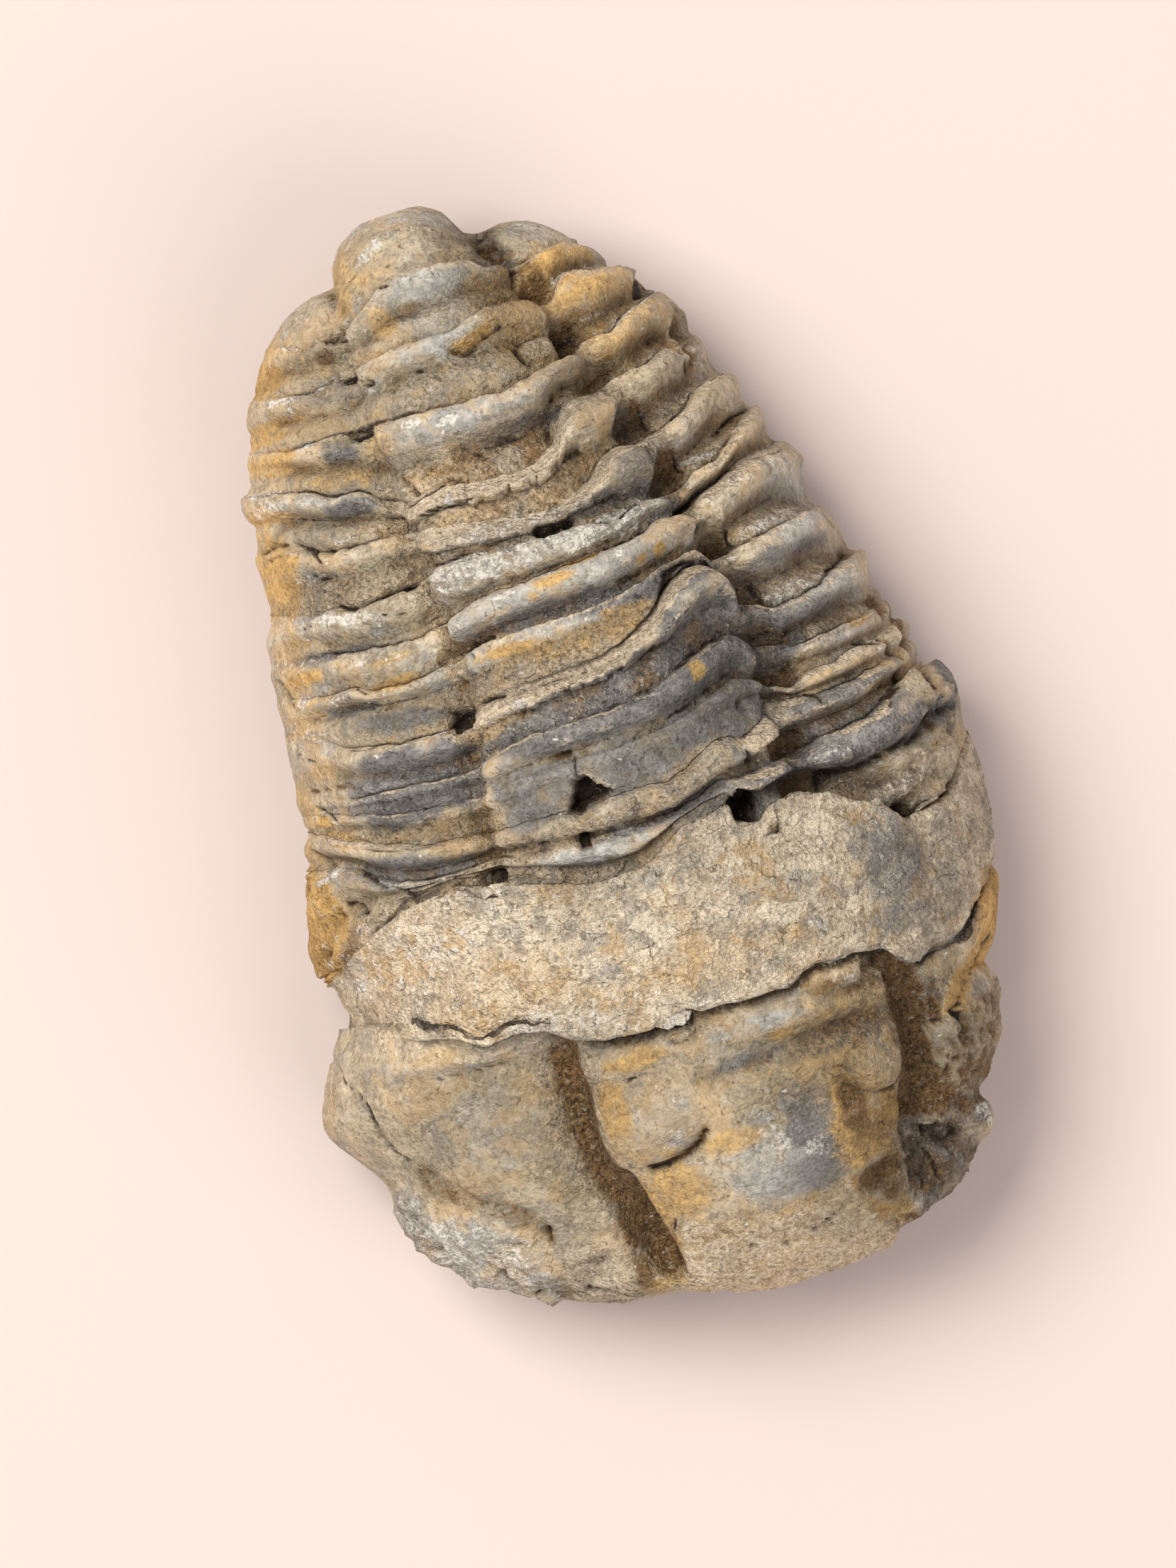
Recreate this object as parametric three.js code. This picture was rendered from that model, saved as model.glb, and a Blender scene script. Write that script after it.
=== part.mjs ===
// A fossil trilobite, one stone. It lies on the flat face under it, with the shell up, the tail towards +Y
// and the head towards -Y. Lengths are millimetres. The plan of the shell is surveyed from a point on the
// axial lobe; the finished solid is then moved so that its origin is at the bottom middle of its box.
import * as THREE from "three";

const { lerp, clamp, smoothstep } = THREE.MathUtils;

// Driving dimensions.
const HEIGHT = 27.5; // from the rest face to the top of the arched back
const TAIL_Y = 43.2; // the tip of the tail, from the survey point
const HEAD_Y = -37.6; // the front of the head
const TAIL_Z = 9; // height of the tip of the tail over the rest face
const HEAD_Z = 8;
const SHIELD_Y = 39.6; // where the tail shield ends and the ribs begin
const LOBES_Y = -26.5; // the front of the basal lobes of the glabella
const SNOUT_Y = -34.5; // where the head turns down to its front edge
const TAIL_TURN = 12; // over this length the belly curves up to the tip of the tail
const HEAD_TURN = 10;
const LEDGE = 1.35; // how far a segment's back edge stands over the groove behind it
const RING_RISE = 3.6; // how far the axial lobe stands over its two furrows
const GLABELLA_RISE = 4.6;
const BAND_RISE = 1.7; // the smooth plate across the neck, over the segments beside it
const FLOOR_SINK = 2; // how far the belly would reach below the rest face if it weren't flat

// Columns of the surface grid, across the back and under the belly.
const SIDE_COLUMNS = 11;
const LOBE_COLUMNS = 14;
const BELLY_COLUMNS = 10;

// Plan outline, as x of the left and right edge at each y from the tail to the head.
const LEFT_EDGE = [
  [43.2, -6.3], [43, -8], [42.1, -10], [41, -10.9], [39.3, -11.7], [39, -13.8], [38.4, -15], [37, -17],
  [34.5, -19], [32.4, -20], [30.5, -20.5], [28, -21.3], [26.5, -22.2], [23.3, -22.5], [18, -23.2],
  [13, -24.3], [5, -25.2], [0, -25.5], [-2, -26.2], [-5, -27.4], [-8, -26.5], [-11, -27.3], [-12.5, -28.5],
  [-15.7, -30.2], [-17, -30.6], [-19.3, -29.3], [-22, -27.5], [-27, -26.6], [-29.3, -24.3], [-31.1, -22.6],
  [-32.4, -20], [-33.8, -18], [-34.5, -14.8], [-35.3, -12], [-35.9, -7.5], [-36.9, -5], [-37.6, -1.3],
];
const RIGHT_EDGE = [
  [43.2, -6.3], [42.9, -4], [42.1, -2.7], [40.3, -1], [39.9, 1.5], [38.4, 4.5], [37, 6.2], [35, 8],
  [32.7, 10], [31.3, 10.5], [29.8, 11.6], [26.5, 12], [24.6, 13.4], [22.5, 14.3], [19.5, 15.2],
  [17.8, 16.1], [15, 16.2], [11.8, 17.4], [10, 18.3], [5.3, 19], [3.2, 19.8], [1, 20.4], [-0.8, 21.7],
  [-5, 22], [-8, 21.8], [-11.5, 21.3], [-14.2, 20.5], [-16.5, 19.7], [-19, 18.4], [-20.4, 17.6],
  [-22.3, 17.7], [-24.7, 16.9], [-27.3, 15.2], [-30.4, 14.1], [-32.4, 12.9], [-34.3, 10.8], [-35.5, 8.4],
  [-36.6, 5.6], [-37.4, 2.4], [-37.6, -1.3],
];

// Axial furrows, as x at each y.
const LEFT_FURROW = [
  [43, -10.5], [39, -11.7], [33, -12.2], [25, -12], [19, -11.7], [12, -11.4], [5, -12.5], [-17, -12.6],
  [-26, -12.3], [-30, -11], [-35, -9.7],
];
const RIGHT_FURROW = [
  [43, -1.8], [39, 0.7], [36.8, 1.3], [33.8, 2.4], [29.8, 3.7], [27, 4.6], [22.5, 5.9], [15, 8], [11, 9.3],
  [5, 10.2], [-1, 9.2], [-17, 10.4], [-23, 10.3], [-27.5, 9], [-35, 8.2],
];

// Height of the back along the axial lobe, over the rest face.
const CREST = [
  [43.2, 9], [43, 10.9], [42.4, 12.7], [41, 15.4], [39, 17.9], [36, 20.4], [31, 23], [24, 25.2],
  [16, 26.7], [8, 27.5], [0, 27.2], [-5, 26.2], [-12, 25.8], [-17.6, 25], [-20, 24.6], [-25, 23.6],
  [-29, 21.6], [-32, 18.8], [-34.5, 15.6], [-36.3, 12.6], [-37.2, 10.2], [-37.6, 8],
];
const EDGE_HEIGHT = [[43.2, 9], [36, 8], [20, 7], [0, 6.5], [-16, 7.5], [-30, 8], [-37.6, 8]];

// Rows that cross the back, each as y at these x, from the left edge to the right one.
const STATIONS = [-30, -24, -18, -13, -9, -5, -1, 3, 7, 10, 13, 18, 22];
const level = (y) => STATIONS.map(() => y);
const SEGMENT_ROWS = [
  [41, 39, 37, 36, 37.6, 38.3, 37.4, 37.2, 37.2, 38, 39, 40.7, 42],
  [37.5, 35.4, 33.4, 33.1, 33.9, 33.8, 34.5, 34.1, 34.9, 35.2, 36, 37.7, 39],
  [33, 31.3, 29.3, 29.1, 28.9, 28.6, 28.8, 29.4, 30.8, 32.2, 33.6, 35.2, 36.5],
  [30, 28, 26.2, 24.3, 23.5, 23.1, 23.4, 26.7, 27.2, 27.8, 29.1, 31.3, 33],
  [26, 23.8, 21.8, 21.3, 20.8, 20.1, 19.9, 22.1, 22.7, 24, 25.2, 27.3, 29],
  [21.5, 19.2, 17.7, 17.6, 18.1, 17.9, 17.9, 17.9, 18.2, 19.3, 21.5, 24.2, 26],
  [17, 15.6, 14.4, 13.9, 15.2, 15.4, 15.6, 15.9, 16.5, 17.9, 19.1, 20.8, 22.5],
  [14, 12.9, 11.7, 11.3, 12.1, 12.2, 12.2, 12.9, 13.7, 13.2, 13.6, 15.1, 17],
  [12.2, 10.3, 7.5, 7.1, 8.4, 8.6, 8.9, 10.9, 13.1, 9.2, 8.4, 10.4, 12],
  [7.4, 5.8, 4.3, 3.9, 5, 5.1, 5, 6.1, 7.4, 6.1, 5.4, 6.2, 8],
  [5.4, 4.4, 2.5, 2, 2.3, 2.3, 2.4, 3, 4.4, 2.8, 3.4, 4.4, 6],
  [4.4, 3, 0.3, -0.6, -0.7, -0.8, -0.8, 0.3, 0.7, 1.8, 1.6, 2.5, 4],
  [1.5, 0.5, -2.4, -2.7, -3, -3.2, -3.3, -2.5, -2.2, -1.9, -1.1, 0.9, 2.5],
];
const BAND_BACK = [-7.5, -5.3, -2.9, -3.9, -5.1, -5.9, -4.6, -3.4, -4.4, -4.5, -6, -7.2, -4];
const BAND_FRONT = [
  -10, -12, -15.4, -16.2, -17.7, -17.3, -17.7, -17.9, -17, -17.2, -18.8, -17.2, -12.5,
];
const NECK = [-13.5, -16, -18.8, -20, -20.6, -20.8, -21, -21, -21, -21, -21.4, -20, -18];

// How strongly each segment's back edge stands up: on the left ribs, the axial rings and the right ribs.
const EDGE_STRENGTH = [
  [0.7, 0.6, 0.9], [0.8, 0.9, 1], [0.9, 1.1, 1.1], [0.9, 0.9, 1], [0.8, 0.9, 1.2], [1, 0.8, 1.1],
  [0.7, 1, 1.2], [0.8, 0.3, 0.5], [1.1, 1.3, 1.1], [0.7, 0.8, 1.1], [0.5, 0.4, 0.8], [1, 1, 1],
  [0.8, 0.8, 1.1],
];
// Height through one segment, from its back edge to the foot of the next, as shares of the ledge.
const PHASES = [0.02, 0.2, 0.42, 0.64, 0.93];
const RING_PROFILE = [0.7, 1, 0.85, 0.35, 0];
const RIB_PROFILE = [0.85, 1, 0.45, 0.6, 0];

// Lumps (raised) and hollows (sunk) of the stone: x, y, radius along x and y, height.
const LUMPS = [
  [-8, -23.2, 3.4, 3, 0.9], // left basal lobe of the glabella
  [7.6, -22.9, 2.4, 2.6, 0.7],
  [-1, -19.1, 9, 1.1, 0.7], // occipital ring
  [-0.5, -22.3, 9, 0.7, 0.3],
  [-1, -29, 7, 4.5, 0.5],
  [10, -31, 1.3, 3, 0.9],
  [13.6, -30.4, 1.1, 1.4, 1.1], // pebble at the right of the front
  [-19, -24, 5, 6, 0.8], // left cheek
  [20.6, -0.6, 1, 1.6, 0.8],
];
const HOLLOWS = [
  [-0.5, -20.9, 9, 0.7, 0.7], // occipital furrow
  [-7.4, -26.7, 2.6, 0.7, 1], // first glabellar furrows
  [7.6, -26, 2, 0.7, 0.8],
  [-10.4, -31.5, 1.3, 3, 0.8], // left furrow at the front
  [5.7, -32, 1.6, 1.2, 0.8],
  [-5.2, -0.3, 2, 1.1, 2.2], // broken gaps behind the band
  [6.3, -3.2, 2.2, 1.1, 2],
  [15.4, -7.8, 1.2, 0.7, 1.4],
  [20.4, -2.9, 0.6, 1.5, 1.5],
  [-26, -5.6, 1, 1.2, 0.8],
];

/** A function of t through [t, value] points whose t falls from the first to the last. */
function through(points) {
  return (t) => {
    const next = clamp(points.findIndex(([at]) => at <= t), 1, points.length - 1);
    const [t0, a] = points[next - 1];
    const [t1, b] = points[next];
    return t >= points[0][0] ? points[0][1] : lerp(a, b, clamp((t - t0) / (t1 - t0), 0, 1));
  };
}

const leftEdge = through(LEFT_EDGE);
const rightEdge = through(RIGHT_EDGE);
const leftFurrow = through(LEFT_FURROW);
const rightFurrow = through(RIGHT_FURROW);
const crest = through(CREST);
const edgeHeight = through(EDGE_HEIGHT);

/** The y of a row at x, eased between its stations. */
function rowAt(row, x) {
  const next = clamp(STATIONS.findIndex((at) => at >= x), 1, STATIONS.length - 1);
  const share = smoothstep(x, STATIONS[next - 1], STATIONS[next]);
  const straight = clamp((x - STATIONS[next - 1]) / (STATIONS[next] - STATIONS[next - 1]), 0, 1);
  return lerp(row[next - 1], row[next], lerp(straight, share, 0.5));
}

/** Every row of the grid from the tail to the head, with its place in its segment. */
function gridRows() {
  const rows = [];
  const span = (from, to, shares, extra = {}) =>
    shares.forEach((share, step) => {
      const y = from.map((start, i) => lerp(start, to[i], share));
      rows.push({ y, step, segment: -1, ...extra });
    });
  span(level(TAIL_Y), level(SHIELD_Y), [0, 0.03, 0.12, 0.3, 0.6, 0.85]);
  span(level(SHIELD_Y), SEGMENT_ROWS[0], [0.25, 0.65]);
  SEGMENT_ROWS.forEach((row, segment) =>
    span(row, SEGMENT_ROWS[segment + 1] ?? BAND_BACK, PHASES, { segment }));
  span(BAND_BACK, BAND_FRONT, [0.02, 0.12, 0.35, 0.65, 0.9, 0.985], { band: true });
  span(BAND_FRONT, NECK, [0.08, 0.45, 0.8]);
  span(NECK, level(LOBES_Y), [0, 0.2, 0.45, 0.7, 0.95]);
  span(level(LOBES_Y), level(SNOUT_Y), [0.12, 0.3, 0.5, 0.7, 0.9]);
  span(level(SNOUT_Y), level(HEAD_Y), [0.1, 0.4, 0.65, 0.83, 0.95, 1]);
  return rows;
}

/** Where a row meets an edge of the outline: side is -1 at the left and 1 at the right. */
function edgeOf(row, side) {
  const edge = side < 0 ? leftEdge : rightEdge;
  let outside = side * 32 - 4;
  let inside = -4;
  for (let i = 0; i < 30; i += 1) {
    const middle = (outside + inside) / 2;
    if (side * (middle - edge(rowAt(row, middle))) > 0) outside = middle;
    else inside = middle;
  }
  return inside;
}

/** The arch of a quarter ellipse of any fullness, 1 at the middle (t = 0) and 0 at the end (t = 1). */
const arch = (t, outer, inner) => (1 - clamp(Math.abs(t), 0, 1) ** outer) ** (1 / inner);

/** 1 on the smooth plate across the neck and 0 off it. */
const onBand = (x, y) =>
  smoothstep(rowAt(BAND_BACK, x) - y, -0.4, 0.2) * smoothstep(y - rowAt(BAND_FRONT, x), -0.2, 0.3);

/** Height of the back at a place in plan, without the ledges. */
function backHeight(x, y) {
  const left = leftEdge(y);
  const right = rightEdge(y);
  const low = edgeHeight(y);
  const top = crest(y);
  const lobeLeft = Math.max(leftFurrow(y), lerp(left, right, 0.2));
  const lobeRight = Math.min(rightFurrow(y), lerp(left, right, 0.8));
  const rise = y < -17 ? GLABELLA_RISE : RING_RISE;
  const furrow = top - rise * clamp((top - low) / 12, 0, 1);
  const across = (x - (lobeLeft + lobeRight) / 2) / ((lobeRight - lobeLeft) / 2);
  const outward = x < lobeLeft
    ? (lobeLeft - x) / (lobeLeft - left)
    : (x - lobeRight) / (right - lobeRight);
  const ribbed = Math.abs(across) < 1
    ? furrow + (top - furrow) * arch(across, 2.4, 1.8)
    : low + (furrow - low) * arch(outward, 2.3, 1.7);
  const whole = (x - (left + right) / 2) / ((right - left) / 2);
  const plate = low + (top + BAND_RISE - low) * arch(whole, 2.6, 1.8);
  return Math.min(lerp(ribbed, plate, onBand(x, y)), HEIGHT);
}

/** Height of the belly at a share of the way across: rough sides, with the flat rest face between them. */
function bellyHeight(across, y) {
  const low = edgeHeight(y);
  const tail = arch(clamp((y - TAIL_Y + TAIL_TURN) / TAIL_TURN, 0, 1), 2, 2);
  const head = arch(clamp((HEAD_Y + HEAD_TURN - y) / HEAD_TURN, 0, 1), 2, 2);
  const depth = (low + FLOOR_SINK) * Math.min(tail, head);
  return Math.max(0, low - depth * arch(across, 3, 2.2));
}

/** Lumps and hollows at a place in plan. */
function lumpiness(x, y) {
  const bump = ([cx, cy, rx, ry, height]) =>
    height * Math.exp(-(((x - cx) / rx) ** 2) - ((y - cy) / ry) ** 2);
  const raised = LUMPS.reduce((sum, lump) => sum + bump(lump), 0);
  return raised - HOLLOWS.reduce((sum, hollow) => sum + bump(hollow), 0);
}

/** How far the shell stands out at a grid place, from its segment's profile and the lumps. */
function relief(row, zone, inZone, x, y) {
  if (zone === "belly") return 0;
  const fade = 1 - smoothstep(Math.abs(inZone * 2 - 1), 0.82, 1) * (zone === "ring" ? 0.7 : 0);
  if (row.segment < 0) return lumpiness(x, y) * fade;
  const side = { left: 0, ring: 1, right: 2 }[zone];
  const profile = zone === "ring" ? RING_PROFILE : RIB_PROFILE;
  const stands = profile[row.step] - 0.5;
  return (stands * LEDGE * EDGE_STRENGTH[row.segment][side] + lumpiness(x, y)) * fade;
}

/** One closed loop of the grid: over the back from left to right, then back under the belly. */
function loopOf(row) {
  const left = edgeOf(row.y, -1);
  const right = edgeOf(row.y, 1);
  const middleY = rowAt(row.y, (left + right) / 2);
  const lobeLeft = Math.max(leftFurrow(middleY), lerp(left, right, 0.2));
  const lobeRight = Math.min(rightFurrow(middleY), lerp(left, right, 0.8));
  const points = [];
  const over = (x, zone, inZone) => {
    const y = rowAt(row.y, x);
    points.push({ at: new THREE.Vector3(x, y, backHeight(x, y)), out: relief(row, zone, inZone, x, y) });
  };
  for (let i = 0; i < SIDE_COLUMNS; i += 1) {
    const t = i / SIDE_COLUMNS;
    over(lerp(left, lobeLeft, lerp(t, t * t, 0.6)), "left", t);
  }
  for (let i = 0; i <= LOBE_COLUMNS; i += 1) {
    const t = i / LOBE_COLUMNS;
    over(lerp(lobeLeft, lobeRight, t), "ring", t);
  }
  for (let i = SIDE_COLUMNS - 1; i >= 0; i -= 1) {
    const t = i / SIDE_COLUMNS;
    over(lerp(right, lobeRight, lerp(t, t * t, 0.6)), "right", t);
  }
  const leftY = rowAt(row.y, left);
  const rightY = rowAt(row.y, right);
  for (let i = 1; i < BELLY_COLUMNS; i += 1) {
    const turn = (i / BELLY_COLUMNS) * Math.PI;
    const across = lerp(1 - (2 * i) / BELLY_COLUMNS, Math.cos(turn), 0.5);
    const share = (across + 1) / 2;
    const y = lerp(leftY, rightY, share);
    points.push({ at: new THREE.Vector3(lerp(left, right, share), y, bellyHeight(across, y)), out: 0 });
  }
  return points;
}

/** Moves each grid point out along the surface's own direction by its relief. */
function shell(loops) {
  const count = loops[0].length;
  return loops.map((loop, r) =>
    loop.map(({ at, out }, c) => {
      if (out === 0 || r === 0 || r === loops.length - 1) return at.clone();
      const along = loops[r + 1][c].at.clone().sub(loops[r - 1][c].at);
      const across = loop[(c + 1) % count].at.clone().sub(loop[(c + count - 1) % count].at);
      const normal = across.cross(along).multiplyScalar(-1).normalize();
      return at.clone().addScaledVector(normal, out);
    }));
}

/** The closed surface: a point at each end and a band of triangles between each two loops. */
function stoneGeometry() {
  const loops = shell(gridRows().map(loopOf));
  const count = loops[0].length;
  const tail = new THREE.Vector3((LEFT_EDGE[0][1] + RIGHT_EDGE[0][1]) / 2, TAIL_Y, TAIL_Z);
  const head = new THREE.Vector3(LEFT_EDGE.at(-1)[1], HEAD_Y, HEAD_Z);
  const rings = loops.slice(1, -1);
  const vertices = [tail, ...rings.flat(), head];
  const index = (r, c) => 1 + r * count + (c % count);
  const faces = [];
  for (let c = 0; c < count; c += 1) {
    faces.push(0, index(0, c), index(0, c + 1));
    faces.push(vertices.length - 1, index(rings.length - 1, c + 1), index(rings.length - 1, c));
    for (let r = 0; r + 1 < rings.length; r += 1) {
      const [a, b, d, e] = [index(r, c), index(r, c + 1), index(r + 1, c), index(r + 1, c + 1)];
      const [ae, bd] = [vertices[a].distanceTo(vertices[e]), vertices[b].distanceTo(vertices[d])];
      if (ae < bd) faces.push(a, d, e, a, e, b);
      else faces.push(a, d, b, b, d, e);
    }
  }
  const geometry = new THREE.BufferGeometry().setFromPoints(vertices);
  geometry.setIndex(faces);
  geometry.computeBoundingBox();
  const { min, max } = geometry.boundingBox;
  geometry.translate(-(min.x + max.x) / 2, -(min.y + max.y) / 2, -min.z);
  geometry.computeVertexNormals();
  return geometry;
}

const stone = new THREE.MeshStandardMaterial({ color: 0x8f8370, roughness: 0.93, metalness: 0 });
const trilobite = new THREE.Mesh(stoneGeometry(), stone);
trilobite.name = "trilobite";

const part = new THREE.Group();
part.add(trilobite);

export default part;
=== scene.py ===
"""A fossil trilobite: one weathered stone, lying on its flat underside with the shell up.

The shell is surveyed in millimetres from a point on the axial lobe, with y towards the tail and x towards
the right of the body as it is looked down on. Each part of the body is a class that shapes its own stretch
of one closed surface and says how that stretch is weathered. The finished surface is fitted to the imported
solid's box, so the stone stands where the solid does.
"""

import logging
import math
from dataclasses import dataclass, field, replace
from enum import Enum
from typing import Any, Sequence

import bpy
import numpy as np
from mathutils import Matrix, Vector


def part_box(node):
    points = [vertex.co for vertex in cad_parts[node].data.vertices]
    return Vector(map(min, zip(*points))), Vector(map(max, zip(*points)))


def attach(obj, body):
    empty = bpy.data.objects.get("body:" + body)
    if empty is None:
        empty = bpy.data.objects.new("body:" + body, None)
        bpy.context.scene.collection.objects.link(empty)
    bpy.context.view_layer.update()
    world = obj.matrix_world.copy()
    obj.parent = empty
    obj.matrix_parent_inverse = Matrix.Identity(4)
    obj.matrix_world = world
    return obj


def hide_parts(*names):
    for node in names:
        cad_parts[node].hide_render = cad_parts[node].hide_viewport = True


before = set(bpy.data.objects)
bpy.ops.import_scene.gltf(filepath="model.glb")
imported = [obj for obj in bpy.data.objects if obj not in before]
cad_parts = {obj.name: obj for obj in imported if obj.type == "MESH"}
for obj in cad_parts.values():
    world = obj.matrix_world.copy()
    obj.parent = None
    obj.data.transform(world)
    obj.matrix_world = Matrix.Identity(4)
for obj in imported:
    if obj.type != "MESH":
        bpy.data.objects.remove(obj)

log = logging.getLogger("trilobite")

NODE = "trilobite"
MM = 0.001
Points = Sequence[tuple[float, float]]
Array = np.ndarray


# === Small mathematics shared by the parts of the body ===


def ease(value: Array, start: float | Array, end: float | Array) -> Array:
    """A smooth step of value from 0 at start to 1 at end."""
    share = np.clip((value - start) / (end - start), 0.0, 1.0)
    return share * share * (3.0 - 2.0 * share)


def mix(low: Array | float, high: Array | float, share: Array | float) -> Array:
    """A straight blend from low to high."""
    return low + (high - low) * share


def arch(across: Array, outer: float, inner: float) -> Array:
    """The arch of a quarter superellipse, 1 at the middle (0) and 0 at the end (1 or -1)."""
    return (1.0 - np.clip(np.abs(across), 0.0, 1.0) ** outer) ** (1.0 / inner)


def smoothed(values: Array, passes: int) -> Array:
    """Values over the grid, averaged with their neighbours along and round the stone, pass after pass.

    Args:
        values: One value for each grid point.
        passes: How many passes.

    Returns:
        The averaged values.
    """
    for _ in range(passes):
        inner = (values[:-2] + 2 * values[1:-1] + values[2:]) / 4
        values = np.concatenate((values[:1], inner, values[-1:]))
        values = (np.roll(values, 1, axis=1) + 2 * values + np.roll(values, -1, axis=1)) / 4
    return values


def averaged(values: Array, axis: int, reach: int) -> Array:
    """Values over the grid, averaged twice over reach steps each way along one axis.

    Args:
        values: One value for each grid point.
        axis: 0 along the stone, 1 round it.
        reach: Steps each way.

    Returns:
        The averaged values.
    """
    for _ in range(2):
        margin = [(0, 0), (0, 0)]
        margin[axis] = (reach + 1, reach)
        sums = np.cumsum(np.pad(values, margin, mode="edge" if axis == 0 else "wrap"), axis=axis)
        near, window = values.shape[axis], 2 * reach + 1
        values = (np.take(sums, range(window, window + near), axis) - np.take(sums, range(near), axis)) / window
    return values


@dataclass(frozen=True)
class Line:
    """A value that changes along y, through (y, value) points, straight or rounded between them."""

    points: Points
    rounded: bool = False

    def __call__(self, y: Array | float) -> Array:
        """The value at y.

        Args:
            y: Places along.

        Returns:
            One value for each.
        """
        at, value = (np.array(part, float) for part in zip(*sorted(self.points)))
        if not self.rounded:
            return np.interp(y, at, value)
        gaps = np.diff(at)
        slopes = np.diff(value) / gaps
        inner = (slopes[:-1] * gaps[1:] + slopes[1:] * gaps[:-1]) / (gaps[1:] + gaps[:-1])
        bend = np.concatenate((slopes[:1], np.where(slopes[:-1] * slopes[1:] > 0, inner, 0.0), slopes[-1:]))
        y = np.clip(np.asarray(y, float), at[0], at[-1])
        k = np.clip(np.searchsorted(at, y, side="right") - 1, 0, len(gaps) - 1)
        t, gap = (y - at[k]) / gaps[k], gaps[k]
        return (value[k] * (1 + 2 * t) * (1 - t) ** 2 + value[k + 1] * t * t * (3 - 2 * t)
                + gap * t * (1 - t) * (bend[k] * (1 - t) - bend[k + 1] * t))


@dataclass(frozen=True)
class Grain:
    """Seeded gradient noise in three dimensions, between about -1 and 1."""

    seed: int

    def at(self, points: Array, size: float | Sequence[float], octaves: int = 1, roughness: float = 0.5) -> Array:
        """Noise at points.

        Args:
            points: Places, one row each, in millimetres.
            size: Size of the largest lumps, one value or one for each axis.
            octaves: How many layers, each half the size of the one before.
            roughness: Strength of each layer as a share of the one before.

        Returns:
            One value for each point.
        """
        total = np.zeros(len(points))
        strength, reach = 1.0, 0.0
        scaled = points / np.asarray(size, float)
        for octave in range(octaves):
            total += strength * self._layer(scaled * 2.0**octave + 17.3 * octave, octave)
            reach += strength
            strength *= roughness
        return total / reach * 1.6

    def _layer(self, places: Array, octave: int) -> Array:
        """One layer of gradient noise.

        Args:
            places: Places, one row each, in lumps.
            octave: Which layer it is.

        Returns:
            One value for each place.
        """
        rng = np.random.default_rng(self.seed * 31 + octave)
        table = rng.permutation(256)
        slopes = rng.normal(size=(256, 3))
        slopes /= np.linalg.norm(slopes, axis=1, keepdims=True)
        cell = np.floor(places).astype(int)
        inside = places - cell
        blend = inside**3 * (inside * (inside * 6.0 - 15.0) + 10.0)
        total = np.zeros(len(places))
        for corner in range(8):
            step = np.array([corner & 1, corner >> 1 & 1, corner >> 2 & 1])
            at = (cell + step) & 255
            slope = slopes[table[(table[(table[at[:, 0]] + at[:, 1]) & 255] + at[:, 2]) & 255]]
            weight = np.prod(np.where(step, blend, 1.0 - blend), axis=1)
            total += weight * np.sum(slope * (inside - step), axis=1)
        return total


class Zone(Enum):
    """The stretches that a row crosses, from the left edge round to the belly."""

    LEFT = 0
    RING = 1
    RIGHT = 2
    BELLY = 3


# === The survey of the whole stone ===


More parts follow.
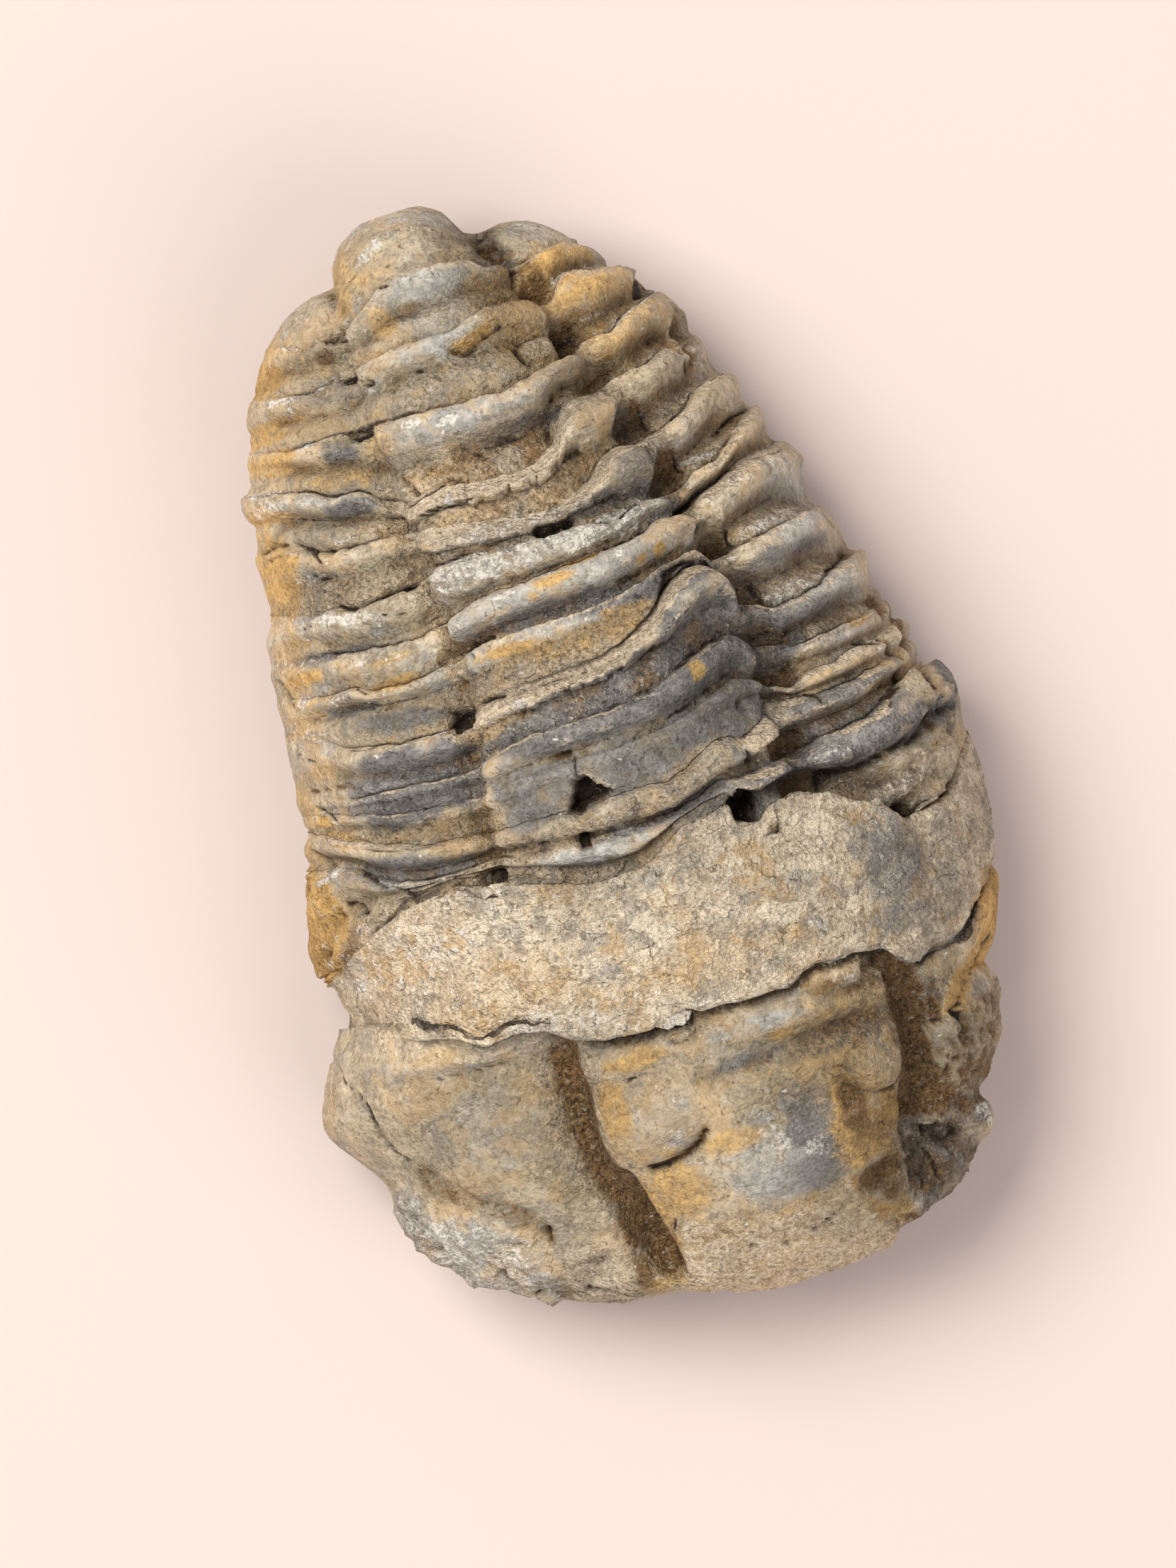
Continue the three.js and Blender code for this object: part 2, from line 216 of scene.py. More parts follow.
@dataclass(frozen=True)
class Survey:
    """Outline, furrows and heights of the whole stone, in millimetres.

    Attributes:
        tail_y: Rear end of the stone.
        head_y: Front end of the stone.
        ring_rise: How far the rings stand over their furrows.
        glabella_rise: How far the glabella stands over its furrows.
        band_rise: How far the smooth plate stands over the ribbed back.
        floor_sink: How far the underside is pressed past the rest face before it is cut flat.
        ring_arch: Outer and inner power of the arch over the rings.
        side_arch: The same for the sides.
        plate_arch: The same for the smooth plate.
        belly_arch: The same for the underside.
        left_edge: The outline's x on the left.
        right_edge: The outline's x on the right.
        left_furrow: The x of the furrow left of the rings.
        right_furrow: The x of the furrow right of the rings.
        crest: Height of the back along its middle.
        edge_height: Height at which the back meets the underside.
    """

    tail_y: float = 43.2
    head_y: float = -37.6
    ring_rise: float = 3.6
    glabella_rise: float = 4.6
    band_rise: float = 1.5
    floor_sink: float = 2.0
    ring_arch: tuple[float, float] = (2.4, 1.8)
    side_arch: tuple[float, float] = (2.3, 1.7)
    plate_arch: tuple[float, float] = (2.6, 1.8)
    belly_arch: tuple[float, float] = (3, 2.2)
    left_edge: Line = Line((
        (43.2, -6.3), (43.05, -7.6), (42.1, -10), (41, -10.9), (40, -11.2), (39.35, -11.7), (39.15, -13.4),
        (38.4, -15), (37, -17), (35.8, -18), (34.5, -19), (33.2, -19.7), (32.4, -20), (30.5, -20.5), (29.3, -20.9),
        (28, -21.2), (27.2, -22), (26.5, -22.2), (25, -21.8), (23.3, -22.5), (21.3, -22.4), (19.8, -22.7),
        (18, -23), (17, -23.8), (13, -24.3), (9, -24.6), (5, -25.2), (3, -25), (2.3, -25.5), (0, -25.4),
        (-2, -26.2), (-3.8, -26.8), (-5, -27.4), (-6, -27.3), (-8, -26.4), (-9.6, -26.5), (-11, -27.3),
        (-12.5, -28.5), (-14.2, -29.5), (-15.7, -30.2), (-17, -30.6), (-18, -30.2), (-19.3, -29.3),
        (-20.6, -28.3), (-22, -27.5), (-23.5, -27.3), (-25, -27), (-27, -26.7), (-28, -25.8), (-29.3, -24.3),
        (-30.5, -23.4), (-31.1, -22.6), (-31.5, -21.2), (-32.4, -20), (-33.3, -19), (-33.8, -18), (-34.3, -15.4),
        (-34.9, -13.6), (-35.4, -11.6), (-35.7, -9), (-36, -7.2), (-36.9, -5), (-37.4, -3.3), (-37.6, -1.3),
    ))
    right_edge: Line = Line((
        (43.2, -6.3), (42.95, -4.4), (42.1, -2.7), (41.1, -1.8), (40.3, -1), (40.1, 0.4), (39.9, 1.5),
        (39.3, 3), (38.4, 4.5), (37.8, 5.5), (37, 6.2), (36, 7.3), (35, 8), (34.2, 9), (32.7, 10), (31.3, 10.5),
        (29.8, 11.6), (28.5, 11.7), (26.5, 12), (25.3, 13), (24.6, 13.6), (24.1, 13.3), (23, 13.6), (22.5, 14.4),
        (20.5, 14.6), (19.5, 15.3), (17.8, 16.2), (16.9, 15.8), (15, 16.1), (13.6, 16.9), (11.8, 17.4),
        (10.8, 17.8), (10.1, 18.5), (7.8, 18.1), (7.2, 18.9), (5.3, 19), (4.3, 19.8), (3.2, 19.9), (1, 19.9),
        (0.8, 20.9), (-0.8, 21.8), (-3, 21.9), (-5, 22), (-8, 21.8), (-11.5, 21.3), (-14.2, 20.5),
        (-16.5, 19.7), (-18.2, 18.9), (-19, 18.4), (-19.9, 17.3), (-21.1, 17.9), (-22.3, 17.7), (-24.7, 16.9),
        (-26, 16.1), (-27.3, 15.2), (-28.9, 14.5), (-30.4, 14.2), (-32.4, 12.9), (-33.5, 12), (-34.3, 10.8),
        (-34.9, 9.5), (-35.9, 8), (-36.1, 6.6), (-37, 5), (-37.2, 3.2), (-37.6, 0.9), (-37.6, -1.3),
    ))
    left_furrow: Line = Line((
        (43, -10.5), (39, -11.7), (33, -12.2), (25, -12), (19, -11.7), (12, -11.2), (5, -12.5), (-17, -12.6),
        (-26, -12.3), (-30, -11), (-35, -9.7),
    ), rounded=True)
    right_furrow: Line = Line((
        (43, -1.8), (39, 0.7), (36.8, 1.3), (33.8, 2.4), (29.8, 3.7), (27, 4.7), (22.5, 6.2), (19, 7), (15, 8.2),
        (11, 9.4), (5, 10.2), (-1, 9.2), (-17, 11.2), (-23, 11.1), (-26, 10.4), (-28.5, 9.3), (-35, 8.2),
    ), rounded=True)
    crest: Line = Line((
        (43.2, 9), (43, 10.9), (42.4, 12.7), (41, 15.4), (39, 17.9), (36, 20.4), (31, 23), (24, 25.2),
        (16, 26.7), (8, 27.5), (0, 27.2), (-5, 26.2), (-12, 25.8), (-17.6, 25), (-20, 24.6), (-25, 23.6),
        (-29, 21.9), (-32, 19.8), (-34.5, 17.2), (-36.3, 14), (-37.2, 11.2), (-37.6, 8),
    ), rounded=True)
    edge_height: Line = Line(((43.2, 9), (36, 8), (20, 7), (0, 6.5), (-16, 7.5), (-30, 8), (-37.6, 8)), rounded=True)

    def box(self) -> Array:
        """Lowest and highest corner of the outline in plan.

        Returns:
            Both corners, each an x and a y.
        """
        left = min(x for _, x in self.left_edge.points)
        right = max(x for _, x in self.right_edge.points)
        return np.array(((left, self.head_y), (right, self.tail_y)))

    def lobe(self, y: Array) -> tuple[Array, Array]:
        """The x of both axial furrows at y, kept inside the outline at the ends.

        Args:
            y: Places along.

        Returns:
            The x of the left furrow and of the right one.
        """
        left, right = self.left_edge(y), self.right_edge(y)
        return (np.maximum(self.left_furrow(y), mix(left, right, 0.15)),
                np.minimum(self.right_furrow(y), mix(left, right, 0.88)))

    def back(self, x: Array, y: Array, plate: Array) -> Array:
        """Height of the back without its ledges.

        Args:
            x: Places across.
            y: Places along.
            plate: 1 where the smooth plate covers the neck, 0 off it.

        Returns:
            Heights over the rest face.
        """
        left, right, low, top = self.left_edge(y), self.right_edge(y), self.edge_height(y), self.crest(y)
        even_left, even_right = self._even_edge(self.left_edge, y), self._even_edge(self.right_edge, y)
        lobe_left, lobe_right = self.lobe(y)
        rise = mix(self.ring_rise, self.glabella_rise, ease(y, -16.0, -19.0)) * mix(0.12, 1.0, ease(y, -36.0, -32.0))
        furrow = top - rise * np.clip((top - low) / 12.0, 0.0, 1.0)
        across = (x - (lobe_left + lobe_right) / 2) / np.maximum((lobe_right - lobe_left) / 2, 1e-6)
        outward = np.where(x < lobe_left, (lobe_left - x) / np.maximum(lobe_left - left, 1e-6),
                           (x - lobe_right) / np.maximum(right - lobe_right, 1e-6))
        inner = np.where(x < lobe_left, (lobe_left - x) / np.maximum(lobe_left - even_left, 1.0),
                         (x - lobe_right) / np.maximum(even_right - lobe_right, 1.0))
        outward = mix(np.clip(inner, 0.0, 1.0), outward, ease(outward, 0.35, 0.97))
        ribbed = np.where(np.abs(across) < 1.0, furrow + (top - furrow) * arch(across, *self.ring_arch),
                          low + (furrow - low) * arch(outward, *self.side_arch))
        whole = (x - (left + right) / 2) / np.maximum((right - left) / 2, 1e-6)
        smooth = low + (top + self.band_rise - low) * arch(whole, *self.plate_arch)
        return mix(ribbed, smooth, plate)

    @staticmethod
    def _even_edge(edge: Line, y: Array) -> Array:
        """An edge's x without its notches, averaged over a few millimetres along the body.

        Args:
            edge: The outline on one side.
            y: Places along.

        Returns:
            Its even x.
        """
        reach = np.linspace(-5.0, 5.0, 11)
        weights = np.hanning(13)[1:-1]
        return sum(w * edge(np.clip(y + d, -36.5, 42.5)) for w, d in zip(weights, reach)) / weights.sum()

    def belly(self, across: Array, y: Array) -> Array:
        """Height of the underside at a share across (-1 to 1), with the flat rest face at 0.

        Args:
            across: Shares across, -1 at the left edge and 1 at the right.
            y: Places along.

        Returns:
            Heights over the rest face.
        """
        low = self.edge_height(y)
        tail = arch(np.clip((y - self.tail_y + 12) / 12, 0, 1), 2, 2)
        head = arch(np.clip((self.head_y + 10 - y) / 10, 0, 1), 2, 2)
        depth = (low + self.floor_sink) * np.minimum(tail, head)
        return np.maximum(0.0, low - depth * arch(across, *self.belly_arch))


# === Segments of the thorax ===


@dataclass(frozen=True)
class Profile:
    """Section through one segment, from its back edge towards the head.

    Attributes:
        rise: Height of the crest over the groove, in millimetres.
        face: Width of the broken face at the back edge, in millimetres.
        ring: Share of the segment that the raised part takes up.
        edge: Height at the top of the face, as a share of the rise.
        fall: Share of the raised part after which it falls away.
        foot: 0 where the fall ends softly, 1 where it ends in a sharp corner.
        swell: Height of the second, lower band in the groove, in millimetres.
        tilt: How far the groove climbs towards the next back edge, in millimetres.
        sand: How sandy the groove is, from 0 to 1.
        seam: How dark the painted shade is in the line before the next back edge, from 0 to 1.
    """

    rise: float = 1.3
    face: float = 0.25
    ring: float = 0.6
    edge: float = 0.75
    fall: float = 0.45
    foot: float = 0.3
    swell: float = 0.1
    tilt: float = 0.2
    sand: float = 0.6
    seam: float = 0.4

    def but(self, **changes: float) -> "Profile":
        """The same section but for the sizes that are named."""
        return replace(self, **changes)


RING = Profile()
TAIL_RING = Profile(0.9, 0.2, 0.5, 0.85, 0.35, 0.2, 0.4, 0.12, 0.15, 0.5)
FADE = Profile(0.2, 0.3, 0.5, 0.9, 0.3, 0.0, 0.08, 0.08, 0.0, 0.0)
RIB_LEFT = Profile(0.95, 0.22, 0.48, 0.8, 0.35, 0.25, 0.38, 0.3, 0.3, 0.75)
ROUGH = Profile(0.45, 0.2, 0.45, 0.8, 0.4, 0.5, 0.25, 0.15, 0.7, 0.5)
BROKEN = Profile(1.45, 1.3, 0.4, 0.97, 0.8, 0.95, 0.05, 0.3, 1.0, 0.3)
KNOB = Profile(2.0, 0.9, 0.86, 0.72, 0.5, 0.4, 0.0, 0.0, 0.2, 0.7)
DEEP = Profile(1.4, 0.35, 0.66, 0.75, 0.3, 0.3, -0.35, 0.0, 0.3, 0.8)
WEDGE = Profile(1.5, 0.38, 0.6, 0.8, 0.28, 0.95, 0.05, 0.75, 0.6, 0.75)
RIB_RIGHT = Profile(1.4, 0.35, 0.75, 0.8, 0.35, 0.5, 0.0, 0.25, 0.4, 0.7)
TIP_RIGHT = Profile(0.9, 0.3, 0.85, 0.85, 0.4, 0.3, 0.0, 0.1, 0.2, 0.5)


@dataclass(frozen=True)
class Segment:
    """One segment: its back edge in plan, and its sections at places across, each an x and a profile."""

    path: Points
    sections: tuple[tuple[float, Profile], ...]

    def at(self, name: str, x: Array) -> Array:
        """One size of the section at x."""
        return np.interp(x, [place for place, _ in self.sections],
                         [getattr(profile, name) for _, profile in self.sections])


SEGMENTS: tuple[Segment, ...] = (
    Segment(((-30, 41), (-24, 39), (-17.2, 36.9), (-15, 36), (-12.5, 36), (-10, 37), (-8, 38.3), (-2, 38.2),
             (-0.8, 37.3), (1.7, 37.1), (4.5, 37.3), (6, 37), (10, 38), (22, 42)),
             ((-19, FADE), (-16, RIB_LEFT.but(rise=0.4, sand=0.1)), (-11, TAIL_RING.but(rise=0.7)), (-4, TAIL_RING),
              (0.8, TAIL_RING), (1.6, RIB_RIGHT.but(rise=0.9)), (6, RIB_RIGHT.but(rise=0.8)), (8, FADE))),
    Segment(((-30, 37.5), (-24, 35.4), (-19.7, 33.8), (-15.5, 32.7), (-13, 33.1), (-9, 33.9), (-4.5, 33.8),
             (-1.5, 34.5), (0, 34.4), (2, 34), (3, 34.1), (4, 35.1), (6, 34.9), (8.5, 34.8), (13, 36), (22, 39)),
             ((-20, FADE), (-17, RIB_LEFT.but(rise=0.5, sand=0.15)), (-11, RIB_LEFT.but(rise=0.5)),
              (-4, TAIL_RING.but(rise=0.95, ring=0.36, swell=0.4, sand=0.5)),
              (1.8, TAIL_RING.but(rise=1.1, ring=0.5, sand=0.3)), (2.8, DEEP.but(ring=0.6)),
              (3.9, WEDGE.but(ring=0.64, rise=1.3)), (7.5, WEDGE.but(ring=0.75, rise=1.3, tilt=0.4)),
              (10, TIP_RIGHT))),
    Segment(((-30, 33), (-24, 31.3), (-21, 30.3), (-18, 29.3), (-12, 29.1), (-6, 28.7), (-2, 28.5), (0, 29),
             (3, 29.4), (3.8, 30.2), (6.3, 30.2), (7.2, 31), (10.2, 32.3), (14, 34), (22, 36.5)),
             ((-21, FADE.but(rise=0.35)), (-18, RIB_LEFT.but(rise=0.55, sand=0.1)),
              (-12, RIB_LEFT.but(rise=0.7, ring=0.55)), (-9, RING.but(rise=1.3, ring=0.6, sand=0.8)),
              (-4, RING.but(rise=2.2, ring=0.58, fall=0.48, sand=0.9)), (2.6, RING.but(rise=2.5, ring=0.62)),
              (3.8, DEEP), (8, DEEP.but(swell=-0.1, ring=0.7)), (8.6, WEDGE.but(ring=0.66)),
              (10.6, WEDGE.but(ring=0.7)), (12, TIP_RIGHT))),
    Segment(((-30, 30), (-24, 28), (-22, 27.3), (-19, 26.6), (-17, 25.8), (-15.8, 25.1), (-14, 25.1),
             (-11.5, 23.2), (-8.5, 23.6), (-6, 23.1), (-2, 23), (-1, 23.4), (0, 24.1), (0.6, 25.3), (1.2, 26.3),
             (2, 26.8), (4.4, 26.6), (5, 27.2), (7, 27.2), (9, 27.9), (10, 27.8), (12, 28.7), (22, 33)),
             ((-22, FADE.but(rise=0.6)), (-19, RIB_LEFT.but(rise=0.8, sand=0.1)),
              (-14, RIB_LEFT.but(rise=0.95, ring=0.5, sand=0.4)), (-11.4, BROKEN.but(rise=0.9)),
              (-8, BROKEN.but(rise=1.2)), (0.2, BROKEN.but(rise=1.5, face=1.15)),
              (1.4, KNOB.but(face=1.35, ring=0.6)), (2.6, KNOB), (4.2, KNOB), (5, DEEP.but(rise=1.5)),
              (6.5, DEEP), (6.9, WEDGE), (9.4, WEDGE), (10.4, RIB_RIGHT), (13, TIP_RIGHT))),
    Segment(((-30, 26), (-24, 23.8), (-22.4, 23.3), (-20, 22.7), (-18.5, 22), (-17.5, 21.6), (-15.5, 21.5),
             (-12, 21.2), (-8, 20.6), (-5, 20.1), (-2, 19.7), (0, 20.2), (1, 20.6), (2, 21.2), (3, 22.1),
             (4.2, 22.7), (5.5, 22.5), (7, 22.7), (9, 23.1), (9.8, 23.8), (10.5, 24.6), (12, 25.1), (13.2, 25.2),
             (22, 29)),
             ((-22, ROUGH), (-17, ROUGH.but(rise=0.6)), (-12.5, ROUGH), (-10, BROKEN.but(rise=0.8, ring=0.6)),
              (-4, BROKEN.but(rise=1.25, ring=0.62)), (1.8, BROKEN.but(rise=1.6, ring=0.5, face=1.15)),
              (3, KNOB.but(ring=0.7)), (4.2, KNOB), (5.8, KNOB), (6.6, DEEP), (7.6, DEEP), (8, WEDGE),
              (11.3, WEDGE), (12.4, RIB_RIGHT), (14, TIP_RIGHT))),
    Segment(((-30, 21.5), (-24, 19.2), (-20, 17.6), (-18.5, 17.9), (-17, 17.2), (-12.5, 17.6), (-10, 18.1),
             (-8, 18), (-4, 17.9), (0, 17.9), (2, 17.5), (4, 18.2), (6, 18.1), (7.4, 18.3), (8.5, 19),
             (10.5, 19.4), (11.5, 20.3), (13, 21.5), (14.2, 22.4), (22, 26)),
             ((-23, FADE), (-19, RIB_LEFT.but(ring=0.8, rise=0.7)), (-13, RIB_LEFT.but(ring=0.8, rise=0.8)),
              (-9, RING.but(rise=0.9, ring=0.85, fall=0.8, foot=0.9)),
              (0, RING.but(rise=1.1, ring=0.88, fall=0.8, foot=0.9)), (3, RING.but(rise=1, ring=0.6)),
              (6.5, RING.but(rise=1.1, ring=0.85)), (8, RIB_RIGHT.but(ring=0.85)),
              (14, RIB_RIGHT.but(ring=0.85)), (16, TIP_RIGHT))),
    Segment(((-30, 17), (-24, 15.6), (-18, 14.4), (-13, 13.9), (-9, 15.2), (-5, 15.4), (0, 15.6), (2, 15.8),
             (4.2, 16.1), (4.8, 16.6), (7, 16.5), (8.5, 17.4), (10, 17.9), (12, 18.9), (15, 19.6), (22, 22.5)),
             ((-24, FADE), (-20, ROUGH.but(rise=0.25, ring=0.9)), (-13, ROUGH.but(rise=0.25, ring=0.9)),
              (-10, RING.but(rise=1.8, ring=0.78, fall=0.58)), (3, RING.but(rise=2.3, ring=0.78, fall=0.55)),
              (7, RING.but(rise=1.9, ring=0.9)), (8.3, DEEP.but(ring=0.8)),
              (9.5, DEEP.but(face=0.9, ring=0.8)), (9.9, WEDGE.but(face=0.9, ring=0.62)),
              (15, WEDGE.but(face=0.8, ring=0.62)), (16.5, TIP_RIGHT))),
    Segment(((-30, 14), (-24, 12.9), (-22.3, 12.3), (-18.5, 12), (-17.5, 11.4), (-14, 11.1), (-11, 11.7),
             (-9, 12.1), (-5, 12.2), (0, 12.2), (3, 12.9), (5, 13.5), (7, 13.7), (8.2, 12.9), (9, 13.1),
             (12, 13.4), (14, 13.8), (15.5, 14), (17, 14.6), (22, 17)),
             ((-24, FADE), (-22, RIB_LEFT.but(rise=0.5, face=0.15, ring=0.3, sand=0.1)),
              (-14, RIB_LEFT.but(rise=0.8, face=0.12, ring=0.28, swell=0.4, sand=0.4)),
              (-11, ROUGH.but(rise=0.2, sand=1)), (4, ROUGH.but(rise=0.05, ring=0.3, sand=1)),
              (7.6, KNOB.but(rise=0.6, ring=0.9)), (8.6, DEEP.but(rise=1.1)), (10, DEEP), (10.5, WEDGE),
              (15.5, WEDGE), (17, TIP_RIGHT))),
    Segment(((-30, 12.2), (-24.5, 10.6), (-22, 9.3), (-20, 8), (-17, 7.3), (-13, 7.1), (-11, 8.2), (-6, 8.6),
             (-2, 8.7), (0, 9.2), (1, 9.7), (2.2, 10.3), (3.2, 11), (4, 11.9), (5, 12.6), (6, 13), (7.5, 13.1),
             (8.6, 11.6), (9.6, 9.6), (10.9, 8.4), (13, 8.4), (14.5, 8.8), (16, 9.6), (18.3, 10.5), (22, 12)),
             ((-24.5, FADE), (-21, RIB_LEFT.but(rise=0.6, ring=0.6, sand=0.1)),
              (-14, RIB_LEFT.but(rise=0.9, ring=0.75, fall=0.3)), (-11.2, BROKEN.but(rise=0.9, ring=0.4)),
              (-4, BROKEN.but(rise=1.3, ring=0.36)), (1.5, BROKEN.but(rise=1.6, ring=0.4, face=1.2)),
              (4, KNOB.but(face=1.3, ring=0.62)), (6, KNOB.but(face=1.0, ring=0.6, rise=2.2)),
              (8, KNOB.but(ring=0.55)), (9.2, DEEP.but(rise=1.0)), (10.6, DEEP.but(rise=1.2)),
              (11, WEDGE.but(ring=0.8)), (11.6, WEDGE), (17, WEDGE), (18.3, TIP_RIGHT))),
    Segment(((-30, 7.4), (-24.5, 6), (-22, 4.8), (-18, 4.3), (-13, 3.9), (-9, 5), (-4, 5.1), (0, 5), (1, 5.4),
             (3, 6.1), (5, 6.9), (6.5, 7.3), (8, 7.6), (9.5, 6.4), (11.5, 5.3), (14, 5.5), (17, 5.9), (18.6, 6.4),
             (22, 8)),
             ((-25, FADE), (-20, ROUGH.but(rise=0.3)), (-13, ROUGH.but(rise=0.35, sand=0.5)),
              (-11, RING.but(rise=0.8, ring=0.75)), (-3, RING.but(rise=1.0, ring=0.7, fall=0.6)),
              (6, RING.but(rise=1.4, ring=0.9)), (9, RING.but(rise=1.0, ring=0.9)),
              (11, ROUGH.but(rise=0.7)), (15, RIB_RIGHT.but(rise=0.8)), (18.5, TIP_RIGHT))),
    Segment(((-30, 5.4), (-24, 4.4), (-18, 2.5), (-13, 2), (-9, 2.3), (-1, 2.4), (3, 3), (7, 4.4), (9, 3.6),
             (10.5, 2.4), (12, 3.2), (14, 3.5), (18, 4.4), (22, 6)),
             ((-25, RIB_LEFT.but(rise=0.5)), (-19, ROUGH.but(rise=0.5, sand=0.8)),
              (-13, ROUGH.but(rise=0.4, sand=0.9)), (-9, ROUGH.but(rise=0.25, sand=0.8)),
              (4, ROUGH.but(rise=0.4, sand=0.4)), (9, ROUGH.but(rise=0.7)), (12, RIB_RIGHT.but(rise=1)),
              (16, RIB_RIGHT.but(rise=0.9)), (19, TIP_RIGHT))),
    Segment(((-30, 4.4), (-24.5, 3.3), (-23, 2.3), (-20, 1.1), (-17.5, 0.1), (-13, -0.6), (-6, -0.8), (-3.5, -0.7),
             (0, -0.9), (2, -0.3), (4, 0.8), (6.4, 0.5), (8, 1.1), (9.5, 1.8), (11.5, 1.7), (14, 1.6), (18.3, 2.6),
             (22, 4)),
             ((-25, RIB_LEFT.but(rise=0.7)), (-21, RIB_LEFT.but(rise=0.95, ring=0.8, sand=0.1)),
              (-16, RIB_LEFT.but(rise=0.9, ring=0.8)), (-12, ROUGH.but(rise=0.7, ring=0.7)),
              (-6, RING.but(rise=1.1, ring=0.85, fall=0.75, foot=0.9)),
              (4, RING.but(rise=1.2, ring=0.85, fall=0.75, foot=0.9)), (6.2, DEEP.but(face=0.9)),
              (8.8, RING.but(face=0.9, rise=1.5, ring=0.5)), (11, DEEP), (11.5, WEDGE), (16.5, WEDGE),
              (18.5, TIP_RIGHT))),
    Segment(((-30, 1.5), (-24, 0.5), (-22.5, -0.3), (-20, -2.1), (-18, -2.4), (-13, -2.7), (-6, -3.2), (0, -3.3),
             (2, -2.7), (4.2, -2.2), (6, -2.4), (8, -2), (9.5, -2.1), (11, -1.4), (15, -0.9), (16.5, 0),
             (18.3, 1.1), (22, 2.5)),
             ((-25, RIB_LEFT.but(rise=0.8)), (-20, RIB_LEFT.but(rise=0.8)), (-13, ROUGH.but(rise=0.5)),
              (-6, RING.but(rise=1.0, ring=0.8, fall=0.75, foot=0.9)),
              (4, RING.but(rise=1.1, ring=0.7, fall=0.7, foot=0.9)), (6, DEEP.but(rise=1.5)),
              (9.6, DEEP.but(rise=1.8)), (10.5, RIB_RIGHT.but(rise=2.2, ring=0.8)),
              (16, RIB_RIGHT.but(rise=2.2, ring=0.85)), (19, TIP_RIGHT.but(rise=1.2)))),
)

BAND_BACK: Points = (
    (-30, -7.5), (-25.2, -6.2), (-24.5, -5.4), (-22, -4.3), (-19.5, -3.1), (-16, -2.9), (-13, -3.7), (-9, -5),
    (-7, -5.7), (-3.3, -5.7), (-1.5, -4.8), (0, -3.9), (2, -3.5), (3.7, -3.2), (4.4, -4.6), (5.4, -5.2),
    (6.5, -4.2), (8, -4.1), (10, -4.4), (11.5, -5), (12.7, -5.8), (13.8, -6.5), (15, -7.2), (15.8, -8.3),
    (16.5, -8.1), (19, -7.8), (20.2, -6.4), (22, -4),
)
BAND_FRONT: Points = (
    (-31, -10), (-27, -10.8), (-26, -10.8), (-24.5, -11.8), (-22.8, -13), (-20, -14), (-18, -15.4), (-15.5, -15.4),
    (-13.5, -15.8), (-12, -16.7), (-9.5, -17.6), (-6, -17.8), (-5, -17.1), (-3.2, -17.1), (-2.6, -17.6),
    (0, -17.8), (4, -17.9), (5, -17.4), (6, -17), (9.4, -17), (11.2, -17.4), (12, -18.5), (13, -18.8),
    (14.5, -18.2), (17, -18), (18, -17), (19.5, -15.5), (20.4, -14), (22, -12),
)
NECK: Points = (
    (-31, -13.5), (-24, -16), (-18, -18.8), (-13, -20), (-9, -20.6), (3, -21), (10, -21), (13, -21.4),
    (18, -20), (22, -18),
)


def flat(y: float) -> Points:
    """A row straight across at y."""
    return ((-31.0, y), (23.0, y))


# === The grid that carries the surface ===


@dataclass(frozen=True)
class Columns:
    """How many columns each zone of a loop has."""

    side: int = 66
    ring: int = 84
    belly: int = 56

    @property
    def total(self) -> int:
        """All columns of one closed loop."""
        return 2 * self.side + self.ring + 1 + self.belly - 1


